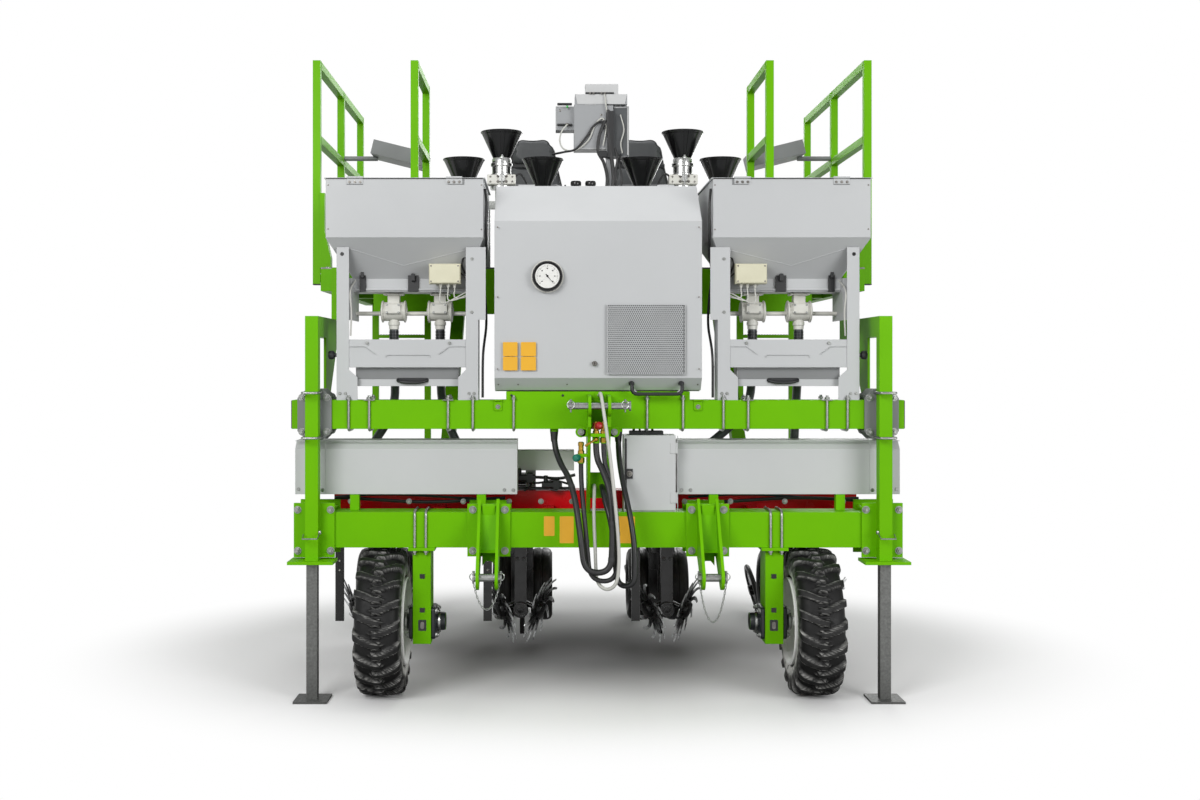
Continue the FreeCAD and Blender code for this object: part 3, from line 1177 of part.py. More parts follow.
def catch_tray():
    """Calibration tray under the apron, open at the top."""
    low = APRON_BOTTOM - TRAY_HEIGHT
    outside = block(TRAY_INNER_X, TRAY_OUTER_X, TRAY_FRONT, TRAY_FRONT + TRAY_DEPTH,
                    low, APRON_BOTTOM)
    inside = block(TRAY_INNER_X + TRAY_SHEET, TRAY_OUTER_X - TRAY_SHEET, TRAY_FRONT + TRAY_SHEET,
                   TRAY_FRONT + TRAY_DEPTH - TRAY_SHEET, low + TRAY_SHEET, APRON_BOTTOM)
    return outside.cut(inside)


def make_metering():
    """Right pair of metering units on their common shaft, with necks and outlets."""
    pieces = []
    for x in METER_XS:
        neck = METER_NECK / 2
        pieces.append(rod((x - METER_LENGTH / 2, TROUGH_CENTRE_Y, METER_Z),
                          (x + METER_LENGTH / 2, TROUGH_CENTRE_Y, METER_Z), METER_RADIUS))
        pieces.append(block(x - neck, x + neck, TROUGH_CENTRE_Y - neck, TROUGH_CENTRE_Y + neck,
                            METER_Z, TROUGH_BOTTOM))
        pieces.append(rod((x, TROUGH_CENTRE_Y, METER_Z),
                          (x, TROUGH_CENTRE_Y, METER_Z - METER_RADIUS - METER_OUTLET_LENGTH),
                          METER_OUTLET_RADIUS))
    shaft_z = METER_Z - METER_SHAFT_DROP
    pieces.append(rod((TROUGH_INNER_X, TROUGH_CENTRE_Y, shaft_z),
                      (TROUGH_OUTER_X, TROUGH_CENTRE_Y, shaft_z), METER_SHAFT_RADIUS))
    return join(*pieces)


def make_junction_box():
    """Right cable junction box in front of the trough, on its bracket."""
    box = block(JUNCTION_INNER_X, JUNCTION_OUTER_X, JUNCTION_FRONT, JUNCTION_FRONT + JUNCTION_DEPTH,
                JUNCTION_BOTTOM, JUNCTION_BOTTOM + JUNCTION_HEIGHT)
    bracket = block(JUNCTION_INNER_X + JUNCTION_BRACKET, JUNCTION_OUTER_X - JUNCTION_BRACKET,
                    JUNCTION_FRONT + JUNCTION_DEPTH, TROUGH_FRONT,
                    JUNCTION_BOTTOM, JUNCTION_BOTTOM + JUNCTION_BRACKET)
    return join(box, bracket)


def make_fertiliser_hoses():
    """Hoses from the metering outlets, behind the covers, to the fertiliser shanks."""
    start_z = METER_Z - METER_RADIUS - METER_OUTLET_LENGTH
    end_y = TOOL_BAR_BACK + SHANK_SETBACK + SHANK_THICKNESS / 2
    behind = TOOL_BAR_FRONT - 2.5 * HOSE_RADIUS
    top_z = TOOL_BAR_TOP + 8 * HOSE_RADIUS
    outlets = [-METER_XS[1], -METER_XS[0], METER_XS[0], METER_XS[1]]
    hoses = []
    for outlet_x, row_x in zip(outlets, ROW_XS):
        end_x = row_x + SHANK_X
        route = [(outlet_x, TROUGH_CENTRE_Y, start_z),
                 (outlet_x, TROUGH_CENTRE_Y, start_z - HOSE_STRAIGHT),
                 (outlet_x, behind, UPPER_BEAM_BOTTOM + HOSE_REAR_RISE),
                 ((outlet_x + end_x) / 2, behind, top_z),
                 (end_x, end_y, TOOL_BAR_TOP + 2 * HOSE_RADIUS),
                 (end_x, end_y, TOOL_BAR_BOTTOM)]
        hoses.append(round_tube(route, HOSE_RADIUS)[0])
    return hoses


# --------------------------------------------------------------------------------------------
# Covers and control box
# --------------------------------------------------------------------------------------------

def cover_outline(inset):
    """Side outline of a cover: front, bevel and top, open below and behind."""
    back = COVER_FRONT + COVER_DEPTH
    return [(COVER_FRONT + inset, COVER_BOTTOM), (COVER_FRONT + inset, COVER_TOP - COVER_BEVEL),
            (COVER_FRONT + COVER_BEVEL, COVER_TOP - inset), (back, COVER_TOP - inset),
            (back, COVER_BOTTOM)]


def make_cover():
    """Right cover with its two posts on the main beam."""
    outside = plate_yz(cover_outline(0), COVER_INNER_X, COVER_OUTER_X)
    inside = plate_yz(cover_outline(COVER_SHEET), COVER_INNER_X + COVER_SHEET,
                      COVER_OUTER_X - COVER_SHEET)
    posts = []
    for x in (COVER_INNER_X + COVER_POST_INSET, COVER_OUTER_X - 2 * COVER_POST_INSET):
        posts.append(block(x, x + COVER_POST_WIDTH, COVER_FRONT + COVER_SHEET, MAIN_HALF / 2,
                           MAIN_BEAM_TOP, COVER_TOP - COVER_BEVEL))
    return join(outside.cut(inside), *posts)


def make_cable_duct():
    """Cable duct that stands on the tool bar, between the left cover and the mast."""
    front = TOOL_BAR_CENTRE_Y - DUCT_DEPTH / 2
    back = TOOL_BAR_CENTRE_Y + DUCT_DEPTH / 2
    duct = block(DUCT_OUTER_X, DUCT_INNER_X, front, back, DUCT_BOTTOM, DUCT_BOTTOM + DUCT_HEIGHT)
    posts = [block(x - DUCT_POST_WIDTH / 2, x + DUCT_POST_WIDTH / 2, front, back,
                   TOOL_BAR_TOP, DUCT_BOTTOM) for x in DUCT_POST_XS]
    return join(duct, *posts)


def door_hinge_spans():
    """Z range of each of the control door's two hinges."""
    low = MAIN_BEAM_TOP + PANEL_GAP + DOOR_HINGE_INSET
    high = CONTROL_TOP - DOOR_HINGE_INSET
    return [(low, low + DOOR_HINGE_LENGTH), (high - DOOR_HINGE_LENGTH, high)]


def make_control_box():
    """Control box on the main beam, open at the front, with its hinge leaves on one side."""
    back = CONTROL_FRONT + CONTROL_DEPTH
    outside = block(CONTROL_INNER_X, CONTROL_OUTER_X, CONTROL_FRONT, back,
                    MAIN_BEAM_TOP, CONTROL_TOP)
    inside = block(CONTROL_INNER_X + CONTROL_SHEET, CONTROL_OUTER_X - CONTROL_SHEET, CONTROL_FRONT,
                   back - CONTROL_SHEET, MAIN_BEAM_TOP + CONTROL_SHEET, CONTROL_TOP - CONTROL_SHEET)
    leaves = [block(CONTROL_OUTER_X, CONTROL_OUTER_X + DOOR_LEAF_THICKNESS,
                    CONTROL_FRONT + FACE_CLEARANCE, CONTROL_FRONT + DOOR_HINGE_LENGTH, z0, z1)
              for z0, z1 in door_hinge_spans()]
    return [join(outside.cut(inside), *leaves)]


def make_control_door():
    """Door of the control box with its two hinge barrels."""
    door_front = CONTROL_FRONT - FACE_CLEARANCE - DOOR_THICKNESS
    door_back = CONTROL_FRONT - FACE_CLEARANCE
    low = MAIN_BEAM_TOP + PANEL_GAP
    panel = block(CONTROL_INNER_X, CONTROL_OUTER_X, door_front, door_back, low, CONTROL_TOP)
    barrels = []
    for z0, z1 in door_hinge_spans():
        barrels.append(rod((DOOR_HINGE_X, DOOR_HINGE_Y, z0), (DOOR_HINGE_X, DOOR_HINGE_Y, z1),
                           DOOR_HINGE_RADIUS))
        barrels.append(block(CONTROL_OUTER_X - DOOR_HINGE_LENGTH / 2, DOOR_HINGE_X,
                             door_front - DOOR_LEAF_THICKNESS, door_front, z0, z1))
    return [join(panel, *barrels)]


# --------------------------------------------------------------------------------------------
# Tool bar
# --------------------------------------------------------------------------------------------

def make_tool_bar():
    """Red tool bar with the arms that tie it to the main beam."""
    half = TOOL_BAR_LENGTH / 2
    bar = box_tube(-half, half, TOOL_BAR_FRONT, TOOL_BAR_BACK, TOOL_BAR_BOTTOM, TOOL_BAR_TOP,
                   TOOL_BAR_WALL, "x")
    arms = []
    arm_top = MAIN_BEAM_TOP - STAND_SHEET
    for x in TOOL_ARM_XS:
        arms += both_sides(block(x - TOOL_ARM_WIDTH / 2, x + TOOL_ARM_WIDTH / 2, MAIN_HALF,
                                 TOOL_BAR_FRONT, arm_top - TOOL_ARM_HEIGHT, arm_top))
    return [join(bar, *arms)]


# --------------------------------------------------------------------------------------------
# Operators' platform
# --------------------------------------------------------------------------------------------

def make_platform_frame():
    """Platform beams, the beam below the front, risers, slanting struts and ladders."""
    wall = PLATFORM_BEAM_WALL
    low = PLATFORM_BOTTOM
    high = PLATFORM_BEAM_TOP
    width = PLATFORM_BEAM_WIDTH
    half = PLATFORM_HALF_WIDTH
    spans = [(-half, half, PLATFORM_FRONT, PLATFORM_FRONT + width),
             (-half, half, PLATFORM_REAR - width, PLATFORM_REAR),
             (-half, half, STRUT_TUBE_REAR - width / 2, STRUT_TUBE_REAR + width / 2)]
    for x in (PLATFORM_JOIST_X, half - width):
        spans.append((x, x + width, PLATFORM_FRONT, PLATFORM_REAR))
        spans.append((-x - width, -x, PLATFORM_FRONT, PLATFORM_REAR))
    beams = join(*[block(*span, low, high) for span in spans])
    channels = join(*[block(x0 + wall, x1 - wall, y0 + wall, y1 - wall, low + wall, high)
                      for x0, x1, y0, y1 in spans])
    sub_beam = box_tube(-SUB_BEAM_HALF_WIDTH, SUB_BEAM_HALF_WIDTH, PLATFORM_FRONT,
                        PLATFORM_FRONT + SUB_BEAM_DEPTH, low - SUB_BEAM_HEIGHT, low, wall, "x")
    riser_x = POST_CENTRE_X - POST_SIDE / 2
    risers = both_sides(block(riser_x, riser_x + POST_SIDE, PLATFORM_FRONT - RISER_DEPTH,
                              PLATFORM_FRONT, POST_TOP, high))
    return [join(beams.cut(channels), sub_beam, *risers, *platform_struts(), *ladders())]


def platform_struts():
    """Slanting square struts from the tool bar up to the platform's middle beam."""
    start = (STRUT_TUBE_X, TOOL_BAR_CENTRE_Y, TOOL_BAR_TOP)
    end = (STRUT_TUBE_X, STRUT_TUBE_REAR, PLATFORM_BOTTOM)
    overlap = 0.1
    start_far = tuple(a + (a - b) * overlap for a, b in zip(start, end))
    end_far = tuple(b + (b - a) * overlap for a, b in zip(start, end))
    strut = square_bar(start_far, end_far, STRUT_TUBE)
    window = block(0, PLATFORM_HALF_WIDTH, 0, PLATFORM_REAR, TOOL_BAR_TOP, PLATFORM_BOTTOM)
    return both_sides(strut.common(window))


def ladders():
    """Two ladders down from the platform's rear beam."""
    pieces = []
    rail_y = PLATFORM_REAR - LADDER_RAIL
    for side in (-1, 1):
        x = LADDER_CENTRE_X + side * LADDER_WIDTH / 2
        low, high = sorted((x, x - side * LADDER_RAIL))
        pieces += both_sides(block(low, high, rail_y, PLATFORM_REAR, LADDER_BOTTOM, PLATFORM_BOTTOM))
    pitch = (PLATFORM_BOTTOM - LADDER_BOTTOM) / LADDER_RUNGS
    for rung in range(LADDER_RUNGS):
        z = LADDER_BOTTOM + LADDER_RAIL + rung * pitch
        pieces += both_sides(block(LADDER_CENTRE_X - LADDER_WIDTH / 2,
                                   LADDER_CENTRE_X + LADDER_WIDTH / 2, rail_y, PLATFORM_REAR,
                                   z, z + LADDER_RAIL / 2))
    return pieces


def make_platform_floor():
    """Floor plate with the two seat posts."""
    floor = block(-PLATFORM_HALF_WIDTH, PLATFORM_HALF_WIDTH, PLATFORM_FRONT, PLATFORM_REAR,
                  PLATFORM_BEAM_TOP, FLOOR_TOP)
    return [join(floor, *both_sides(seat_post()))]


def make_outer_railing():
    """Right outer railing with the brackets that stand on the platform's edge."""
    half = RAIL_SIDE / 2
    front = OUTER_POST_YS[0] - half
    back = OUTER_POST_YS[-1] + half
    x0 = OUTER_RAIL_X - half
    x1 = OUTER_RAIL_X + half
    pieces = [block(x0, x1, y - half, y + half, OUTER_RAIL_BOTTOM, RAIL_TOP) for y in OUTER_POST_YS]
    for top in (RAIL_TOP, RAIL_MIDDLE_TOP):
        pieces.append(block(x0, x1, front, back, top - RAIL_SIDE, top))
    foot_x = x0 - RAIL_BRACKET_FOOT
    neck_x = x0 - RAIL_BRACKET_NECK
    middle_z = (FLOOR_TOP + RAIL_BRACKET_TOP) / 2
    for y in OUTER_POST_YS:
        rear = min(y + RAIL_BRACKET_DEPTH / 2, back)
        pieces.append(plate_xz([(x0, FLOOR_TOP), (x0, RAIL_BRACKET_TOP), (neck_x, RAIL_BRACKET_TOP),
                                (neck_x, middle_z), (foot_x, FLOOR_TOP + RAIL_BRACKET_FOOT),
                                (foot_x, FLOOR_TOP)], y - RAIL_BRACKET_DEPTH / 2, rear))
    return join(*pieces)


def make_inner_railing():
    """Right inner railing between the seats and the side walkway."""
    half = RAIL_SIDE / 2
    x0 = INNER_RAIL_X - half
    x1 = INNER_RAIL_X + half
    pieces = [block(x0, x1, y - half, y + half, FLOOR_TOP, RAIL_TOP) for y in INNER_POST_YS]
    for top in (RAIL_TOP, RAIL_MIDDLE_TOP):
        pieces.append(block(x0, x1, INNER_POST_YS[0] - half, INNER_POST_YS[-1] + half,
                            top - RAIL_SIDE, top))
    return join(*pieces)


def make_seat():
    """Right seat: pan and rounded back."""
    half = SEAT_WIDTH / 2
    pan = block(SEAT_X - half, SEAT_X + half, SEAT_FRONT, SEAT_FRONT + SEAT_DEPTH,
                SEAT_PAN_BOTTOM, SEAT_PAN_BOTTOM + SEAT_PAN_THICKNESS)
    back_y = SEAT_FRONT + SEAT_DEPTH - SEAT_BACK_THICKNESS
    top_half = SEAT_BACK_TOP_WIDTH / 2
    shoulder = SEAT_BACK_TOP - (half - top_half)
    back = plate_xz([(SEAT_X - half, SEAT_PAN_BOTTOM), (SEAT_X + half, SEAT_PAN_BOTTOM),
                     (SEAT_X + half, shoulder), (SEAT_X + top_half, SEAT_BACK_TOP),
                     (SEAT_X - top_half, SEAT_BACK_TOP), (SEAT_X - half, shoulder)],
                    back_y, back_y + SEAT_BACK_THICKNESS)
    return join(pan, back)


def seat_post():
    """Right seat post with its foot and top plates."""
    middle_y = SEAT_FRONT + SEAT_DEPTH / 2
    half = SEAT_BASE_SIDE / 2
    foot = block(SEAT_X - half, SEAT_X + half, middle_y - half, middle_y + half,
                 FLOOR_TOP, FLOOR_TOP + SEAT_BASE_THICKNESS)
    top = block(SEAT_X - half, SEAT_X + half, middle_y - half, middle_y + half,
                SEAT_PAN_BOTTOM - SEAT_BASE_THICKNESS, SEAT_PAN_BOTTOM)
    post = rod((SEAT_X, middle_y, FLOOR_TOP), (SEAT_X, middle_y, SEAT_PAN_BOTTOM), SEAT_POST_RADIUS)
    return join(foot, top, post)


def funnel_places():
    """Centre and rim height of each hand-feed funnel."""
    places = []
    for side in (-1, 1):
        places += [(side * x, LOW_FUNNEL_RIM) for x in LOW_FUNNEL_XS]
        places.append((side * HIGH_FUNNEL_X, HIGH_FUNNEL_RIM))
    return places


def make_seed_funnels():
    """Thin funnels that stand on the rack or on the valves."""
    funnels = []
    for x, rim in funnel_places():
        foot = rim - FUNNEL_CONE_HEIGHT
        outside = Part.makeCone(FUNNEL_SPOUT_RADIUS, FUNNEL_RADIUS, FUNNEL_CONE_HEIGHT,
                                Vector(x, FUNNEL_Y, foot))
        inside = Part.makeCone(FUNNEL_SPOUT_RADIUS - FUNNEL_SHEET, FUNNEL_RADIUS - FUNNEL_SHEET,
                               FUNNEL_CONE_HEIGHT, Vector(x, FUNNEL_Y, foot))
        funnels.append(outside.cut(inside))
    return funnels


def make_funnel_rack():
    """Rack of the funnels: cross tube, uprights, spouts and the round valves."""
    low = RACK_TOP - RACK_TUBE
    half = RACK_TUBE / 2
    pieces = [block(-RACK_HALF_LENGTH, RACK_HALF_LENGTH, FUNNEL_Y - half, FUNNEL_Y + half,
                    low, RACK_TOP)]
    pieces += both_sides(block(RACK_UPRIGHT_X - half, RACK_UPRIGHT_X + half, FUNNEL_Y - half,
                               FUNNEL_Y + half, FLOOR_TOP, low))
    for x, rim in funnel_places():
        foot = rim - FUNNEL_CONE_HEIGHT
        radius = VALVE_RADIUS if rim == HIGH_FUNNEL_RIM else FUNNEL_SPOUT_RADIUS
        pieces.append(rod((x, FUNNEL_Y, RACK_TOP), (x, FUNNEL_Y, foot), radius))
    return [join(*pieces)]


def make_console():
    """Console boxes on their column."""
    depth_end = CONSOLE_FRONT + CONSOLE_BODY_DEPTH
    pieces = []
    for box, depth in ((CONSOLE_BODY, CONSOLE_BODY_DEPTH), (CONSOLE_SIDE_BOX, CONSOLE_SIDE_DEPTH),
                       (CONSOLE_RIGHT_BOX, CONSOLE_SIDE_DEPTH), (CONSOLE_LID, CONSOLE_BODY_DEPTH),
                       (CONSOLE_TOP_BOX, CONSOLE_TOP_DEPTH)):
        x0, x1, z0, z1 = box
        pieces.append(block(x0, x1, depth_end - depth, depth_end, z0, z1))
    half = CONSOLE_COLUMN_SIDE / 2
    pieces.append(block(CONSOLE_COLUMN_X - half, CONSOLE_COLUMN_X + half, FUNNEL_Y - half,
                        FUNNEL_Y + half, RACK_TOP, CONSOLE_RIGHT_BOX[3]))
    return [join(*pieces)]


def make_packet_tray():
    """Right tray for seed packets, tilted, on an arm from the outer railing."""
    half = PACKET_TRAY_LENGTH / 2
    sheet = PACKET_TRAY_SHEET
    outside = Part.makeBox(PACKET_TRAY_LENGTH, PACKET_TRAY_DEPTH, PACKET_TRAY_HEIGHT,
                           Vector(-half, -PACKET_TRAY_DEPTH / 2, 0))
    inside = Part.makeBox(PACKET_TRAY_LENGTH - 2 * sheet, PACKET_TRAY_DEPTH - 2 * sheet,
                          PACKET_TRAY_HEIGHT, Vector(-half + sheet, -PACKET_TRAY_DEPTH / 2 + sheet,
                                                     sheet))
    tray = outside.cut(inside)
    tray.rotate(Vector(0, 0, 0), Vector(0, 1, 0), -PACKET_TRAY_TILT)
    tray.translate(Vector(PACKET_TRAY_CENTRE_X, OUTER_POST_YS[1], PACKET_TRAY_Z))
    tilt = math.radians(PACKET_TRAY_TILT)
    grip = half - 2 * PACKET_ARM_RADIUS
    arm_z = PACKET_TRAY_Z + grip * math.sin(tilt) - PACKET_ARM_RADIUS / 2
    arm = rod((PACKET_TRAY_CENTRE_X + grip * math.cos(tilt), OUTER_POST_YS[1], arm_z),
              (OUTER_RAIL_X - RAIL_SIDE / 2, OUTER_POST_YS[1], arm_z), PACKET_ARM_RADIUS)
    return join(tray, arm)


# --------------------------------------------------------------------------------------------
# Row units
# --------------------------------------------------------------------------------------------

def make_row_unit(row_x):
    """Frame of one sowing unit: links, head, rail, seed meter, shoe, shield, shank, stem and arms."""
    x = row_x
    bracket_back = TOOL_BAR_BACK + ROW_BRACKET_THICKNESS
    half = ROW_BRACKET_WIDTH / 2
    middle_z = TOOL_BAR_BOTTOM + TOOL_BAR_SIDE / 2
    bracket = block(x - half, x + half, TOOL_BAR_BACK, bracket_back,
                    middle_z - ROW_BRACKET_HEIGHT / 2, middle_z + ROW_BRACKET_HEIGHT / 2)
    link_end = bracket_back + ROW_LINK_LENGTH
    links = []
    for side in (-1, 1):
        for level in (-1, 1):
            link_x = x + side * ROW_LINK_X
            link_z = middle_z + level * ROW_LINK_SPACING / 2
            links.append(block(link_x - ROW_LINK_THICKNESS / 2, link_x + ROW_LINK_THICKNESS / 2,
                               bracket_back, link_end, link_z - ROW_LINK_HEIGHT / 2,
                               link_z + ROW_LINK_HEIGHT / 2))
    head = block(x - half, x + half, link_end, link_end + ROW_HEAD_THICKNESS, ROW_RAIL_BOTTOM,
                 middle_z + ROW_BRACKET_HEIGHT / 2)
    rail = block(x - ROW_RAIL_WIDTH / 2, x + ROW_RAIL_WIDTH / 2, ROW_RAIL_FRONT, ROW_RAIL_BACK,
                 ROW_RAIL_BOTTOM, ROW_RAIL_TOP)
    meter = rod((x - SEED_METER_WIDTH / 2, SEED_METER_Y, SEED_METER_Z),
                (x + SEED_METER_WIDTH / 2, SEED_METER_Y, SEED_METER_Z), SEED_METER_RADIUS)
    shoe = plate_yz([(SEED_METER_Y - SHOE_LENGTH / 2, ROW_RAIL_BOTTOM),
                     (SEED_METER_Y + SHOE_LENGTH / 2, ROW_RAIL_BOTTOM),
                     (SEED_METER_Y + SHOE_LENGTH * 0.4, SHOE_BOTTOM),
                     (SEED_METER_Y - SHOE_LENGTH * 0.25, SHOE_BOTTOM)],
                    x - SHOE_WIDTH / 2, x + SHOE_WIDTH / 2)
    shield_front = GAUGE_WHEEL_Y - GAUGE_WHEEL_RADIUS - SHIELD_WHEEL_GAP - SHIELD_THICKNESS
    shield = block(x - SHIELD_HALF_WIDTH, x + SHIELD_HALF_WIDTH, shield_front,
                   shield_front + SHIELD_THICKNESS, SHIELD_BOTTOM, ROW_RAIL_BOTTOM + ROW_RAIL_HEIGHT / 2)
    shank_x = x + SHANK_X
    shank_y = TOOL_BAR_BACK + SHANK_SETBACK
    shank = block(shank_x - SHANK_WIDTH / 2, shank_x + SHANK_WIDTH / 2, shank_y,
                  shank_y + SHANK_THICKNESS, SHANK_BOTTOM, TOOL_BAR_BOTTOM)
    shank_clamp = block(shank_x - SHANK_WIDTH / 2, shank_x + SHANK_WIDTH / 2, TOOL_BAR_CENTRE_Y,
                        shank_y + SHANK_THICKNESS, TOOL_BAR_BOTTOM - ROW_BRACKET_THICKNESS,
                        TOOL_BAR_BOTTOM)
    return [join(bracket, *links, head, rail, meter, shoe, shield, *gauge_arms(x), *closing_arms(x),
                 *star_stem(x)),
            join(shank, shank_clamp)]


def gauge_arms(row_x):
    """Two arms from the rail to the depth wheels' shaft, with running holes."""
    arms = []
    rail_z = ROW_RAIL_BOTTOM + ROW_RAIL_HEIGHT / 2
    eye_radius = 2.5 * GAUGE_SHAFT_RADIUS
    for side in (-1, 1):
        inner = row_x + side * (ROW_RAIL_WIDTH / 2 - GAUGE_ARM_THICKNESS)
        outer = inner + side * GAUGE_ARM_THICKNESS
        low, high = sorted((inner, outer))
        top_y = GAUGE_WHEEL_Y + 2 * ROW_RAIL_HEIGHT
        arm = plate_yz([(top_y - ROW_RAIL_HEIGHT / 2, rail_z), (top_y + ROW_RAIL_HEIGHT / 2, rail_z),
                        (GAUGE_WHEEL_Y + eye_radius, GAUGE_WHEEL_Z),
                        (GAUGE_WHEEL_Y - eye_radius, GAUGE_WHEEL_Z)], low, high)
        eye = rod((low, GAUGE_WHEEL_Y, GAUGE_WHEEL_Z), (high, GAUGE_WHEEL_Y, GAUGE_WHEEL_Z),
                  eye_radius)
        hole = rod((low, GAUGE_WHEEL_Y, GAUGE_WHEEL_Z), (high, GAUGE_WHEEL_Y, GAUGE_WHEEL_Z),
                   GAUGE_SHAFT_RADIUS + SHAFT_CLEARANCE)
        arms.append(join(arm, eye).cut(hole))
    return arms


def closing_centre(row_x, side):
    """Centre of a closing wheel whose lowest edge is on the floor."""
    tilt = math.radians(CLOSING_TILT)
    height = CLOSING_RADIUS * math.cos(tilt) + CLOSING_WIDTH / 2 * math.sin(tilt)
    return Vector(row_x + side * CLOSING_X, CLOSING_Y, height)


def closing_arms(row_x):
    """Arm behind the rail with the two stub shafts of the closing wheels."""
    pieces = []
    half = CLOSING_ARM_WIDTH / 2
    centre = closing_centre(row_x, 1)
    low_z = centre.z
    pieces.append(plate_yz([(ROW_RAIL_BACK - ROW_RAIL_HEIGHT, ROW_RAIL_BOTTOM + ROW_RAIL_HEIGHT / 2),
                            (ROW_RAIL_BACK - ROW_RAIL_HEIGHT, ROW_RAIL_BOTTOM),
                            (CLOSING_Y - 1.5 * half, low_z), (CLOSING_Y + half, low_z),
                            (CLOSING_Y + half, low_z + 2 * half),
                            (ROW_RAIL_BACK, ROW_RAIL_BOTTOM + ROW_RAIL_HEIGHT / 2)],
                           row_x - half, row_x + half))
    for side in (-1, 1):
        centre = closing_centre(row_x, side)
        axis = tilted_axis(side, CLOSING_TILT, 0)
        start = centre - axis * (CLOSING_X / math.cos(math.radians(CLOSING_TILT)))
        pieces.append(rod(tuple(start), tuple(centre), CLOSING_STUB_RADIUS))
    return pieces


def make_closing_wheel(row_x, side):
    """One closing wheel: rim, disc and hub with the bore for its stub."""
    centre = closing_centre(row_x, side)
    axis = tilted_axis(side, CLOSING_TILT, 0)
    face = axis * (CLOSING_WIDTH / 2)
    ring = rod(tuple(centre - face), tuple(centre + face), CLOSING_RADIUS)
    hub_start = centre - axis * (CLOSING_HUB_LENGTH / 2)
    hub_end = centre + axis * (CLOSING_HUB_LENGTH / 2)
    hub = rod(tuple(hub_start), tuple(hub_end), CLOSING_HUB_RADIUS)
    bore = rod(tuple(hub_start), tuple(centre + axis * FACE_CLEARANCE),
               CLOSING_STUB_RADIUS + SHAFT_CLEARANCE)
    return [join(ring, hub).cut(bore)]


def make_gauge_wheels(row_x):
    """The two depth wheels of a row on their common shaft."""
    pieces = []
    reach = GAUGE_WHEEL_X + GAUGE_WHEEL_WIDTH / 2
    for side in (-1, 1):
        middle = row_x + side * GAUGE_WHEEL_X
        pieces.append(rod((middle - GAUGE_WHEEL_WIDTH / 2, GAUGE_WHEEL_Y, GAUGE_WHEEL_Z),
                          (middle + GAUGE_WHEEL_WIDTH / 2, GAUGE_WHEEL_Y, GAUGE_WHEEL_Z),
                          GAUGE_WHEEL_RADIUS))
    pieces.append(rod((row_x - reach, GAUGE_WHEEL_Y, GAUGE_WHEEL_Z),
                      (row_x + reach, GAUGE_WHEEL_Y, GAUGE_WHEEL_Z), GAUGE_SHAFT_RADIUS))
    return [join(*pieces)]


def star_centre(row_x, side):
    return Vector(row_x + side * STAR_X, STAR_Y, STAR_Z)


def star_stem(row_x):
    """Stem behind the tool bar with the stub shafts of the two star wheels."""
    half = STAR_STEM_WIDTH / 2
    back = STAR_STEM_FRONT + STAR_STEM_DEPTH
    middle_z = TOOL_BAR_BOTTOM + TOOL_BAR_SIDE / 2
    arm_top = middle_z + STAR_STEM_ARM_HEIGHT / 2
    pieces = [block(row_x - half, row_x + half, STAR_STEM_FRONT, back, STAR_Z - half / 2, arm_top),
              block(row_x - half, row_x + half, TOOL_BAR_BACK + ROW_BRACKET_THICKNESS,
                    STAR_STEM_FRONT, arm_top - STAR_STEM_ARM_HEIGHT, arm_top)]
    for side in (-1, 1):
        centre = star_centre(row_x, side)
        axis = tilted_axis(side, STAR_TILT, STAR_TOE)
        pieces.append(rod(tuple(centre - axis * STAR_STUB_LENGTH), tuple(centre), STAR_STUB_RADIUS))
    return pieces


def make_star_wheel(row_x, side):
    """One star wheel of the row cleaner: pointed fingers round a disc, with its hub."""
    centre = star_centre(row_x, side)
    axis = tilted_axis(side, STAR_TILT, STAR_TOE)
    along = Vector(math.sin(math.radians(STAR_TOE)) * side, math.cos(math.radians(STAR_TOE)), 0)
    across = axis.cross(along)
    start = centre - axis * (STAR_THICKNESS / 2)
    points = []
    for step in range(2 * STAR_TEETH):
        angle = math.pi * step / STAR_TEETH
        radius = STAR_RADIUS if step % 2 == 0 else STAR_ROOT_RADIUS
        points.append(start + along * (radius * math.cos(angle)) + across * (radius * math.sin(angle)))
    star = Part.Face(Part.makePolygon(points + points[:1])).extrude(axis * STAR_THICKNESS)
    hub_start = centre - axis * (STAR_HUB_LENGTH / 2)
    hub = rod(tuple(hub_start), tuple(centre + axis * (STAR_HUB_LENGTH / 2)), STAR_HUB_RADIUS)
    bore = rod(tuple(hub_start), tuple(centre + axis * FACE_CLEARANCE),
               STAR_STUB_RADIUS + SHAFT_CLEARANCE)
    return [join(star, hub).cut(bore)]


# --------------------------------------------------------------------------------------------
# Free hoses and cables
# --------------------------------------------------------------------------------------------

CORDS = {
    "front_hose": (FRONT_HOSE_ROUTE, FRONT_HOSE_RADIUS),
    "rear_hose": (REAR_HOSE_ROUTE, REAR_HOSE_RADIUS),
    "pale_cable": (PALE_CABLE_ROUTE, PALE_CABLE_RADIUS),
    "black_cable": (BLACK_CABLE_ROUTE, BLACK_CABLE_RADIUS),
}


def make_cord(name, route, radius):
    """A free hose or cable, with its length, its arcs and its volume printed as a check."""
    tube, length, arcs = round_tube(route, radius)
    expected = math.pi * radius ** 2 * length
    print(name, "length", round(length), "arcs", [round(arc) for arc in arcs],
          "volume ratio", round(tube.Volume / expected, 4))
    return tube


# --------------------------------------------------------------------------------------------
# Nodes
# --------------------------------------------------------------------------------------------

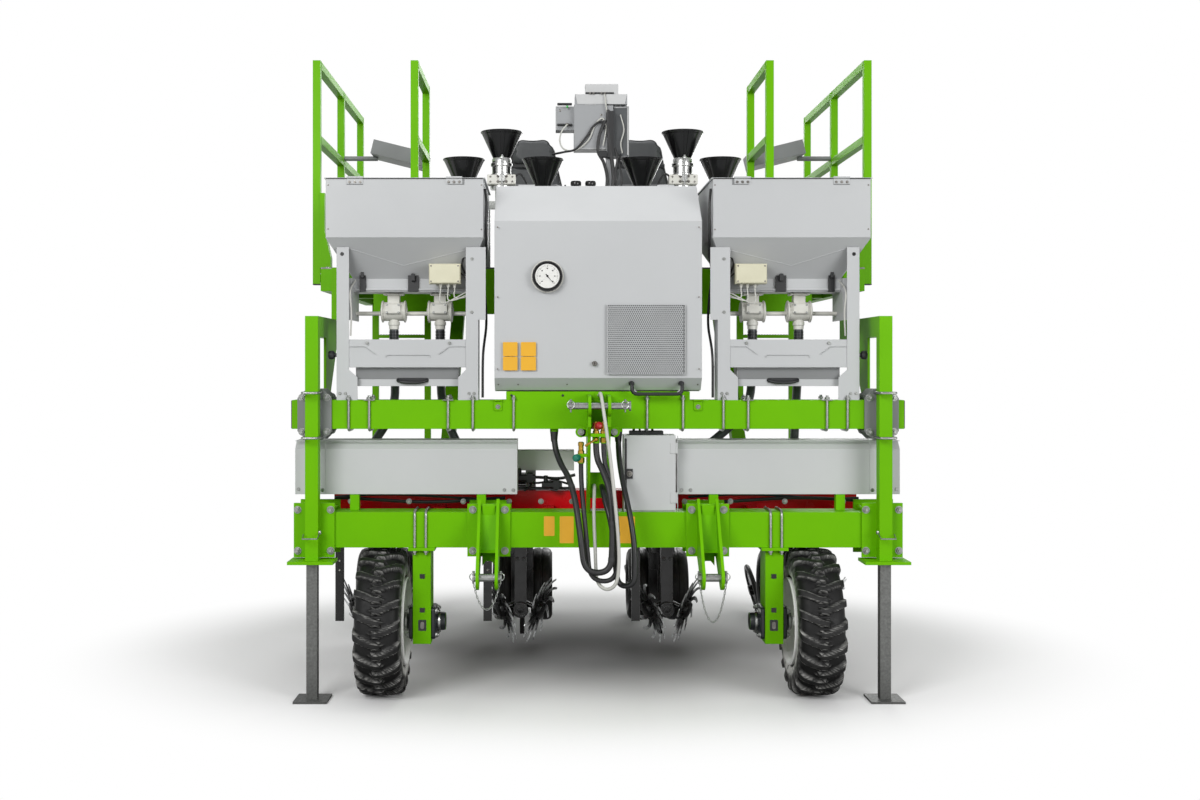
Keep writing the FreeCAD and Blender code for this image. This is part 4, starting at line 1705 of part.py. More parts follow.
def all_nodes():
    """Every node's name with its solids."""
    nodes = {
        "main_beam": make_main_beam(),
        "upper_beam": make_upper_beam(),
        "side_posts": both_sides(make_side_post()),
        "clamp_plates": make_clamp_plates(),
        "leg_left": [mirrored(make_leg())],
        "leg_right": [make_leg()],
        "wheel_struts": make_wheel_struts(),
        "tyre_left": [mirrored(make_tyre())],
        "tyre_right": [make_tyre()],
        "rim_left": [mirrored(make_rim())],
        "rim_right": [make_rim()],
        "lower_hitch": make_lower_hitch(),
        "hitch_mast": make_hitch_mast(),
        "hitch_pins": make_hitch_pins(),
        "cabinet_shell": make_cabinet_shell(),
        "cabinet_hood": make_cabinet_hood(),
        "hoppers": both_sides(make_hopper()),
        "lid_left": [mirrored(make_lid())],
        "lid_right": [make_lid()],
        "hopper_stands": both_sides(make_hopper_stand()),
        "metering_units": both_sides(make_metering()),
        "junction_boxes": both_sides(make_junction_box()),
        "fertiliser_hoses": make_fertiliser_hoses(),
        "side_covers": both_sides(make_cover()) + [make_cable_duct()],
        "control_box": make_control_box(),
        "control_door": make_control_door(),
        "tool_bar": make_tool_bar(),
        "platform_frame": make_platform_frame(),
        "platform_floor": make_platform_floor(),
        "railings": both_sides(make_outer_railing()) + both_sides(make_inner_railing()),
        "seats": both_sides(make_seat()),
        "seed_funnels": make_seed_funnels(),
        "funnel_rack": make_funnel_rack(),
        "console": make_console(),
        "packet_trays": both_sides(make_packet_tray()),
        "row_units": [solid for x in ROW_XS for solid in make_row_unit(x)],
    }
    for name, (route, radius) in CORDS.items():
        nodes[name] = [make_cord(name, route, radius)]
    for number, row_x in enumerate(ROW_XS, start=1):
        nodes[f"depth_wheels_{number}"] = make_gauge_wheels(row_x)
        for side, name in ((-1, "left"), (1, "right")):
            nodes[f"star_wheel_{number}_{name}"] = make_star_wheel(row_x, side)
            nodes[f"closing_wheel_{number}_{name}"] = make_closing_wheel(row_x, side)
    return nodes


def main():
    os.makedirs("parts", exist_ok=True)
    to_origin = Vector(0, -MACHINE_MIDDLE_Y, 0)
    for name, solids in all_nodes().items():
        shape = Part.makeCompound(solids) if len(solids) > 1 else solids[0]
        shape.translate(to_origin)
        shape.exportStep(f"parts/{name}.step")
        print(name, len(solids), round(shape.Volume / 1e6, 2), "litres", shape.isValid())


if __name__ == "__main__":
    main()
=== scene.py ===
# %% [markdown]
# # Plot seeder
# This file dresses a four-row plot seeder for the camera. The steel structure comes in ready made, as
# fixed pieces at their real size. What is added here is everything that the eye looks for on top of it:
# paint, zinc and rubber, the tread of the tyres, clamp bolts, hoses, a gauge, padded seats. Each step
# first says what the thing is on the real machine, then how it can be made, then why it is made this way.
#
# Lengths are in metres. X runs across the machine, Y from the tractor's side to the rear, Z upwards.

# %% Load the machine
import math

import bpy
import numpy as np
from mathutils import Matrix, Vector


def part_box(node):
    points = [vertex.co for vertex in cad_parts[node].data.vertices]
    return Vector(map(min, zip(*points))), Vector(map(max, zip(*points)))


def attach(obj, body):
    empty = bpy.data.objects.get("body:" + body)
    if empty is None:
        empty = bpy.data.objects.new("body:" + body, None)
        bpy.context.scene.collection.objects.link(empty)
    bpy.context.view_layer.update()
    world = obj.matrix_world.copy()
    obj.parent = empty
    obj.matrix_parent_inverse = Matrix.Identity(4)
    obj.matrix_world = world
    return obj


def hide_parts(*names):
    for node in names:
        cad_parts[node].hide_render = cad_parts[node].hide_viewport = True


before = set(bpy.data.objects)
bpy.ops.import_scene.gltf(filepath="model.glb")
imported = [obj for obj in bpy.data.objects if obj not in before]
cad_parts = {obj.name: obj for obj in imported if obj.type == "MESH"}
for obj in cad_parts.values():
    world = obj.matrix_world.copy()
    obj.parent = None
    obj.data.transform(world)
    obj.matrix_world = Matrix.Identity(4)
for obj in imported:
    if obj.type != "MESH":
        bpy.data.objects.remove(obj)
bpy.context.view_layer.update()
MM = 0.001

# %% [markdown]
# ## Camera
# The machine is seen from the tractor's side, from about eye height, a little left of its middle line.
# A level camera with a shifted lens keeps every post upright, as a view camera does. Tilting the camera
# instead would make the tall railings lean together.

# %% Camera
CAMERA_PLACE = (-0.234, -7.4645, 1.558)
CAMERA_LENS = 40.59
CAMERA_SENSOR = 36.0
CAMERA_SHIFT = (0.0433, -0.03)

camera_data = bpy.data.cameras.new("camera")
camera_data.lens = CAMERA_LENS
camera_data.sensor_width = CAMERA_SENSOR
camera_data.shift_x, camera_data.shift_y = CAMERA_SHIFT
camera_data.clip_end = 60.0
camera = bpy.data.objects.new("camera", camera_data)
camera.location = CAMERA_PLACE
camera.rotation_euler = (math.radians(90), 0, 0)
bpy.context.scene.collection.objects.link(camera)
bpy.context.scene.camera = camera

# %% [markdown]
# ## Building shapes from numbers
# Most added pieces are made of a few kinds of surface. A turned part is a profile swung round an axis.
# A rod or hose is a circle carried along a path. A plate is an outline given a thickness. Each of these
# is a grid of points, so whole arrays are worked out at once and handed to the mesh in one go. The
# helpers below return a shape as a pair: an array of points, and a list of faces.

# %% Shapes as arrays of points
def grid_faces(rows, columns, wrap_rows=False, wrap_columns=False):
    """Quads that join each grid point to the next one along and across, with rows running first."""
    i = np.arange(rows if wrap_rows else rows - 1)[:, None]
    j = np.arange(columns if wrap_columns else columns - 1)[None, :]
    below = (i + 1) % rows
    beside = (j + 1) % columns
    corners = np.stack(np.broadcast_arrays(i * columns + j, below * columns + j,
                                           below * columns + beside, i * columns + beside), -1)
    return [tuple(face) for face in corners.reshape(-1, 4).tolist()]


def lathe(profile, steps=32):
    """Swings a profile of (radius, height) pairs round Z: x = r cos t, y = r sin t, z = h.

    A first or last radius of zero closes that end. The profile runs so that faces point outwards
    when it goes up the outer side."""
    profile = np.asarray(profile, float)
    turn = np.linspace(0, 2 * math.pi, steps, endpoint=False)
    points = np.stack([profile[:, :1] * np.cos(turn), profile[:, :1] * np.sin(turn),
                       np.repeat(profile[:, 1:], steps, axis=1)], -1)
    faces = [face[::-1] for face in grid_faces(len(profile), steps, wrap_columns=True)]
    return points.reshape(-1, 3), faces


def sweep(path, radii, sides=12, closed=False, squash=1.0):
    """Carries a circle along a path: each ring lies across the path's direction at that point.

    The across direction starts from a fixed guess and is carried on from ring to ring, so that the
    tube does not twist. One radius per point lets the tube swell, for corrugated hose."""
    path = np.asarray(path, float)
    radii = np.broadcast_to(np.asarray(radii, float), len(path))
    if closed:
        ahead = np.roll(path, -1, axis=0) - np.roll(path, 1, axis=0)
    else:
        ahead = np.gradient(path, axis=0)
    ahead /= np.linalg.norm(ahead, axis=1, keepdims=True)
    guess = np.array([1.0, 0, 0]) if abs(ahead[0][0]) < 0.9 else np.array([0, 1.0, 0])
    across = np.empty_like(path)
    for k, direction in enumerate(ahead):
        guess = guess - direction * guess.dot(direction)
        guess = guess / np.linalg.norm(guess)
        across[k] = guess
    other = np.cross(ahead, across)
    turn = np.linspace(0, 2 * math.pi, sides, endpoint=False)[None, :, None]
    rings = path[:, None] + radii[:, None, None] * (np.cos(turn) * across[:, None]
                                                    + squash * np.sin(turn) * other[:, None])
    faces = [face[::-1] for face in grid_faces(len(path), sides, wrap_rows=closed, wrap_columns=True)]
    if not closed:
        faces += [tuple(range(sides))[::-1], tuple(range((len(path) - 1) * sides, len(path) * sides))]
    return rings.reshape(-1, 3), faces


def plate(outline, thickness, edge=0.0):
    """An outline in X-Y, turning left, given a thickness along Z, with its edges cut back by edge.

    Four rings of points: inset low, full low, full high, inset high. The inset moves each point in
    along the bisector of its corner."""
    outline = np.asarray(outline, float)
    before = outline - np.roll(outline, 1, axis=0)
    after = np.roll(outline, -1, axis=0) - outline
    before /= np.linalg.norm(before, axis=1, keepdims=True)
    after /= np.linalg.norm(after, axis=1, keepdims=True)
    inward = np.stack([-(before + after)[:, 1], (before + after)[:, 0]], 1)
    inward /= np.maximum((inward ** 2).sum(1, keepdims=True) / 2, 1e-6)
    half = thickness / 2
    inset = outline + inward * edge
    count = len(outline)
    if edge > 0:
        rings = [(inset, -half), (outline, edge - half), (outline, half - edge), (inset, half)]
    else:
        rings = [(outline, -half), (outline, half)]
    points = np.concatenate([np.column_stack([ring, np.full(count, z)]) for ring, z in rings])
    faces = [face[::-1] for face in grid_faces(len(rings), count, wrap_columns=True)]
    faces += [tuple(range(count))[::-1], tuple(range((len(rings) - 1) * count, len(rings) * count))]
    return points, faces


def rounded_rectangle(width, height, radius, steps=5):
    """Outline of a rectangle with round corners: four quarter circles, one after the other."""
    quarter = np.linspace(0, math.pi / 2, steps)
    outline = []
    for k, (sx, sy) in enumerate(((1, -1), (1, 1), (-1, 1), (-1, -1))):
        turn = quarter + (k - 1) * math.pi / 2
        centre = np.array([sx * (width / 2 - radius), sy * (height / 2 - radius)])
        outline.append(centre + radius * np.column_stack([np.cos(turn), np.sin(turn)]))
    return np.concatenate(outline)


def slab(width, depth, height, edge=0.001, radius=0.0):
    """A box centred on the origin with edges cut back, and upright corners rounded if asked."""
    if radius > 0:
        return plate(rounded_rectangle(width, depth, radius), height, edge)
    x, y = width / 2, depth / 2
    return plate([(-x, -y), (x, -y), (x, y), (-x, y)], height, edge)


def axes_from(forward, up=(0, 0, 1)):
    """Three unit directions as rows: the shape's X, Y and Z, with Z along forward."""
    z = np.asarray(forward, float)
    z = z / np.linalg.norm(z)
    hint = np.asarray(up, float)
    if abs(hint.dot(z)) > 0.99:
        hint = np.array([0, 1.0, 0]) if abs(z[1]) < 0.9 else np.array([1.0, 0, 0])
    x = np.cross(hint, z)
    x /= np.linalg.norm(x)
    return np.stack([x, np.cross(z, x), z])


def put(shape, place, forward=(0, 0, 1), up=(0, 0, 1), scale=1.0):
    """Moves a shape: its Z axis turns to forward, its Y axis to up, and its origin goes to place."""
    points, faces = shape
    return points * scale @ axes_from(forward, up) + np.asarray(place, float), faces


def stamp(shape, places, forward=(0, 0, 1), up=(0, 0, 1)):
    """Repeats one shape at many places with the same turn: one array sum, no loop over points."""
    points, faces = shape
    turned = points @ axes_from(forward, up)
    places = np.asarray(places, float).reshape(-1, 3)
    every = (places[:, None] + turned[None]).reshape(-1, 3)
    count = len(points)
    return every, [tuple(i + k * count for i in face) for k in range(len(places)) for face in faces]


def together(*shapes):
    """Joins shapes into one list of points and one list of faces."""
    points, faces, start = [], [], 0
    for shape_points, shape_faces in shapes:
        points.append(np.asarray(shape_points, float))
        faces += [tuple(i + start for i in face) for face in shape_faces]
        start += len(shape_points)
    return np.concatenate(points), faces


def circle(radius, count, height=0.0):
    """Points evenly round a circle at a height over the X-Y plane."""
    turn = np.arange(count) / count * 2 * math.pi
    return np.column_stack([radius * np.cos(turn), radius * np.sin(turn), np.full(count, height)])


def wire_ring(radius, wire_radius, count, sides):
    """A closed ring of round wire in the X-Z plane."""
    return sweep(circle(radius, count)[:, [0, 2, 1]], wire_radius, sides, closed=True)


def add_piece(name, finish, *shapes, both=False, body="frame", slot=None, smooth=35):
    """Joins shapes into a mesh object that moves with a body. Edges over the angle stay sharp.

    With both, the mirror image joins in: its x changes sign and its faces turn over."""
    points, faces = together(*shapes)
    if both:
        mirror_image = points * (-1, 1, 1), [face[::-1] for face in faces]
        points, faces = together((points, faces), mirror_image)
    mesh = bpy.data.meshes.new(name)
    mesh.from_pydata(points.tolist(), [], faces)
    mesh.validate()
    mesh.materials.append(finish)
    mesh.shade_smooth()
    mesh.set_sharp_from_angle(angle=math.radians(smooth))
    piece = bpy.data.objects.new(name, mesh)
    bpy.context.scene.collection.objects.link(piece)
    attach(piece, body)
    return piece


print("shape helpers ready")


# %% [markdown]
# ## Floor, backdrop and lamps
# The machine stands in a white studio. The floor keeps the soft shadow under the machine and runs out
# into white. One way is to light the floor until it clips, but that would bleach the paint as well.
# Here the lamps stay at a level at which a colour comes out as written, and the white comes from the
# floor's own material: near the machine it is a pale matt surface, further out it turns plain white
# for the camera and for reflections only. Right under the machine the floor's colour is darker, in one
# soft patch: a painted shadow. For the light that it throws back the floor is darker everywhere, so
# that the undersides of the hoppers and of the cabinet stay deep.

# %% Nodes and colours
def linear(hex_colour):
    """Turns an sRGB hex colour into the linear values that shaders work with."""
    channels = np.array([int(hex_colour[k:k + 2], 16) for k in (1, 3, 5)]) / 255
    low = channels / 12.92
    high = ((channels + 0.055) / 1.055) ** 2.4
    return (*np.where(channels <= 0.04045, low, high), 1.0)


def add(tree, kind, inputs=None, **settings):
    """Adds one node. Inputs are a socket's name or number with a value, or another node's socket."""
    made = tree.nodes.new("ShaderNode" + kind)
    for key, value in settings.items():
        setattr(made, key, value)
    for key, value in (inputs or {}).items():
        socket = made.inputs[key]
        if isinstance(value, bpy.types.NodeSocket):
            tree.links.new(value, socket)
        else:
            socket.default_value = value
    return made


def mix(tree, share, first, second):
    """Blends two colours, each a hex text or another node's socket."""
    first, second = (linear(tone) if isinstance(tone, str) else tone for tone in (first, second))
    return add(tree, "Mix", {"Factor": share, 6: first, 7: second}, data_type="RGBA").outputs[2]


def remap(tree, value, low, high, to_low=0.0, to_high=1.0, **settings):
    """Carries the span from low to high over to the span from to_low to to_high."""
    return add(tree, "MapRange", {"Value": value, "From Min": low, "From Max": high, "To Min": to_low,
                                  "To Max": to_high}, **settings).outputs[0]


def combine(tree, operation, first, second, **settings):
    """One sum, product or other operation on two numbers."""
    return add(tree, "Math", {0: first, 1: second}, operation=operation, **settings).outputs[0]


def noise(tree, where, size, detail, roughness=0.5):
    """Soft noise whose patches measure size metres."""
    return add(tree, "TexNoise", {"Vector": where, "Scale": 1 / size, "Detail": detail,
                                  "Roughness": roughness}).outputs["Fac"]


def blank_material(name):
    """A material with an empty node tree and its output node."""
    material = bpy.data.materials.new(name)
    material.use_nodes = True
    tree = material.node_tree
    tree.nodes.clear()
    return material, tree, tree.nodes.new("ShaderNodeOutputMaterial")


# %% Floor and world
FLOOR_SIZE = 60.0
FLOOR_WHITE_FROM = 1.45
FLOOR_WHITE_TO = 2.30
FLOOR_STRETCH = (0.78, 1.0, 1.0)
SHADE_STRETCH = (0.86, 0.95, 1.0)
SHADE_CENTRE = (0, -0.10, 0)
SHADE_FROM = 0.25
SHADE_TO = 1.25
WORLD_LEVEL = 0.50

floor_mesh = bpy.data.meshes.new("floor")
half = FLOOR_SIZE / 2
floor_mesh.from_pydata([(-half, -half, 0), (half, -half, 0), (half, half, 0), (-half, half, 0)], [],
                       [(0, 1, 2, 3)])
floor = bpy.data.objects.new("floor", floor_mesh)
bpy.context.scene.collection.objects.link(floor)

floor_paint, tree, output = blank_material("matt white studio floor")


def ring_distance(tree, where, stretch, start, end, centre=(0, 0, 0)):
    """Zero inside an ellipse of size start, one outside an ellipse of size end, smooth in between."""
    moved = add(tree, "VectorMath", {0: where, 1: centre}, operation="SUBTRACT").outputs[0]
    scaled = add(tree, "VectorMath", {0: moved, 1: stretch}, operation="MULTIPLY").outputs[0]
    length = add(tree, "VectorMath", {0: scaled}, operation="LENGTH").outputs["Value"]
    return remap(tree, length, start, end, interpolation_type="SMOOTHSTEP")


where = add(tree, "TexCoord").outputs["Object"]
rays = add(tree, "LightPath")
# Painted shadow: a soft dark patch in the floor's colour under the machine, seen by the camera.
shade = ring_distance(tree, where, SHADE_STRETCH, SHADE_FROM, SHADE_TO, SHADE_CENTRE)
seen_tone = mix(tree, shade, "#8E8E8E", "#F6F6F6")
floor_tone = mix(tree, rays.outputs["Is Camera Ray"], "#8A8A8A", seen_tone)
matt = add(tree, "BsdfDiffuse", {"Color": floor_tone})
white = add(tree, "Emission", {"Color": (1, 1, 1, 1), "Strength": 1.0})
outward = ring_distance(tree, where, FLOOR_STRETCH, FLOOR_WHITE_FROM, FLOOR_WHITE_TO)
seen = combine(tree, "MAXIMUM", rays.outputs["Is Camera Ray"], rays.outputs["Is Glossy Ray"])
seen = combine(tree, "MAXIMUM", seen, rays.outputs["Is Transmission Ray"])
share = combine(tree, "MULTIPLY", outward, seen)
blend = add(tree, "MixShader", {0: share, 1: matt.outputs[0], 2: white.outputs[0]})
tree.links.new(blend.outputs[0], output.inputs["Surface"])
floor_mesh.materials.append(floor_paint)

world = bpy.data.worlds.new("studio")
bpy.context.scene.world = world
world.use_nodes = True
tree = world.node_tree
tree.nodes.clear()
output = tree.nodes.new("ShaderNodeOutputWorld")
soft_light = add(tree, "Background", {"Color": (1, 1, 1, 1), "Strength": WORLD_LEVEL})
backdrop = add(tree, "Background", {"Color": (1, 1, 1, 1), "Strength": 1.0})
rays = add(tree, "LightPath")
seen = combine(tree, "MAXIMUM", rays.outputs["Is Camera Ray"], rays.outputs["Is Transmission Ray"])
blend = add(tree, "MixShader", {0: seen, 1: soft_light.outputs[0], 2: backdrop.outputs[0]})
tree.links.new(blend.outputs[0], output.inputs["Surface"])
print("floor and backdrop stand")

# %% Lamps
LAMPS = {
    "key": ((-3.6, -7.5, 4.4), (0, -0.6, 1.2), 3.4, 330),
    "fill": ((4.6, -6.5, 2.8), (0, -0.6, 1.1), 3.0, 190),
    "top": ((0.0, 0.4, 6.4), (0, 0, 1.0), 4.0, 80),
    "back": ((1.5, 6.0, 4.2), (0, 0, 1.6), 3.0, 140),
}

for name, (place, target, side, power) in LAMPS.items():
    lamp_data = bpy.data.lights.new(name, "AREA")
    lamp_data.shape = "SQUARE"
    lamp_data.size = side
    lamp_data.energy = power
    lamp = bpy.data.objects.new(name, lamp_data)
    lamp.location = place
    lamp.rotation_euler = (Vector(target) - Vector(place)).to_track_quat("-Z", "Y").to_euler()
    bpy.context.scene.collection.objects.link(lamp)
bpy.context.scene.view_settings.view_transform = "Standard"
print("lamps:", ", ".join(LAMPS))

# %% [markdown]
# ## Finishes
# Every surface on the machine is one of some forty finishes. Most are coatings on steel: powder coat,
# gloss paint or zinc. Moulded plastic and rubber make up the rest. A finish is built from the same few
# ideas: a base colour that varies a little over a hand's breadth, a roughness that varies with it, and a
# fine bump at the scale of the real grain. All patterns read Object coordinates, which are metres here,
# so a grain of two millimetres is written as one divided by 0.002.

# %% Finish builder
def finish(name, colour, second=None, rough=(0.35, 0.5), metal=0.0, patch=0.25, mottle=0.5,
           grain=None, edge=None, dust=None, coat=0.0, film_layer=None, shine=0.5):
    """A coated, moulded or bare surface.

    colour and second are mixed by a soft noise whose patches measure patch metres. rough runs between
    its two values with the same noise. grain is (size, depth) of the fine bump.
    edge is (colour, share): where a rounded normal leaves the flat one, the colour turns to edge's
    colour: partly a thin or rubbed coat, partly a painted highlight along the rounded edge.
    dust is (colour, share): a pale film on surfaces that face up and in the noise's
    patches, or where the mesh's own layer called film_layer says so. On most finishes it is settled
    dirt; on the star wheels' fingers it is worn steel with a painted glint, and on the tyre sidewalls
    partly a painted sheen. shine is the strength of the gloss."""
    material, tree, output = blank_material(name)
    surface = add(tree, "BsdfPrincipled", {"Metallic": metal, "Specular IOR Level": shine})
    if coat:
        surface.inputs["Coat Weight"].default_value = coat
        surface.inputs["Coat Roughness"].default_value = 0.12
    where = add(tree, "TexCoord").outputs["Object"]
    soft = noise(tree, where, patch, 5.0, 0.6)
    spread = remap(tree, soft, 0.5 - mottle / 2, 0.5 + mottle / 2)
    tone = mix(tree, spread, colour, second or colour)
    roughness = remap(tree, soft, 0.3, 0.7, *rough)
    flat = add(tree, "NewGeometry")
    if edge:
        rounded = add(tree, "Bevel", {"Radius": 0.003}, samples=4).outputs[0]
        facing = add(tree, "VectorMath", {0: rounded, 1: flat.outputs["Normal"]},
                     operation="DOT_PRODUCT").outputs["Value"]
        # Rounded edges take the edge colour: partly a rubbed coat, partly a painted highlight.
        worn = remap(tree, facing, 0.995, 0.8, 0.0, edge[1])
        tone = mix(tree, worn, tone, edge[0])
    # The film's colour: settled dirt on most finishes; through film_layer also worn steel with a painted
    # glint, and a painted sheen on the tyre sidewalls.
    if dust:
        if film_layer:
            settled = add(tree, "Attribute", attribute_name=film_layer).outputs["Fac"]
        else:
            upward = add(tree, "SeparateXYZ", {0: flat.outputs["Normal"]}).outputs["Z"]
            settled = remap(tree, upward, -0.2, 1.0, 0.25)
        film = remap(tree, noise(tree, where, 0.03, 6.0, 0.65), 0.35, 0.7, 0.0, dust[1])
        film = combine(tree, "MULTIPLY", film, settled, use_clamp=True)
        tone = mix(tree, film, tone, dust[0])
    if grain:
        speck = noise(tree, where, grain[0], 3.0)
        bump = add(tree, "Bump", {"Height": speck, "Distance": grain[1], "Strength": 1.0})
        if edge:
            tree.links.new(rounded, bump.inputs["Normal"])
        tree.links.new(bump.outputs[0], surface.inputs["Normal"])
    tree.links.new(tone, surface.inputs["Base Color"])
    tree.links.new(roughness, surface.inputs["Roughness"])
    tree.links.new(surface.outputs[0], output.inputs["Surface"])
    return material


# %% Coated steel
# The edge colours of these coats, lighter on most of them, are mostly a painted highlight along rounded
# edges.
# Polyester powder coat: an even gloss with the fine waviness called orange peel, two millimetres across.
green_coat = finish("lime polyester powder coat", "#6FBA00", "#66B000", rough=(0.40, 0.50), patch=0.5,
                    grain=(0.0022, 0.00004), edge=("#8CCB22", 0.4), shine=0.10)
# The sheet-metal work has a duller coat with a finer grain.
grey_coat = finish("light grey powder coat on sheet", "#BEC0C1", "#B8BABB", rough=(0.42, 0.52), patch=0.6,
                   grain=(0.0012, 0.00003), edge=("#D6D8D8", 0.5))
cover_coat = finish("grey powder coat on plate", "#C4C6C6", "#BDBFBF", rough=(0.4, 0.5), patch=0.5,
                    grain=(0.0012, 0.00003), edge=("#C6C8C8", 0.5))
clamp_coat = finish("mid grey coat on thick plate", "#7F8182", "#777979", rough=(0.4, 0.5), patch=0.2,
                    grain=(0.0012, 0.00003), edge=("#A0A2A2", 0.5))
# The red is brighter than the enamel's own colour: painted light, making up for the shade that the frame
# above throws on the tool bar.
red_coat = finish("red machinery enamel", "#F00A1C", "#DD0616", rough=(0.2, 0.32), patch=0.12,
                  grain=(0.003, 0.00006), edge=("#F04A3C", 0.5), shine=0.3)
# Its pale grey edge is partly rubbed-through wear, partly a painted highlight.
black_coat = finish("black chassis paint", "#0B0B0C", "#131313", rough=(0.10, 0.30), patch=0.06,
                    mottle=0.35, grain=(0.0040, 0.00040), edge=("#9A9A9A", 0.9), dust=("#8C8578", 0.04))
console_coat = finish("steel-grey coat on console", "#A0A2A4", "#989A9C", rough=(0.35, 0.45), patch=0.2,
                      grain=(0.001, 0.00003), edge=("#95999B", 0.5))

# %% Bare and plated metal
# Zinc plating keeps a silvery metal look, clouded where it has been handled.
zinc = finish("bright zinc plate", "#B2B4B2", "#8C8E8A", rough=(0.24, 0.42), metal=1.0, patch=0.014,
              grain=(0.0008, 0.00002))
# Hot-dip galvanizing is duller and greyer, with patches from the slow cooling of the zinc.
galvanized = finish("hot-dip galvanized steel", "#7B7C7A", "#5F605E", rough=(0.38, 0.55), metal=0.9,
                    patch=0.012, grain=(0.002, 0.00003))
steel = finish("worn bright steel", "#8F8C88", "#6D6A66", rough=(0.25, 0.45), metal=1.0, patch=0.03,
               grain=(0.001, 0.00003))
brass = finish("machined brass", "#C9A24A", "#B48C3A", rough=(0.2, 0.35), metal=1.0, patch=0.02)

# %% Rubber and plastic
# On the sidewalls the pale film, laid by the mesh's film layer, is partly dirt and partly a painted sheen.
tyre_rubber = finish("carbon-black tyre rubber", "#0D0D0D", "#161616", rough=(0.42, 0.7), patch=0.05,
                     grain=(0.0025, 0.00015), dust=("#DAD9D5", 0.95), film_layer="film", shine=0.3)
wheel_rubber = finish("carbon-black wheel rubber", "#0F0F10", "#191918", rough=(0.3, 0.6), patch=0.05,
                      grain=(0.0025, 0.0001), dust=("#7F7A70", 0.16))
wheel_paint = finish("white wheel paint", "#F3F3F1", "#EAEAE7", rough=(0.4, 0.55), patch=0.04,
                     grain=(0.002, 0.00006))
hose_rubber = finish("synthetic rubber hose cover", "#1A1A1B", "#222223", rough=(0.4, 0.55), patch=0.05,
                     grain=(0.0012, 0.00012))
cable_grey = finish("pale grey cable sheath", "#C9C9C3", "#BDBDB6", rough=(0.35, 0.5), patch=0.08)
corrugated = finish("ribbed polyamide conduit", "#18191A", "#202122", rough=(0.3, 0.45), patch=0.05)
black_plastic = finish("black glass-filled nylon", "#17181A", "#1F2022", rough=(0.38, 0.52), patch=0.08,
                       grain=(0.0009, 0.00004))
gloss_black = finish("glossy black polypropylene", "#0C0C0D", "#121213", rough=(0.12, 0.22), patch=0.2,
                     grain=(0.006, 0.00008))
white_plastic = finish("white moulded nylon", "#DFDFD8", "#D3D2C9", rough=(0.35, 0.5), patch=0.05,
                       dust=("#A19A8A", 0.25))
cream_plastic = finish("cream moulded ABS", "#D6D3BA", "#CCC9AF", rough=(0.38, 0.48), patch=0.1,
                       grain=(0.0008, 0.00004))
smoked_hose = finish("clear grey ribbed hose", "#5D6165", "#484B4E", rough=(0.25, 0.4), patch=0.05)
print(len(bpy.data.materials), "finishes so far")

# %% Finishes for the steelwork that is already there
NODE_FINISHES = {
    green_coat: ("main_beam", "upper_beam", "side_posts", "wheel_struts", "lower_hitch", "hitch_mast",
                 "platform_frame", "railings"),
    grey_coat: ("cabinet_shell", "cabinet_hood", "hoppers", "lid_left", "lid_right", "hopper_stands"),
    cover_coat: ("side_covers", "control_box", "control_door"),
    clamp_coat: ("clamp_plates", "packet_trays"),
    red_coat: ("tool_bar",),
    galvanized: ("leg_left", "leg_right", "platform_floor"),
    zinc: ("hitch_pins", "funnel_rack"),
    tyre_rubber: ("tyre_left", "tyre_right"),
    wheel_paint: ("rim_left", "rim_right"),
    white_plastic: ("metering_units",),
    cream_plastic: ("junction_boxes",),
    smoked_hose: ("fertiliser_hoses",),
    gloss_black: ("seed_funnels",),
    console_coat: ("console",),
    black_coat: ("row_units",),
    black_plastic: ("seats",),
}


def refinish(node_name, material):
    """Gives a ready-made piece its finish, in place of the plain colour that it came with."""
    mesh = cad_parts[node_name].data
    mesh.materials.clear()
    mesh.materials.append(material)


for material, node_names in NODE_FINISHES.items():
    for node_name in node_names:
        refinish(node_name, material)
ROWS = range(1, 5)
SIDES = ("left", "right")
for row in ROWS:
    refinish(f"depth_wheels_{row}", wheel_rubber)
    for side in SIDES:
        refinish(f"star_wheel_{row}_{side}", black_coat)
        refinish(f"closing_wheel_{row}_{side}", wheel_rubber)
print("every ready-made piece has a finish")

# %% Small special finishes
dial_white = finish("printed white dial", "#E6E6E2", rough=(0.4, 0.5), patch=0.05)
amber_film = finish("amber adhesive film", "#E9B12C", "#E3A823", rough=(0.3, 0.42), patch=0.08)
grille_coat = finish("grey powder coat on perforated sheet", "#ABADAE", "#A3A5A6", rough=(0.42, 0.52),
                     patch=0.09)
grille_shadow = finish("shaded inside of the cabinet", "#3A3B3C", "#4A4B4C", rough=(0.7, 0.8), patch=0.1)
green_lamp = finish("green signal lens", "#36B24A", rough=(0.1, 0.2), patch=0.05, coat=0.5)


def clear_material(name):
    """Thin clear cover: a little gloss over what lies behind, which stays fully visible."""
    material, tree, output = blank_material(name)
    through = add(tree, "BsdfTransparent")
    shine = add(tree, "BsdfGlossy", {"Roughness": 0.05})
    share = add(tree, "Fresnel", {"IOR": 1.25})
    mixed = add(tree, "MixShader", {0: share.outputs[0], 1: through.outputs[0], 2: shine.outputs[0]})
    tree.links.new(mixed.outputs[0], output.inputs["Surface"])
    return material


clear_cover = clear_material("clear polycarbonate cover")
print("special finishes ready")
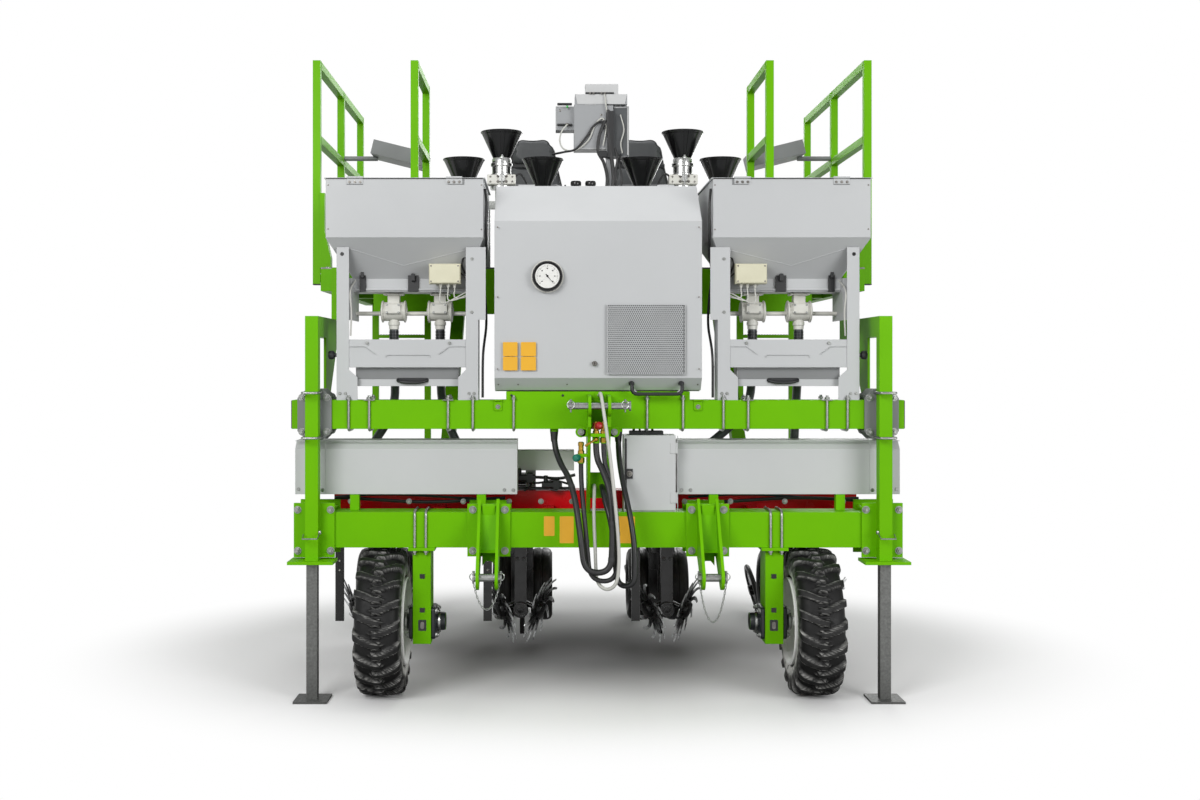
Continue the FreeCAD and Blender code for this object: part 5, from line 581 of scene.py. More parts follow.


# %% [markdown]
# ## Hoses and cables at the hitch
# Four lines hang in front of the mast while no tractor is coupled: two hydraulic hoses, a pale control
# cable and a black conduit. Each is a fixed length of something springy, so each is a smooth curve
# through a few given points and not a chain of straight runs. A NURBS curve of order three passes
# near its points with even bends, which is how a hose under its own weight looks.

# %% Hanging lines
CORDS = {
    "front_hose": (0.014, 1.411, hose_rubber, "hose_rubber", [
        (-0.205, -1.0845, 1.240), (-0.205, -1.0845, 1.175), (-0.178, -1.1395, 1.095),
        (-0.140, -1.2145, 1.040), (-0.113, -1.2795, 0.955), (-0.098, -1.3225, 0.860),
        (-0.084, -1.3525, 0.750), (-0.068, -1.3705, 0.618), (0.048, -1.3725, 0.618),
        (0.056, -1.3665, 0.745), (0.056, -1.3585, 0.870), (0.045, -1.3425, 0.990),
        (0.014, -1.3005, 1.075), (-0.014, -1.2625, 1.130), (-0.014, -1.2625, 1.195)]),
    "rear_hose": (0.011, 1.252, hose_rubber, "hose_rubber", [
        (-0.082, -1.2295, 1.100), (-0.082, -1.2295, 1.040), (-0.077, -1.2705, 0.950),
        (-0.067, -1.3045, 0.845), (-0.056, -1.3265, 0.720), (-0.044, -1.3365, 0.578),
        (0.072, -1.3405, 0.572), (0.082, -1.3365, 0.700), (0.080, -1.3265, 0.830),
        (0.066, -1.3125, 0.950), (0.044, -1.2905, 1.050), (0.020, -1.2625, 1.120),
        (0.020, -1.2625, 1.195)]),
    "pale_cable": (0.008, 1.673, cable_grey, "pale_cable_skin", [
        (0.004, -1.1445, 1.412), (0.004, -1.1945, 1.412), (0.006, -1.2645, 1.428),
        (0.009, -1.3365, 1.404), (0.016, -1.3785, 1.345), (0.028, -1.3885, 1.262),
        (0.044, -1.3905, 1.150), (0.060, -1.3885, 1.010), (0.074, -1.3845, 0.870),
        (0.084, -1.3785, 0.745), (0.086, -1.3725, 0.648), (0.076, -1.3645, 0.562),
        (0.032, -1.3385, 0.530), (-0.012, -1.3105, 0.560), (-0.017, -1.3005, 0.638),
        (-0.019, -1.2905, 0.715), (-0.022, -1.2745, 0.798), (-0.024, -1.2545, 0.876),
        (-0.021, -1.2225, 0.946), (-0.018, -1.1765, 0.990), (-0.018, -1.1245, 0.990)]),
    "black_cable": (0.013, 1.335, corrugated, "hose_rubber", [
        (0.096, -1.1045, 1.240), (0.096, -1.1045, 1.180), (0.098, -1.1525, 1.112),
        (0.106, -1.2165, 1.040), (0.122, -1.2765, 0.955), (0.142, -1.3205, 0.855),
        (0.156, -1.3445, 0.745), (0.160, -1.3545, 0.645), (0.156, -1.3525, 0.556),
        (0.084, -1.3025, 0.546), (0.072, -1.2965, 0.650), (0.066, -1.2845, 0.755),
        (0.048, -1.2565, 0.860), (0.028, -1.2185, 0.930), (0.018, -1.1765, 0.985),
        (0.018, -1.1245, 0.985)]),
}


def hanging_line(name, route, radius, material):
    """A round curve of one open spline through the route's points, thick as the real line."""
    data = bpy.data.curves.new(name, "CURVE")
    data.dimensions = "3D"
    data.resolution_u = 8
    data.bevel_depth = radius
    data.bevel_resolution = 4
    data.use_fill_caps = True
    spline = data.splines.new("NURBS")
    spline.points.add(len(route) - 1)
    for point, place in zip(spline.points, route):
        point.co = (*place, 1.0)
    spline.order_u = 3
    spline.use_endpoint_u = True
    data.materials.append(material)
    line = bpy.data.objects.new(name + "_line", data)
    bpy.context.scene.collection.objects.link(line)
    return line


for name, (radius, length, material, slot, route) in CORDS.items():
    line = hanging_line(name, route, radius, material)
    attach(line, "frame")
    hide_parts(name)
    print(name, "is", length, "m long and", round(2 * radius / MM), "mm thick")


# %% [markdown]
# ## Bolts, nuts and U-bolts
# The frame is a kit of square tubes held by clamps, so zinc-plated fasteners show everywhere. A hex head
# could be a cylinder primitive with six sides, but a turned profile with six steps gives the chamfer on
# top of the head as well. One shape is made for each size and stamped at every place where it is used.

# %% Fastener shapes
def corners_of(node_name):
    """Lowest and highest corner of a ready-made piece, as arrays."""
    low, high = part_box(node_name)
    return np.array(low), np.array(high)


def hex_bolt(thread, stud=0.0):
    """Washer, chamfered six-sided head and, for a nut, the end of its stud, along Z."""
    corner = 0.9 * thread
    washer = lathe([(0, 0), (thread * 1.1, 0), (thread * 1.1, thread * 0.16), (0, thread * 0.16)], 20)
    head = lathe([(0, thread * 0.16), (corner, thread * 0.16), (corner, thread * 0.7),
                  (corner * 0.86, thread * 0.82), (0, thread * 0.82)], 6)
    if not stud:
        return together(washer, head)
    end = lathe([(0, thread * 0.8), (thread * 0.48, thread * 0.8), (thread * 0.48, thread * 0.7 + stud),
                 (thread * 0.4, thread * 0.8 + stud), (0, thread * 0.8 + stud)], 12)
    return together(washer, head, end)


def button_screw(radius):
    """A low round head with a hexagon socket: a turned cap with a six-sided dimple."""
    return lathe([(0, 0), (radius, 0), (radius, radius * 0.2), (radius * 0.8, radius * 0.5),
                  (radius * 0.42, radius * 0.62), (radius * 0.36, radius * 0.3), (0, radius * 0.3)], 12)


def u_bolt(span, drop, radius, bend):
    """Leg, quarter circle, bow, quarter circle, leg. The bow lies along X at height zero."""
    quarter = np.linspace(0, math.pi / 2, 6)
    corner = np.column_stack([bend - bend * np.cos(quarter), bend * np.sin(quarter) - bend])
    left = corner + (-span / 2, 0)
    right = left[::-1] * (-1, 1)
    flat = np.concatenate([[(-span / 2, -drop)], left, right, [(span / 2, -drop)]])
    path = np.column_stack([flat[:, 0], np.zeros(len(flat)), flat[:, 1]])
    return sweep(path, radius, 12)


# %% Places on the main frame
beam_low, beam_high = corners_of("main_beam")
post_low, post_high = corners_of("side_posts")

THREAD = 0.016
PLATE = 0.012
POST_HALF = 0.030
POST_X = post_high[0] - 0.105
UPPER_BEAM_LOW = np.array([0, -1.1305, 1.254])
UPPER_BEAM_HIGH = np.array([0, -0.9985, 1.389])
BOLT_RISE = 0.013

# %% Nuts on the clamp plates
upper_front = UPPER_BEAM_LOW[1] - PLATE
# Each pair of plates holds one beam between them: the columns of its nuts, and the beam's corners.
CLAMPS = (((POST_X - 0.079, POST_X + 0.075), beam_low, beam_high),
          ((POST_X - 0.058, POST_X + 0.057), UPPER_BEAM_LOW, UPPER_BEAM_HIGH),
          ((0.435, 0.585), beam_low, beam_high))
front_places, back_places = [
    [(side * x, (low[1] - PLATE, high[1] + PLATE)[back], z) for columns, low, high in CLAMPS
     for side in (-1, 1) for x in columns for z in (low[2] - BOLT_RISE, high[2] + BOLT_RISE)]
    for back in (0, 1)]
add_piece("clamp_nuts", zinc, stamp(hex_bolt(THREAD, 0.009), front_places, forward=(0, -1, 0)),
          stamp(hex_bolt(THREAD), back_places, forward=(0, 1, 0)))
print(len(front_places) + len(back_places), "nuts on the clamp plates")

# %% U-bolts
POST_ROD = 0.006
post_bow_y = post_low[1] - POST_ROD
post_reach = upper_front - post_bow_y
post_u = u_bolt(2 * (POST_HALF + POST_ROD), post_reach, POST_ROD, 0.010)
post_rows = (UPPER_BEAM_LOW[2] - 0.036, UPPER_BEAM_HIGH[2] + 0.036)
post_places = [(side * POST_X, post_bow_y, z) for side in (-1, 1) for z in post_rows]
post_bolts = stamp(post_u, post_places, forward=(0, -1, 0), up=(0, 0, 1))

BEAM_ROD = 0.0065
STAND_COLUMNS = (0.586, 0.702, 1.071, 1.167)
SHELF_COLUMNS = (-0.395, 0.229, 0.397)
beam_depth = UPPER_BEAM_HIGH[1] - UPPER_BEAM_LOW[1]
beam_middle = (UPPER_BEAM_HIGH[1] + UPPER_BEAM_LOW[1]) / 2
bow_z = UPPER_BEAM_LOW[2] - BEAM_ROD
rise = UPPER_BEAM_HIGH[2] - bow_z + 0.022
beam_u = u_bolt(beam_depth + 2 * BEAM_ROD, rise, BEAM_ROD, 0.022)
beam_columns = [side * x for side in (-1, 1) for x in STAND_COLUMNS] + list(SHELF_COLUMNS)
beam_bolts = stamp(put(beam_u, (0, 0, 0), forward=(0, 0, -1), up=(1, 0, 0)),
                   [(x, beam_middle, bow_z) for x in beam_columns])
beam_nuts = stamp(hex_bolt(2 * BEAM_ROD, 0.008),
                  [(x, y, UPPER_BEAM_HIGH[2] + 0.004) for x in beam_columns
                   for y in (UPPER_BEAM_LOW[1] - BEAM_ROD, UPPER_BEAM_HIGH[1] + BEAM_ROD)])

STRUT_COLUMNS = (0.804, 0.856)
strut_bow = beam_high[2] + BEAM_ROD
strut_reach = strut_bow - beam_low[2] + 0.032
strut_u = u_bolt(beam_high[1] - beam_low[1] + 2 * BEAM_ROD, strut_reach, BEAM_ROD, 0.022)
main_middle = (beam_low[1] + beam_high[1]) / 2
strut_places = [(side * x, main_middle, strut_bow) for side in (-1, 1) for x in STRUT_COLUMNS]
strut_bolts = stamp(put(strut_u, (0, 0, 0), forward=(0, 0, 1), up=(1, 0, 0)), strut_places)
strut_nuts = stamp(hex_bolt(2 * BEAM_ROD, 0.006),
                   [(side * x, y, beam_low[2] - 0.014) for side in (-1, 1) for x in STRUT_COLUMNS
                    for y in (beam_low[1] - BEAM_ROD, beam_high[1] + BEAM_ROD)], forward=(0, 0, -1))
add_piece("u_bolts", zinc, post_bolts, beam_bolts, beam_nuts, strut_bolts, strut_nuts)
print(len(post_places) + len(beam_columns) + len(strut_places), "U-bolts")

# %% Lock pins of the parking legs, and the dark end caps of the beams
PIN_Z = post_low[2] + 0.120
PIN_ROD = 0.0035
pin_front = post_low[1] - PIN_ROD
pin_path = [(POST_X + POST_HALF + 0.004, pin_front + 0.035, PIN_Z + 0.016),
            (POST_X + POST_HALF + 0.004, pin_front, PIN_Z),
            (POST_X - POST_HALF - 0.004, pin_front, PIN_Z),
            (POST_X - POST_HALF - 0.007, pin_front + 0.012, PIN_Z + 0.008),
            (POST_X - POST_HALF - 0.008, pin_front + 0.05, PIN_Z + 0.024)]
pin = sweep(pin_path, PIN_ROD, 8)
knob = put(lathe([(0, -0.008), (0.006, -0.008), (0.008, -0.004), (0.008, 0.004), (0.006, 0.008),
                  (0, 0.008)], 12), pin_path[-1])
add_piece("leg_lock_pins", zinc, pin, knob, both=True)

CAP = 0.004
main_cap = slab(CAP, beam_high[1] - beam_low[1] - 0.004, beam_high[2] - beam_low[2] - 0.004, 0.001)
upper_cap = slab(CAP, beam_depth - 0.004, UPPER_BEAM_HIGH[2] - UPPER_BEAM_LOW[2] - 0.004, 0.001)
caps = together(put(main_cap, (beam_high[0] + CAP / 2, main_middle, (beam_low[2] + beam_high[2]) / 2)),
                put(upper_cap, (1.433 + CAP / 2, beam_middle,
                                (UPPER_BEAM_LOW[2] + UPPER_BEAM_HIGH[2]) / 2)))
add_piece("beam_end_caps", black_plastic, caps, both=True)
print("lock pins and end caps")


# %% [markdown]
# ## Ground tyres
# A farm tyre is moulded: raked bars stand on a thin carcass, and every second bar comes from the other
# side, each ending in a round knob on the middle line. Bars could be separate blocks set on a ring, and
# their edges would then meet the carcass in a hard line. Here the whole tyre is one grid: for each point
# of one pitch the signed distance to the bar's outline is worked out, and a smooth step of that distance
# blends between two profiles, the carcass and the envelope of the lugs. The pitch is then repeated.

# %% Tread pattern
def smooth(value, low, high):
    """The usual smooth step: 3t^2 - 2t^3 with t running from 0 at low to 1 at high."""
    t = np.clip((value - low) / (high - low), 0, 1)
    return t * t * (3 - 2 * t)


def distance_to(outline, u, v):
    """Signed distance from points (u, v) to a closed outline, negative inside.

    The distance to each side is that to the nearest point of the side, and a point is inside when
    a line drawn from it crosses the outline an odd number of times."""
    nearest = np.full(np.shape(u), np.inf)
    inside = np.zeros(np.shape(u), bool)
    for (u0, v0), (u1, v1) in zip(outline, np.roll(outline, -1, axis=0)):
        du, dv = u1 - u0, v1 - v0
        share = np.clip(((u - u0) * du + (v - v0) * dv) / (du * du + dv * dv), 0, 1)
        nearest = np.minimum(nearest, np.hypot(u - u0 - share * du, v - v0 - share * dv))
        crosses = (v0 > v) != (v1 > v)
        where = u0 + (v - v0) * du / (dv if dv else 1e-9)
        inside ^= crosses & (u < where)
    return np.where(inside, -nearest, nearest)


TYRE_RADIUS = 0.343
LUGS_PER_SIDE = 20
STEPS_PER_PITCH = 32
LUG_EDGE = 0.0040
KNOB = (0.034, 0.021)
BAR = 0.044
BAR_SWEEP = 0.074
EDGE_BAND = 0.0016

CARCASS = np.array([(0.082, 0.197), (0.086, 0.203), (0.098, 0.214), (0.104, 0.222), (0.104, 0.226),
                    (0.1065, 0.240), (0.107, 0.254), (0.105, 0.268), (0.102, 0.282), (0.096, 0.295),
                    (0.084, 0.310), (0.066, 0.320), (0.036, 0.324), (0.0, 0.325)])
ENVELOPE = np.array([(0.082, 0.197), (0.086, 0.203), (0.098, 0.214), (0.104, 0.222), (0.104, 0.226),
                     (0.1065, 0.240), (0.107, 0.254), (0.107, 0.268), (0.108, 0.288), (0.108, 0.307),
                     (0.102, 0.326), (0.082, 0.338), (0.048, 0.3425), (0.0, 0.343)])


def resample(profile, share):
    """Points of a profile at given shares of the way along it, by number of corners."""
    at = share * (len(profile) - 1)
    return np.stack([np.interp(at, np.arange(len(profile)), profile[:, k]) for k in (0, 1)], -1)


share = np.linspace(0, 1, 38)
right_base = resample(CARCASS, share)
right_top = resample(ENVELOPE, share)
base = np.concatenate([right_base * (-1, 1), right_base[-2::-1]])
top = np.concatenate([right_top * (-1, 1), right_top[-2::-1]])
sideways = np.concatenate([[0], np.cumsum(np.hypot(*np.diff(top, axis=0).T))])
sideways -= sideways[len(sideways) // 2]

bar_end = sideways[-1] - 0.058
tail = BAR_SWEEP + BAR / 2
lug = np.array([(-KNOB[0], 0.004), (-KNOB[0] * 0.9, -KNOB[1] * 0.7), (-KNOB[0] * 0.55, -KNOB[1]),
                (-KNOB[0] * 0.1, -KNOB[1] * 0.72), (KNOB[0] * 0.45, -KNOB[1] * 0.95),
                (KNOB[0] * 1.05, -KNOB[1] * 0.45), (bar_end, tail - BAR), (bar_end, tail),
                (KNOB[0] * 1.30, KNOB[1] * 1.35), (KNOB[0] * 0.5, KNOB[1] * 0.80), (0.0, KNOB[1] * 0.60),
                (-KNOB[0] * 0.4, KNOB[1] * 0.95), (-KNOB[0] * 0.85, KNOB[1] * 0.75)])
pitch = 2 * math.pi * TYRE_RADIUS / LUGS_PER_SIDE
around = np.arange(STEPS_PER_PITCH) / STEPS_PER_PITCH * pitch
U, V = np.meshgrid(sideways, around, indexing="ij")
nearest_lug = np.full(U.shape, np.inf)
for flip, offset in ((1, 0), (-1, pitch / 2)):
    for turn in (-1, 0, 1):
        nearest_lug = np.minimum(nearest_lug, distance_to(lug, flip * U, V - offset - turn * pitch))
mask = np.tile(smooth(-nearest_lug, -LUG_EDGE / 2, LUG_EDGE / 2), (1, LUGS_PER_SIDE))
edge = np.tile(np.exp(-((nearest_lug + 0.002) / EDGE_BAND) ** 2), (1, LUGS_PER_SIDE))
print("tread pattern:", mask.shape, "points, lug share", round(float(mask.mean()), 2))

# %% Tyre mesh
steps = STEPS_PER_PITCH * LUGS_PER_SIDE
angle = np.arange(steps) / steps * 2 * math.pi
profile = base[:, None] * (1 - mask[..., None]) + top[:, None] * mask[..., None]
ring = np.stack([profile[..., 0], profile[..., 1] * np.sin(angle), profile[..., 1] * np.cos(angle)], -1)
tyre_faces = [face[::-1] for face in grid_faces(len(base), steps, wrap_rows=True, wrap_columns=True)]
radius = np.broadcast_to(np.hypot(*base.T)[:, None], mask.shape)
side_share = smooth(np.abs(np.broadcast_to(base[:, :1], mask.shape)), 0.094, 0.104)
bead_share = 1 - smooth(radius, 0.244, 0.288)
# Film layer: sidewall pale, near white by the bead, partly dirt and partly painted sheen; lug tops faint,
# lug edges a thin pale band.
film = side_share * (0.25 + 3.0 * bead_share) + (1 - side_share) * (0.02 * mask + 0.80 * edge)

for side in SIDES:
    low, high = corners_of(f"tyre_{side}")
    centre = (low + high) / 2
    tyre = add_piece(f"tread_{side}", tyre_rubber, (ring.reshape(-1, 3) + centre, tyre_faces),
                     body=f"wheel_{side}", smooth=60)
    layer = tyre.data.attributes.new("film", "FLOAT", "POINT")
    layer.data.foreach_set("value", film.reshape(-1).astype(np.float32))
    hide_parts(f"tyre_{side}")
print("two tyres,", 2 * len(tyre_faces), "faces each as triangles")


# %% [markdown]
# ## Blower cabinet
# The cabinet is folded sheet. Its front hood lifts on hinges along the top of the brow, so everything on
# the front moves with the hood. The air grille is perforated sheet. Holes could be drawn by a texture,
# but a texture has no thickness and does not show the dark inside at a slant. One square cell with a
# round hole is made here and repeated in staggered rows over a dark plate, which is painted shade: it
# stands for the shaded inside of the cabinet.

# %% Cabinet measures
hood_low, hood_high = corners_of("cabinet_hood")
GAUGE_DEPTH = 0.024
FACE_Y = hood_low[1] + GAUGE_DEPTH
CHIN_TOP = 1.493
CHIN_LOW = 1.429
CHIN_SETBACK = 0.060
SHEET_TOP = 2.419
HALF_WIDTH = hood_high[0]
SKIN = 0.0006
FRONT = (0, -1, 0)
chin_slope = np.array([0, -(CHIN_TOP - CHIN_LOW), -CHIN_SETBACK])
chin_normal = chin_slope / np.linalg.norm(chin_slope)


def on_front(x, z, proud=0.0):
    """A point on the flat front of the hood."""
    return (x, FACE_Y - proud, z)


def on_chin(x, z, proud=0.0):
    """A point on the chin, which slopes back under the front."""
    depth = FACE_Y + CHIN_SETBACK * (CHIN_TOP - z) / (CHIN_TOP - CHIN_LOW)
    return tuple(np.array([x, depth, z]) + chin_normal * proud)


# %% Air grille
GRILLE_LOW = (0.042, 1.511)
GRILLE_HIGH = (0.404, 1.834)
HOLE_PITCH = 0.0095
HOLE_SIDES = 8
HOLE_RADIUS = 0.0031


def perforated(width, height, pitch, hole):
    """Staggered square cells, each a ring of four-sided faces between its edge and its round hole."""
    turn = (np.arange(HOLE_SIDES) + 0.5) / HOLE_SIDES * 2 * math.pi
    round_edge = hole * np.column_stack([np.cos(turn), np.sin(turn)])
    reach = np.maximum(np.abs(np.cos(turn)), np.abs(np.sin(turn)))[:, None]
    square = np.column_stack([np.cos(turn), np.sin(turn)]) / reach * pitch / 2
    square = np.sign(square) * np.where(np.abs(square) > pitch * 0.2, pitch / 2, pitch * 0.2)
    cell = np.concatenate([square, round_edge])
    cell_faces = [(i, (i + 1) % HOLE_SIDES, HOLE_SIDES + (i + 1) % HOLE_SIDES, HOLE_SIDES + i)
                  for i in range(HOLE_SIDES)]
    rows = int(height / pitch)
    columns = int(width / pitch)
    row, column = np.meshgrid(np.arange(rows), np.arange(columns), indexing="ij")
    x = (column + 0.5 * (row % 2) + 0.25) * pitch
    z = (row + 0.5) * pitch
    inside = x.ravel() < width - pitch / 2
    centres = np.column_stack([x.ravel(), z.ravel(), np.zeros(x.size)])[inside]
    return stamp((np.column_stack([cell, np.zeros(len(cell))]), cell_faces), centres), len(centres)


grille_width = GRILLE_HIGH[0] - GRILLE_LOW[0]
grille_height = GRILLE_HIGH[1] - GRILLE_LOW[1]
(cell_points, cell_faces), holes = perforated(grille_width, grille_height, HOLE_PITCH, HOLE_RADIUS)
sheet_points = np.column_stack([cell_points[:, 0] + GRILLE_LOW[0],
                                np.full(len(cell_points), FACE_Y - 0.0022),
                                cell_points[:, 1] + GRILLE_LOW[1]])
add_piece("grille_sheet", grille_coat, (sheet_points, cell_faces), body="hood", slot="grey_sheet")
grille_middle = on_front((GRILLE_LOW[0] + GRILLE_HIGH[0]) / 2, (GRILLE_LOW[1] + GRILLE_HIGH[1]) / 2)
# The dark plate behind the holes is painted shade, for the shaded inside of the cabinet.
shade_plate = put(slab(grille_width, grille_height, 0.0024, 0.0002), grille_middle, FRONT)
add_piece("grille_shade_plate", grille_shadow, shade_plate, body="hood")
rim_path = [(x, FACE_Y - 0.0014, z) for x, z in
            ((GRILLE_LOW[0], GRILLE_LOW[1]), (GRILLE_HIGH[0], GRILLE_LOW[1]),
             (GRILLE_HIGH[0], GRILLE_HIGH[1]), (GRILLE_LOW[0], GRILLE_HIGH[1]))]
rim_bars = [sweep([rim_path[k], rim_path[(k + 1) % 4]], 0.0022, 6) for k in range(4)]
add_piece("grille_rim", grey_coat, *rim_bars, body="hood", slot="grey_sheet")
print(holes, "holes in the grille")

# %% Pressure gauge
GAUGE_PLACE = (-0.237, 1.966)
GAUGE_RADIUS = 0.0705
dial_radius = GAUGE_RADIUS * 0.80
gauge_at = on_front(*GAUGE_PLACE)
bezel = lathe([(GAUGE_RADIUS + 0.0005, 0), (GAUGE_RADIUS + 0.0005, GAUGE_DEPTH - 0.004),
               (GAUGE_RADIUS - 0.003, GAUGE_DEPTH + 0.003), (dial_radius + 0.003, GAUGE_DEPTH + 0.003),
               (dial_radius, GAUGE_DEPTH + 0.0004)], 64)
dial = lathe([(dial_radius + 0.001, GAUGE_DEPTH + 0.0004), (0, GAUGE_DEPTH + 0.0004)], 64)
seat_ring = lathe([(GAUGE_RADIUS + 0.006, 0), (GAUGE_RADIUS + 0.006, 0.002),
                   (GAUGE_RADIUS, 0.0025)], 64)
add_piece("gauge_bezel", gloss_black, put(bezel, gauge_at, FRONT), body="hood", slot="black_plastic")
add_piece("gauge_seat_ring", white_plastic, put(seat_ring, gauge_at, FRONT), body="hood")
add_piece("gauge_dial", dial_white, put(dial, gauge_at, FRONT), body="hood")

GAUGE_SWEEP = (math.radians(-45), math.radians(225))
MINOR_TICKS = 36
MAJOR_EVERY = 6
marks = []
for k, turn in enumerate(np.linspace(*GAUGE_SWEEP, MINOR_TICKS + 1)):
    major = k % MAJOR_EVERY == 0
    length = 0.008 if major else 0.004
    tick = slab(length, 0.0016 if major else 0.0007, 0.0004, 0.0001)
    out = np.array([math.cos(turn), 0, math.sin(turn)])
    middle = np.array(gauge_at) + out * (dial_radius * 0.9 - length / 2)
    middle[1] -= GAUGE_DEPTH + 0.0008
    marks.append(put(tick, middle, FRONT, np.cross(out, FRONT)))
    if major:
        block = slab(0.0065, 0.0042, 0.0004, 0.0001)
        marks.append(put(block, middle - out * 0.012, FRONT))
NEEDLE_TURN = math.radians(-50)
toward = np.array([math.cos(NEEDLE_TURN), 0, math.sin(NEEDLE_TURN)])
across = np.cross(toward, FRONT)
needle_outline = [(-0.012, -0.0022), (dial_radius * 0.82, -0.0004), (dial_radius * 0.82, 0.0004),
                  (-0.012, 0.0022)]
needle_at = np.array(gauge_at) - (0, GAUGE_DEPTH + 0.0018, 0)
points, faces = plate(needle_outline, 0.0008)
needle = (points[:, :1] * toward + points[:, 1:2] * across + points[:, 2:] * np.array(FRONT) + needle_at,
          faces)
hub = put(lathe([(0, -0.001), (0.005, -0.001), (0.005, 0.002), (0, 0.0026)], 20), needle_at, FRONT)
add_piece("gauge_marks", gloss_black, *marks, needle, hub, body="hood")
glass = lathe([(dial_radius + 0.001, GAUGE_DEPTH + 0.0034), (dial_radius * 0.5, GAUGE_DEPTH + 0.0042),
               (0, GAUGE_DEPTH + 0.0044), (0, GAUGE_DEPTH + 0.0030),
               (dial_radius + 0.001, GAUGE_DEPTH + 0.0030)], 48)
add_piece("gauge_glass", clear_cover, put(glass, gauge_at, FRONT), body="hood")
print("gauge with", MINOR_TICKS // MAJOR_EVERY + 1, "long marks, each with a plain block at its end")

# %% Handle, lock, blank labels and screws
HANDLE_ENDS = (0.156, 0.388)
HANDLE_TOP = 1.467
HANDLE_LOW = 1.419
HANDLE_ROD = 0.0085
HANDLE_BEND = 0.022
foot_y = on_chin(0, HANDLE_TOP)[1]
bar_y = FACE_Y - 0.028
quarter = np.linspace(0, math.pi / 2, 7)
leg = np.column_stack([HANDLE_BEND - HANDLE_BEND * np.cos(quarter),
                       np.full(7, bar_y), HANDLE_LOW + HANDLE_BEND - HANDLE_BEND * np.sin(quarter)])
left_leg = np.concatenate([[(0, foot_y, HANDLE_TOP), (0, foot_y - 0.02, HANDLE_TOP - 0.004),
                            (0, bar_y + 0.004, HANDLE_TOP - 0.012)], leg]) + (HANDLE_ENDS[0], 0, 0)
right_leg = left_leg[::-1] * (-1, 1, 1) + (HANDLE_ENDS[0] + HANDLE_ENDS[1], 0, 0)
handle = sweep(np.concatenate([left_leg, right_leg]), HANDLE_ROD, 16)
handle_feet = stamp(lathe([(0, -0.002), (0.014, -0.002), (0.014, 0.004), (0.010, 0.008), (0, 0.008)], 20),
                    [on_chin(x, HANDLE_TOP) for x in HANDLE_ENDS], forward=chin_normal)
add_piece("hood_handle", black_plastic, handle, handle_feet, body="hood")

lock = lathe([(0, 0), (0.0125, 0), (0.0125, 0.003), (0.0105, 0.005), (0.0045, 0.005), (0.004, 0.003),
              (0, 0.003)], 24)
lock_key = slab(0.002, 0.012, 0.0008, 0.0001)
add_piece("hood_lock", steel, put(lock, on_front(-0.017, 1.560), FRONT), body="hood")
add_piece("hood_lock_slot", gloss_black, put(lock_key, on_front(-0.017, 1.560, 0.0053), FRONT), body="hood")

LABELS = ((-0.444, -0.376), (-0.361, -0.290))
LABEL_ROWS = ((1.528, 1.592), (1.5945, 1.660))
for k, (x0, x1) in enumerate(LABELS):
    for row, (z0, z1) in enumerate(LABEL_ROWS):
        label = slab(x1 - x0, z1 - z0, SKIN, 0.0001, radius=0.003)
        add_piece(f"blank_label_{k}_{row}", amber_film,
                  put(label, on_front((x0 + x1) / 2, (z0 + z1) / 2, SKIN / 2), FRONT), body="hood")

EDGE_RIVET_Z = (1.535, 1.870, 2.195)
rivet = lathe([(0, 0), (0.0042, 0), (0.0036, 0.0016), (0.0015, 0.0022), (0, 0.0018)], 10)
rivet_places = [on_front(side * (HALF_WIDTH - 0.015), z) for side in (-1, 1) for z in EDGE_RIVET_Z]
chin_screws = [on_chin(x, 1.462) for x in (-0.466, -0.374, -0.145, 0.466)]
add_piece("hood_rivets", steel, stamp(rivet, rivet_places, FRONT), stamp(rivet, chin_screws, chin_normal),
          body="hood")

cap = lathe([(0, 0), (0.017, 0), (0.017, 0.010), (0.025, 0.013), (0.0265, 0.019), (0.0265, 0.028),
             (0.023, 0.035), (0.010, 0.037), (0, 0.037)], 24)
cap_places = [(x, hood_high[1] + 0.06, SHEET_TOP + 0.003) for x in (-0.097, -0.025)]
add_piece("cabinet_top_caps", gloss_black, stamp(cap, cap_places))
print("handle, lock, labels and", len(rivet_places) + len(chin_screws), "rivets")

# %% Shelf under the cabinet
shelf_screws = [(x, UPPER_BEAM_LOW[1] - 0.0008, 1.411) for x in (-0.405, -0.165, 0.39)]
add_piece("shelf_screws", black_plastic, stamp(button_screw(0.006), shelf_screws, FRONT))


# %% [markdown]
# ## Hoppers and their stands
# The hoppers are welded from sheet, with hinged lids, and stand on folded sheet-metal legs. Seams, folds
# and pressed lines make sheet look like sheet. They could be a normal map, but the folds are few and
# straight, so each is a thin rod sunk to half its depth in the sheet, which catches light as a fold does.

# %% Hopper measures
hopper_low, hopper_high = corners_of("hoppers")
HOPPER_FRONT = hopper_low[1] + 0.003
HOPPER_OUTER = hopper_high[0]
HOPPER_INNER = HOPPER_OUTER - 0.734
SHOULDER_Z = hopper_high[2] - 0.273
TROUGH_TOP_Z = SHOULDER_Z - 0.183
TROUGH_FRONT = HOPPER_FRONT + 0.161
STAND_FRONT = HOPPER_FRONT + 0.029
LEG_OUTER = HOPPER_OUTER - 0.075
HOPPER_MIDDLE = (HOPPER_OUTER + HOPPER_INNER) / 2


def on_taper(x, z, proud=0.0):
    """A point on the front slope of the hopper, under the shoulder."""
    share = (SHOULDER_Z - z) / (SHOULDER_Z - TROUGH_TOP_Z)
    return (x, HOPPER_FRONT + (TROUGH_FRONT - HOPPER_FRONT) * share - proud, z)


def fold(points, radius=0.0016):
    """A fold or pressed line in sheet: a thin rod along its points."""
    return sweep(points, radius, 6)


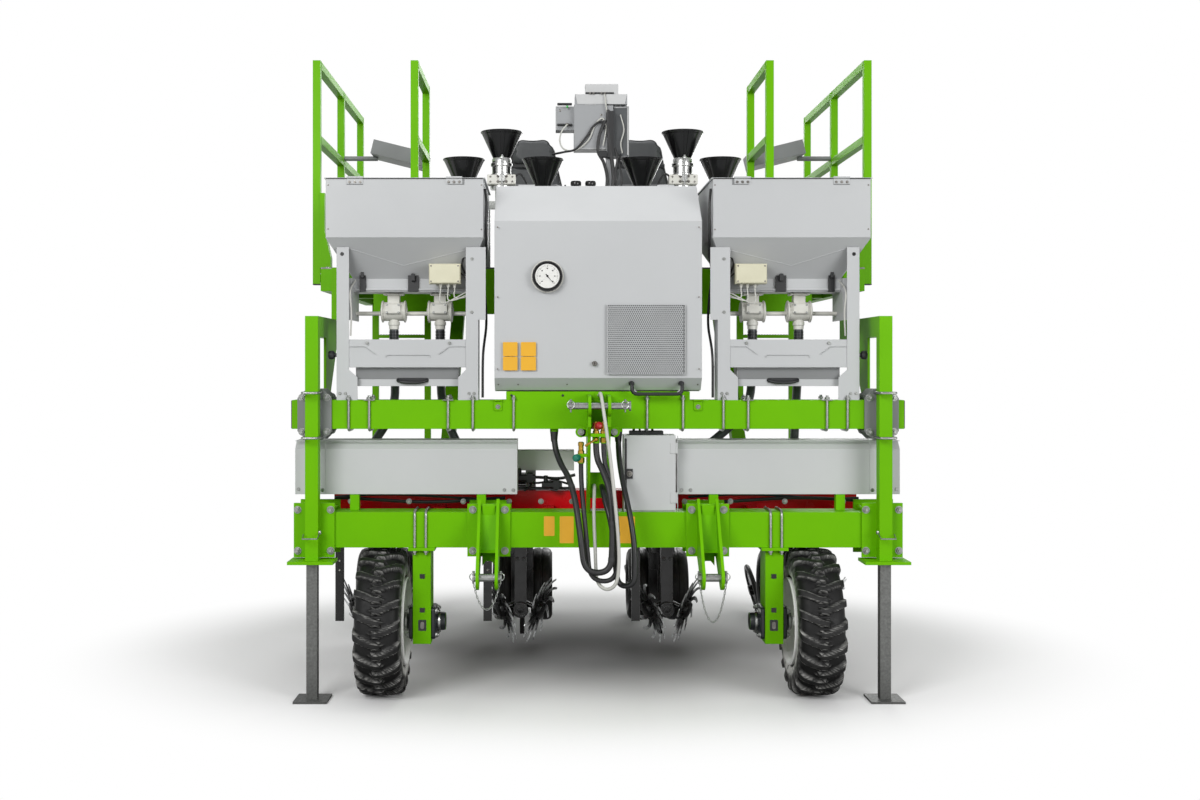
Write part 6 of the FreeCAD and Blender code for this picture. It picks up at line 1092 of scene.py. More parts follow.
# %% Folds, rivets and lid hinges
crease = fold([on_taper(HOPPER_OUTER - 0.109, 2.098), on_taper(HOPPER_MIDDLE + 0.016, 2.024),
               on_taper(HOPPER_INNER + 0.080, 2.093)])
shoulder_seam = fold([(HOPPER_INNER, HOPPER_FRONT, SHOULDER_Z), (HOPPER_OUTER, HOPPER_FRONT, SHOULDER_Z)],
                     0.0014)
corner_seams = [fold([(x, HOPPER_FRONT, SHOULDER_Z), on_taper(x + inset, TROUGH_TOP_Z)], 0.0022)
                for x, inset in ((HOPPER_OUTER, -0.107), (HOPPER_INNER, 0.086))]
trough_lip = put(slab(0.541, 0.012, 0.010, 0.002),
                 (HOPPER_MIDDLE - 0.0105, TROUGH_FRONT - 0.004, TROUGH_TOP_Z - 0.052))
add_piece("hopper_folds", grey_coat, crease, shoulder_seam, *corner_seams, trough_lip, both=True,
          slot="grey_sheet")

hopper_rivets = stamp(rivet, [(x, HOPPER_FRONT, z) for x, low_z in ((HOPPER_OUTER - 0.011, 2.187),
                                                                    (HOPPER_INNER + 0.008, 2.185))
                              for z in (low_z, 2.392)], FRONT)
LID_HINGE_XS = (HOPPER_OUTER - 0.136, HOPPER_INNER + 0.136)
hinge_screws = stamp(hex_bolt(0.006), [(x + step, HOPPER_FRONT - 0.003, 2.406)
                                       for x in LID_HINGE_XS for step in (-0.025, 0, 0.025)], FRONT)
add_piece("hopper_rivets", steel, hopper_rivets, hinge_screws, both=True)

clamp_bracket = together(slab(0.030, 0.014, 0.100, 0.002),
                         put(slab(0.014, 0.024, 0.030, 0.003), (0, -0.010, 0.030)))
wide_bracket = together(slab(0.050, 0.014, 0.094, 0.002),
                        put(slab(0.018, 0.026, 0.036, 0.003), (0, -0.012, 0.020)))
brackets = together(put(clamp_bracket, (1.118, TROUGH_FRONT - 0.007, 1.952)),
                    put(wide_bracket, (0.877, TROUGH_FRONT - 0.007, 1.950)))
add_piece("level_sensor_brackets", black_plastic, brackets, both=True)
print("hopper folds, rivets and brackets")

# %% Pressed lines, screws, knob and tray handle on the stands
APRON_PROUD = 0.0004
APRON_XS = (0.619, 1.166)
APRON_LINES = (((1.166, 1.640), (1.090, 1.640), (1.040, 1.604)),
               ((0.619, 1.640), (0.695, 1.640), (0.745, 1.604)),
               ((0.992, 1.590), (0.986, 1.600), (0.790, 1.600), (0.784, 1.590)))
line_y = STAND_FRONT - APRON_PROUD
apron_folds = [fold([(x, line_y, z) for x, z in line]) for line in APRON_LINES]
apron_edge = fold([(x, line_y, 1.5435) for x in APRON_XS], 0.0014)
add_piece("apron_lines", grey_coat, *apron_folds, apron_edge, both=True, slot="grey_sheet")

STAND_SCREWS = ((1.081, 1.656), (0.695, 1.656), (0.590, 1.801), (0.590, 2.050),
                (0.580, 1.420), (0.604, 1.420), (1.182, 1.420), (1.208, 1.420))
stand_screws = [(x, STAND_FRONT, z) for x, z in STAND_SCREWS]
# The hole in each stand leg is a dark disc: painted shade for its inside.
leg_hole = put(lathe([(0, 0), (0.009, 0), (0.009, 0.0006), (0, 0.0006)], 20),
               (LEG_OUTER + 0.003, STAND_FRONT, 2.073), FRONT)
add_piece("stand_screws", zinc, stamp(hex_bolt(0.007), stand_screws, FRONT), both=True)
add_piece("stand_leg_holes", gloss_black, leg_hole, both=True)

knob = lathe([(0, 0), (0.009, 0), (0.009, 0.012), (0.018, 0.016), (0.021, 0.024), (0.021, 0.036),
              (0.017, 0.042), (0, 0.043)], 20)
grip_turns = np.linspace(-1.0, 1.0, 25)
grip_bow = np.stack([0.068 * grip_turns, -0.016 * (1 - grip_turns ** 4), 0.010 * grip_turns ** 4], axis=1)
GRIP_X = 0.871
TRAY_FRONT = -1.1005
grip_plate = plate(rounded_rectangle(0.152, 0.022, 0.010, 7), 0.004, 0.001)
# A mid-grey skin over each catch tray's front, darker than its grey coat: painted shade.
tray_shade_skin = put(slab(0.478, 0.050, 0.001, 0.0002), (0.897, TRAY_FRONT - 0.0006, 1.512), FRONT)
add_piece("stand_knobs_and_grips", black_plastic, put(knob, (1.224, STAND_FRONT + 0.030, 1.600), (1, 0, 0)),
          put(sweep(grip_bow, 0.0075, 14), (GRIP_X, TRAY_FRONT - 0.004, 1.472)),
          put(grip_plate, (GRIP_X, TRAY_FRONT - 0.002, 1.482), FRONT), both=True)
add_piece("catch_tray_shade_fronts", clamp_coat, tray_shade_skin, both=True, slot="grey_sheet")

add_piece("stand_foot_plates", zinc, stamp(slab(0.050, 0.036, 0.005, 0.001),
                                           [(x, UPPER_BEAM_LOW[1] + 0.004, 1.3895)
                                            for x in STAND_COLUMNS[1:3]]), both=True)
print("stand details")

# %% [markdown]
# ## Metering units, junction boxes and their wiring
# Each meter is a white nylon housing between the trough and a hose, on a common drive shaft. The outlet
# hose is ribbed. Ribs could be a bump, but the hose is seen against a bright gap, so the ribs have to
# show in its outline: rings are stamped along the straight part.

# %% Metering details
meter_low, meter_high = corners_of("metering_units")
METER_XS = (0.756, 0.980)
METER_Z = 1.812
METER_Y = (meter_low[1] + meter_high[1]) / 2
flange = lathe([(0.046, 0), (0.053, 0.002), (0.053, 0.008), (0.046, 0.011), (0.020, 0.012),
                (0.017, 0.016), (0, 0.016)], 28)
end_caps = [put(flange, (x + sign * 0.0525 - sign * 0.004, METER_Y, METER_Z), (sign, 0, 0))
            for x in METER_XS for sign in (-1, 1)]
neck_plates = [put(slab(0.094, 0.090, 0.008, 0.002), (x, METER_Y, 1.894)) for x in METER_XS]
front_boxes = [put(slab(0.072, 0.030, 0.052, 0.006), (x, METER_Y - 0.044, METER_Z + 0.012))
               for x in METER_XS]
front_screws = [(x + dx, METER_Y - 0.0595, METER_Z + 0.012 + dz)
                for x in METER_XS for dx in (-0.028, 0.028) for dz in (-0.018, 0.018)]
collars = [put(lathe([(0.0255, 0), (0.028, 0.003), (0.028, 0.016), (0.0255, 0.019)], 24),
               (x, METER_Y, 1.744)) for x in METER_XS]
add_piece("meter_flanges", white_plastic, *end_caps, *neck_plates, *front_boxes, *collars, both=True,
          slot="white_plastic")
add_piece("meter_screws", zinc, stamp(hex_bolt(0.005), front_screws, FRONT), both=True)
hose_ring = lathe([(0.0205, -0.003), (0.0245, -0.0015), (0.0245, 0.0015), (0.0205, 0.003)], 20)
ring_places = [(x, METER_Y, z) for x in METER_XS for z in np.arange(1.582, 1.724, 0.0075)]
add_piece("meter_hose_ribs", corrugated, stamp(hose_ring, ring_places), both=True)

box_low, box_high = corners_of("junction_boxes")
box_x = box_high[0] - 0.074
box_z = (box_low[2] + box_high[2]) / 2
lid = put(slab(0.144, 0.090, 0.012, 0.003, radius=0.006), (box_x, box_low[1] - 0.0055, box_z), FRONT)
lid_screws = [(box_x + dx, box_low[1] - 0.0115, box_z + dz) for dx in (-0.063, 0.063)
              for dz in (-0.036, 0.036)]
gland = lathe([(0, 0), (0.0085, 0), (0.0085, 0.008), (0.0065, 0.010), (0.0065, 0.016), (0, 0.017)], 12)
gland_places = [(box_x + dx, box_low[1] + 0.030, box_low[2]) for dx in (-0.044, -0.014, 0.022)]
add_piece("junction_lids", cream_plastic, lid, both=True, slot="cream_plastic")
add_piece("junction_screws", steel, stamp(button_screw(0.004), lid_screws, FRONT), both=True)
add_piece("junction_glands", white_plastic, stamp(gland, gland_places, (0, 0, -1)), both=True)
print("meters and junction boxes")


# %% Fixed wiring around the hoppers
def wire(points, radius, steps=10):
    """A short clipped wire: a Catmull-Rom curve through its points, which passes through each one.

    Between points b and c it is 0.5*(2b + (c-a)t + (2a-5b+4c-d)t^2 + (3b-a-3c+d)t^3)."""
    knots = np.asarray(points, float)
    knots = np.concatenate([[2 * knots[0] - knots[1]], knots, [2 * knots[-1] - knots[-2]]])
    t = np.linspace(0, 1, steps, endpoint=False)[:, None]
    spans = []
    for a, b, c, d in zip(knots, knots[1:], knots[2:], knots[3:]):
        spans.append(0.5 * (2 * b + (c - a) * t + (2 * a - 5 * b + 4 * c - d) * t ** 2
                            + (3 * b - a - 3 * c + d) * t ** 3))
    return sweep(np.concatenate(spans + [knots[-2:-1]]), radius, 8)


pale_wires = []
for k, (x, y, z) in enumerate(gland_places):
    reach = 0.02 + 0.012 * k
    route = [(x, y, z - 0.016), (x - 0.004, y, z - 0.045 - reach), (x - 0.05 - reach, y + 0.004, z - 0.052),
             (HOPPER_INNER + 0.052, y + 0.01, z - 0.01),
             (HOPPER_INNER + 0.040, TROUGH_FRONT - 0.02, z + 0.07)]
    pale_wires.append(wire(route, 0.0032))
add_piece("sensor_wires", cable_grey, *pale_wires, both=True)
loop = [(0.644, -1.09, 1.985), (0.615, -1.10, 1.965), (0.590, -1.10, 1.985), (0.596, -1.09, 2.040),
        (0.630, -1.08, 2.060), (0.640, -1.075, 2.020), (0.606, -1.08, 1.955), (0.560, -1.07, 1.930)]
leg_cable = [(1.150, TROUGH_FRONT - 0.03, 1.955), (1.162, STAND_FRONT + 0.012, 1.900),
             (1.156, STAND_FRONT + 0.010, 1.800), (1.160, STAND_FRONT + 0.012, 1.690)]
CORNER_ROUTE = ((-0.006, 0.05, 2.380), (-0.014, 0.03, 2.300), (-0.012, 0.04, 2.180), (-0.008, 0.09, 2.080),
                (0.008, 0.12, 1.985), (-0.004, 0.13, 1.860), (-0.008, 0.13, 1.740), (0.004, 0.069, 1.600),
                (0.006, 0.069, 1.400))
corner_cable = [(HOPPER_INNER + dx, HOPPER_FRONT + dy, z) for dx, dy, z in CORNER_ROUTE]
add_piece("black_hopper_cables", hose_rubber, wire(loop, 0.004), wire(corner_cable, 0.006), both=True)
add_piece("pale_leg_cables", cable_grey, wire(leg_cable, 0.004), both=True)
print("wiring of the hoppers")

# %% [markdown]
# ## Hitch, mast and couplings
# The tractor lifts the seeder at three pins: one at the top of the mast and two between the lower ears.
# Each pin is held by a linch pin, and the lower ones hang on a short chain so that they don't get lost.
# A chain could be a textured strip, but its links show against the pale floor. One link is made as a
# stadium-shaped wire ring, and its copies follow a hanging curve, each turned a quarter from the last.

# %% Chains and pins
pin_low, pin_high = corners_of("hitch_pins")
hitch_low, _ = corners_of("lower_hitch")

LINK_PITCH = 0.0125
LINK_WIRE = 0.0016
LINK_SPAN = 0.0095


def chain(points):
    """A hanging chain through the points: links at equal steps, every second one turned by a quarter."""
    knots = np.asarray(points, float)
    steps = np.linalg.norm(np.diff(knots, axis=0), axis=1)
    along = np.concatenate([[0], np.cumsum(steps)])
    count = int(along[-1] / LINK_PITCH)
    at = np.linspace(0, along[-1], count + 1)
    places = np.column_stack([np.interp(at, along, knots[:, k]) for k in range(3)])
    turn = np.linspace(0, 2 * math.pi, 16, endpoint=False)
    half = LINK_SPAN / 2 - LINK_WIRE
    ring = np.column_stack([half * np.cos(turn), np.zeros(16),
                            half * np.sin(turn) + np.sign(np.sin(turn)) * (LINK_PITCH / 2 - half + 0.001)])
    link = sweep(ring, LINK_WIRE, 6, closed=True)
    links = []
    for k in range(count):
        side = (0, 1, 0) if k % 2 else (1, 0.3, 0)
        links.append(put(link, (places[k] + places[k + 1]) / 2, places[k + 1] - places[k], side))
    return together(*links)


def catenary(start, end, sag, steps=40):
    """A hanging line between two points: y = cosh, flattened so that its lowest point is sag below."""
    start, end = np.asarray(start, float), np.asarray(end, float)
    t = np.linspace(0, 1, steps)[:, None]
    dip = (math.cosh(1.6) - np.cosh(3.2 * (t - 0.5))) / (math.cosh(1.6) - 1)
    return start + (end - start) * t - dip * (0, 0, sag)


LOWER_PIN_Y = hitch_low[1] + 0.055
LOWER_PIN_Z = hitch_low[2] + 0.055
PIN_END = pin_high[0] - 0.005
PIN_START = PIN_END - 0.122
linch_stem = lathe([(0, -0.030), (0.004, -0.028), (0.004, 0.022), (0.006, 0.024), (0.006, 0.030),
                    (0, 0.031)], 10)
linch = together(linch_stem, put(wire_ring(0.017, 0.0022, 20, 8), (0, -0.012, 0.006)))
right_chain, left_chain = [chain(catenary((start, LOWER_PIN_Y - 0.020, LOWER_PIN_Z - 0.016),
                                          (end, LOWER_PIN_Y - 0.022, LOWER_PIN_Z - 0.010), sag))
                           for start, end, sag in ((PIN_START, PIN_END, 0.185),
                                                   (-PIN_END, -PIN_START, 0.128))]
pins = [put(linch, (side * x, LOWER_PIN_Y, LOWER_PIN_Z), up=(0, 1, 0))
        for side in (-1, 1) for x in (PIN_START, PIN_END)]
pin_collar = lathe([(0.018, -0.004), (0.0215, -0.003), (0.0215, 0.003), (0.018, 0.004)], 24)
collars = [put(pin_collar, (side * (PIN_START + 0.016), LOWER_PIN_Y, LOWER_PIN_Z), (1, 0, 0))
           for side in (-1, 1)]
add_piece("lower_pin_chains", zinc, right_chain, left_chain, *pins, *collars)

TOP_PIN_Y = -1.3145
TOP_PIN_Z = 1.367
TOP_PIN_MIDDLE = (pin_low[0] + pin_high[0]) / 2 - 0.008
TOP_PIN_HALF = 0.1425
grooves = [put(lathe([(0.0153, -0.002), (0.0168, -0.0012), (0.0168, 0.0012), (0.0153, 0.002)], 24),
               (TOP_PIN_MIDDLE - TOP_PIN_HALF + x, TOP_PIN_Y, TOP_PIN_Z), (1, 0, 0))
           for x in (0.012, 0.026, 0.040, 0.054)]
top_clips = [put(linch, (TOP_PIN_MIDDLE + x, TOP_PIN_Y - 0.004, TOP_PIN_Z), up=(0, 1, 0))
             for x in (TOP_PIN_HALF - 0.018, -TOP_PIN_HALF + 0.020)]
add_piece("top_pin_fittings", zinc, *top_clips, *grooves)
print("linch pins and chains")

# %% Mast tabs, webs and stickers
tab = lathe([(0, -0.005), (0.024, -0.005), (0.025, -0.004), (0.025, 0.004), (0.024, 0.005), (0, 0.005)], 28)
TAB_Y = UPPER_BEAM_LOW[1] - 0.060
TAB_Z = 1.243
MAST_X = -0.004
tab_bridge = slab(0.034, 0.010, 0.036, 0.002)
tabs, tab_bolts = [], []
for side in (-1, 1):
    bolt_x = MAST_X + side * 0.078
    tabs += [put(tab, (bolt_x, TAB_Y, TAB_Z), FRONT),
             put(tab_bridge, (MAST_X + side * 0.060, TAB_Y, TAB_Z - 0.004))]
    tab_bolts.append((bolt_x, TAB_Y - 0.005, TAB_Z))
weld_z = beam_high[2] + 0.003
weld = fold([(-0.052, beam_low[1] - 0.001, weld_z), (0.044, beam_low[1] - 0.001, weld_z)], 0.004)
add_piece("mast_tabs", green_coat, *tabs, weld, slot="green_paint")
add_piece("mast_tab_bolts", zinc, stamp(hex_bolt(0.014, 0.006), tab_bolts, FRONT))

web_outline = [(-0.030, -0.150), (-0.012, -0.128), (0.012, -0.128), (0.030, -0.150), (0.030, 0.130),
               (-0.030, 0.130)]
web = put(plate(web_outline, 0.008, 0.002), (0.510, beam_low[1] - 0.026, 0.770), FRONT)
add_piece("lower_ear_webs", green_coat, web, both=True, slot="green_paint")

STICKERS = ((-0.2285, 0.801, 0.050, 0.092), (-0.147, 0.784, 0.066, 0.126), (0.130, 0.784, 0.084, 0.126))
stickers = [put(plate(rounded_rectangle(width, height, 0.004), 0.0006, 0.0001), (x, beam_low[1] - 0.0003, z),
                FRONT) for x, z, width, height in STICKERS]
add_piece("blank_beam_labels", amber_film, *stickers)
print("mast tabs, ear webs and blank labels")

# %% Hydraulic couplings above the hoses
COUPLING_Y = -1.2625
PLATE_TOP = 1.240
body_shape = together(lathe([(0, 0), (0.015, 0), (0.015, 0.012), (0.012, 0.014), (0.012, 0.034),
                             (0.014, 0.036), (0.014, 0.050), (0.009, 0.054), (0, 0.054)], 20),
                      lathe([(0.010, -0.044), (0.0165, -0.042), (0.0165, -0.020), (0.010, -0.018)], 6))
COUPLING_PLACES = ((-0.014, COUPLING_Y, PLATE_TOP), (0.020, COUPLING_Y, PLATE_TOP), (-0.082, -1.2295, 1.146))
add_piece("coupling_bodies", brass, stamp(body_shape, COUPLING_PLACES))

dust_cap = lathe([(0, 0), (0.0165, 0), (0.0175, 0.004), (0.0175, 0.020), (0.013, 0.028), (0.006, 0.031),
                  (0, 0.031)], 24)
red_cap = put(dust_cap, (-0.006, COUPLING_Y - 0.022, 1.272), (0.25, -0.9, 0.35))
cap_strap = sweep([(-0.006, COUPLING_Y - 0.018, 1.282), (-0.026, COUPLING_Y - 0.012, 1.288),
                   (-0.030, COUPLING_Y - 0.004, 1.262)], 0.0025, 8)
red_plastic = finish("red moulded cap", "#B01822", "#A3121C", rough=(0.3, 0.4), patch=0.03)
teal_plastic = finish("teal moulded cap", "#0E7A62", "#0A6C57", rough=(0.3, 0.4), patch=0.03)
add_piece("red_dust_cap", red_plastic, red_cap, cap_strap)
teal_cap = put(dust_cap, (-0.096, -1.2480, 1.128), (-0.55, -0.8, -0.1))
add_piece("teal_dust_cap", teal_plastic, teal_cap)

lever = sweep([(-0.016, COUPLING_Y - 0.016, 1.212), (-0.030, COUPLING_Y - 0.026, 1.206),
               (-0.064, COUPLING_Y - 0.034, 1.184)], [0.0045, 0.005, 0.006], 10)
lever_hub = put(lathe([(0, -0.004), (0.010, -0.004), (0.011, 0.006), (0.006, 0.012), (0, 0.012)], 6),
                (-0.014, COUPLING_Y - 0.016, 1.214), FRONT)
add_piece("shut_off_lever", brass, lever, lever_hub)

relief = lathe([(0, 0.004), (0.0195, 0.004), (0.0200, 0.0), (0.0175, -0.024), (0.0152, -0.050),
                (0.0142, -0.054), (0, -0.054)], 24)
hose_tops = [CORDS[name][4][0] for name in ("front_hose", "black_cable")]
add_piece("hose_strain_reliefs", hose_rubber, *[put(relief, (x, y, z + 0.006)) for x, y, z in hose_tops])
print("couplings, caps and lever")

# %% Bands around the hoses
tape = finish("black cloth tape", "#2B2C2D", "#343536", rough=(0.6, 0.75), patch=0.01)
band_shapes = []
for line_name, shares in (("front_hose", (0.24, 0.62, 0.72)), ("rear_hose", (0.30, 0.66))):
    radius, _, _, _, route = CORDS[line_name]
    spline_line = bpy.data.objects[line_name + "_line"].copy()
    spline_line.data = spline_line.data.copy()
    spline_line.data.bevel_depth = 0
    bare = bpy.data.meshes.new_from_object(spline_line)
    centre = np.array([vertex.co for vertex in bare.vertices])
    bpy.data.objects.remove(spline_line)
    bpy.data.meshes.remove(bare)
    for share in shares:
        k = int(share * (len(centre) - 1))
        run = centre[k + 1] - centre[k - 1]
        band_shapes.append(put(lathe([(radius, -0.009), (radius + 0.0013, -0.008), (radius + 0.0013, 0.008),
                                      (radius, 0.009)], 20), centre[k], run))
add_piece("hose_bands", tape, *band_shapes)
print(len(band_shapes), "bands on the hoses")

# %% [markdown]
# ## Covers, cable duct, control box and tool bar
# Behind the main beam run the cables: in a sheet-metal duct, along the red tool bar and into the control
# box. The loose runs between clips are thin, so each is a smooth curve swept by a small circle.

# %% Covers and duct
cover_low, _ = corners_of("side_covers")
COVER_FRONT = cover_low[1]
COVER_SCREWS = ((0.398, 0.962), (0.440, 0.962), (1.414, 0.966), (1.300, 0.962))
cover_screws = [(x, COVER_FRONT, z) for x, z in COVER_SCREWS]
add_piece("cover_screws", zinc, stamp(hex_bolt(0.008), cover_screws, FRONT), both=True)
cover_seam = fold([(1.286, COVER_FRONT - 0.0002, z) for z in (0.946, 1.192)], 0.0012)
cover_fold = fold([(x, COVER_FRONT + 0.001, 1.1945) for x in (0.382, 1.428)], 0.0022)
add_piece("cover_seams", cover_coat, cover_seam, cover_fold, both=True, slot="grey_plate")

POST_SLEEVE = 0.0012
sleeves = [put(slab(0.040 + 2 * POST_SLEEVE, 0.037 + 2 * POST_SLEEVE, 0.076, 0.0008),
               (x, -1.0415, beam_high[2] + 0.038)) for x in (0.550, 1.150)]
add_piece("cover_post_sleeves", green_coat, *sleeves, both=True, slot="green_paint")

DUCT_FRONT = -0.767
# The duct's coat is near white, lighter than the real coat: painted light, making up for the shade of the
# beam and covers around it.
duct_coat_painted_bright = finish("white powder coat on duct", "#F2F2F0", "#EAEAE8", rough=(0.4, 0.5), patch=0.3)
DUCT_X = -0.300
duct_face = put(slab(0.388, 0.098, 0.0012, 0.0003), (DUCT_X, DUCT_FRONT - 0.0006, 1.080), FRONT)
duct_top = put(slab(0.390, 0.080, 0.0012, 0.0003), (DUCT_X, DUCT_FRONT + 0.040, 1.1306))
add_piece("duct_cover", duct_coat_painted_bright, duct_face, duct_top, slot="grey_plate")
print("covers and duct")


# %% Cables and fittings along the tool bar
def wire_bundle(name, runs, finish_used, slot=None, smooth=40):
    """Several fixed wires, each given as (points, radius), in one piece."""
    return add_piece(name, finish_used, *[wire(points, radius) for points, radius in runs], slot=slot,
                     smooth=smooth)


bar_low, _ = corners_of("tool_bar")
BAR_FRONT = bar_low[1]
harness = [
    ([(-0.480, -0.790, 1.010), (-0.400, -0.800, 0.990), (-0.300, -0.795, 1.000), (-0.180, -0.790, 0.994),
      (-0.100, -0.795, 1.012)], 0.0075),
    ([(-0.470, -0.790, 0.965), (-0.380, -0.812, 0.985), (-0.290, -0.800, 0.972), (-0.200, -0.806, 0.984),
      (-0.110, -0.800, 0.960)], 0.0055),
    ([(-0.450, -0.800, 1.020), (-0.440, -0.815, 0.970), (-0.400, -0.830, 0.940)], 0.006),
    ([(-0.330, -0.800, 1.000), (-0.320, -0.820, 0.960), (-0.350, -0.835, 0.938)], 0.006),
    ([(-0.250, -0.800, 1.000), (-0.230, -0.818, 0.950), (-0.190, -0.830, 0.936)], 0.005),
]
side_runs = []
for side in (-1, 1):
    for k, lift in enumerate((0.0, 0.016)):
        xs = np.linspace(0.44, 1.26, 9)
        ripple = 0.010 * np.sin(7.0 * xs + 1.9 * k + side)
        side_runs.append(([(side * x, -0.960 + 0.006 * k, 0.905 + lift + r) for x, r in zip(xs, ripple)],
                          0.008 - 0.002 * k))
wire_bundle("tool_bar_harness", harness + side_runs, hose_rubber)

valve_body = together(slab(0.100, 0.040, 0.028, 0.004), put(slab(0.030, 0.044, 0.050, 0.004), (0.022, 0, 0)),
                      put(lathe([(0, 0), (0.011, 0), (0.011, 0.034), (0, 0.036)], 16), (-0.030, 0, 0.010)))
valves = together(put(valve_body, (-0.345, -0.815, 1.000)), put(valve_body, (-0.215, -0.810, 0.965)),
                  put(slab(0.380, 0.020, 0.014, 0.003), (-0.300, -0.790, 0.945)))
add_piece("valve_block", black_plastic, valves)

BAR_BOLT_XS = (-0.420, -0.268, -0.120, 0.420, 0.268, 0.640, -0.640, 0.900, -0.900, 1.180, -1.180)
add_piece("tool_bar_bolts", zinc,
          stamp(hex_bolt(0.012, 0.006), [(x, BAR_FRONT, 0.900) for x in BAR_BOLT_XS], FRONT))
print("harness, valve block and bolts")

# %% Control box
door_low, door_high = corners_of("control_door")
box_low, box_high = corners_of("control_box")
lock_barrel = lathe([(0, 0), (0.014, 0), (0.014, 0.003), (0.008, 0.004), (0.008, 0.010), (0.006, 0.012),
                     (0, 0.012)], 20)
LOCK_X = door_low[0] + 0.026
LOCK_Z = 1.045
add_piece("control_door_lock", steel, put(lock_barrel, (LOCK_X, door_low[1], LOCK_Z), FRONT), body="door")
lock_plate = put(slab(0.030, 0.046, 0.0012, 0.0003), (LOCK_X, door_low[1] - 0.0006, LOCK_Z), FRONT)
add_piece("control_door_lock_plate", black_plastic, lock_plate, body="door")
door_rim = [fold([(x, door_low[1] + 0.001, z) for z in (door_low[2] + 0.002, door_high[2] - 0.002)], 0.0018)
            for x in (door_low[0] + 0.001, door_high[0] - 0.001)]
add_piece("control_door_folds", cover_coat, *door_rim, body="door", slot="grey_plate")

GLAND_XS = (0.17, 0.20, 0.23, 0.26, 0.29)
gland_y = box_low[1] + 0.070
gland_row = stamp(gland, [(x, gland_y, box_high[2]) for x in GLAND_XS])
gland_bar = put(slab(0.160, 0.048, 0.020, 0.003), (GLAND_XS[2], gland_y, box_high[2] + 0.009))
add_piece("control_box_glands", black_plastic, gland_row, gland_bar)
add_piece("control_box_seal", hose_rubber,
          put(slab(0.010, 0.012, 0.330, 0.002), (box_low[0] + 0.008, box_low[1] - 0.004, LOCK_Z)))
gland_cables = [
    ([(0.170, -1.060, 1.240), (0.172, -1.050, 1.262), (0.150, -1.020, 1.30), (0.120, -0.960, 1.33)], 0.006),
    ([(0.200, -1.060, 1.240), (0.203, -1.050, 1.258), (0.230, -1.010, 1.29), (0.290, -0.930, 1.30)], 0.005),
    ([(0.260, -1.060, 1.240), (0.262, -1.048, 1.262), (0.290, -1.000, 1.29), (0.340, -0.930, 1.31)], 0.006),
]
wire_bundle("control_box_cables", gland_cables, hose_rubber)
print("control box fittings")

# %% [markdown]
# ## Seats
# Two operators sit on the platform and drop seed packets into the funnels. Each seat is foam under
# grained vinyl on a moulded shell: a pan, a wide lower back and a narrower upper back with a dark strap
# between the two. A rounded box would be the quick way to make a cushion, but foam pushes its cover out
# in the middle and the seams hold it back at the edges. So each cushion starts as a thin closed form
# whose sides pull in between its corners. Cloth simulation with air pressure then blows it up, every
# point is kept within a set distance of its start, and the seams are laid on the swollen surface.

# %% Cushion shapes
def soft_outline(corners, radius, pull, per_corner=9, per_side=13):
    """A closed outline with round corners. Between corners a side curves in by pull * sin(pi * t)."""
    corners = np.asarray(corners, float)
    arcs = []
    for k, corner in enumerate(corners):
        back = corners[k - 1] - corner
        ahead = corners[(k + 1) % len(corners)] - corner
        back /= np.linalg.norm(back)
        ahead /= np.linalg.norm(ahead)
        half_angle = math.acos(back.dot(ahead)) / 2
        centre = corner + (back + ahead) / np.linalg.norm(back + ahead) * radius / math.sin(half_angle)
        start = corner + back * radius / math.tan(half_angle) - centre
        end = corner + ahead * radius / math.tan(half_angle) - centre
        first = math.atan2(start[1], start[0])
        swing = (math.atan2(end[1], end[0]) - first + math.pi) % (2 * math.pi) - math.pi
        turn = first + swing * np.linspace(0, 1, per_corner)
        arcs.append(centre + radius * np.column_stack([np.cos(turn), np.sin(turn)]))
    outline = []
    t = np.linspace(0, 1, per_side)[1:-1, None]
    for arc, after in zip(arcs, arcs[1:] + arcs[:1]):
        run = after[0] - arc[-1]
        inward = np.array([-run[1], run[0]]) / np.linalg.norm(run)
        outline += [arc, arc[-1] + run * t + inward * pull * np.sin(math.pi * t)]
    return np.concatenate(outline)


def cushion(outline, thickness, rings=12):
    """A closed crowned form over an outline that turns left, with its thickness along Z.

    With a from a quarter turn below to a quarter turn above, the outline is scaled by cos(a)^0.32
    and lies at height thickness / 2 * sin(a)^0.75, sign kept. So the faces are nearly flat in the
    middle and roll over to the sides."""
    middle = outline.mean(axis=0)
    a = np.linspace(-math.pi / 2, math.pi / 2, 2 * rings + 1)[1:-1]
    scale = np.cos(a) ** 0.32
    height = np.sign(a) * np.abs(np.sin(a)) ** 0.75 * thickness / 2
    flat = middle + (outline - middle) * scale[:, None, None]
    body = np.concatenate([flat, np.broadcast_to(height[:, None, None], (len(a), len(outline), 1))], 2)
    count = len(outline)
    points = np.concatenate([body.reshape(-1, 3), [(*middle, -thickness / 2), (*middle, thickness / 2)]])
    faces = [face[::-1] for face in grid_faces(len(a), count, wrap_columns=True)]
    last = (len(a) - 1) * count
    low, high = len(points) - 2, len(points) - 1
    for k in range(count):
        beside = (k + 1) % count
        faces += [(k, low, beside), (last + beside, high, last + k)]
    return points, faces


def settled(piece):
    """The piece's mesh with its modifiers worked in."""
    graph = bpy.context.evaluated_depsgraph_get()
    made = bpy.data.meshes.new_from_object(piece.evaluated_get(graph))
    piece.modifiers.clear()
    old = piece.data
    piece.data = made
    bpy.data.meshes.remove(old)


def mesh_points(mesh):
    """The places of all vertices of a mesh, one row each."""
    points = np.empty(len(mesh.vertices) * 3, np.float32)
    mesh.vertices.foreach_get("co", points)
    return points.reshape(-1, 3)


CLOTH_FRAMES = 20
PRESSURE = 4.0
VOXEL = 0.006


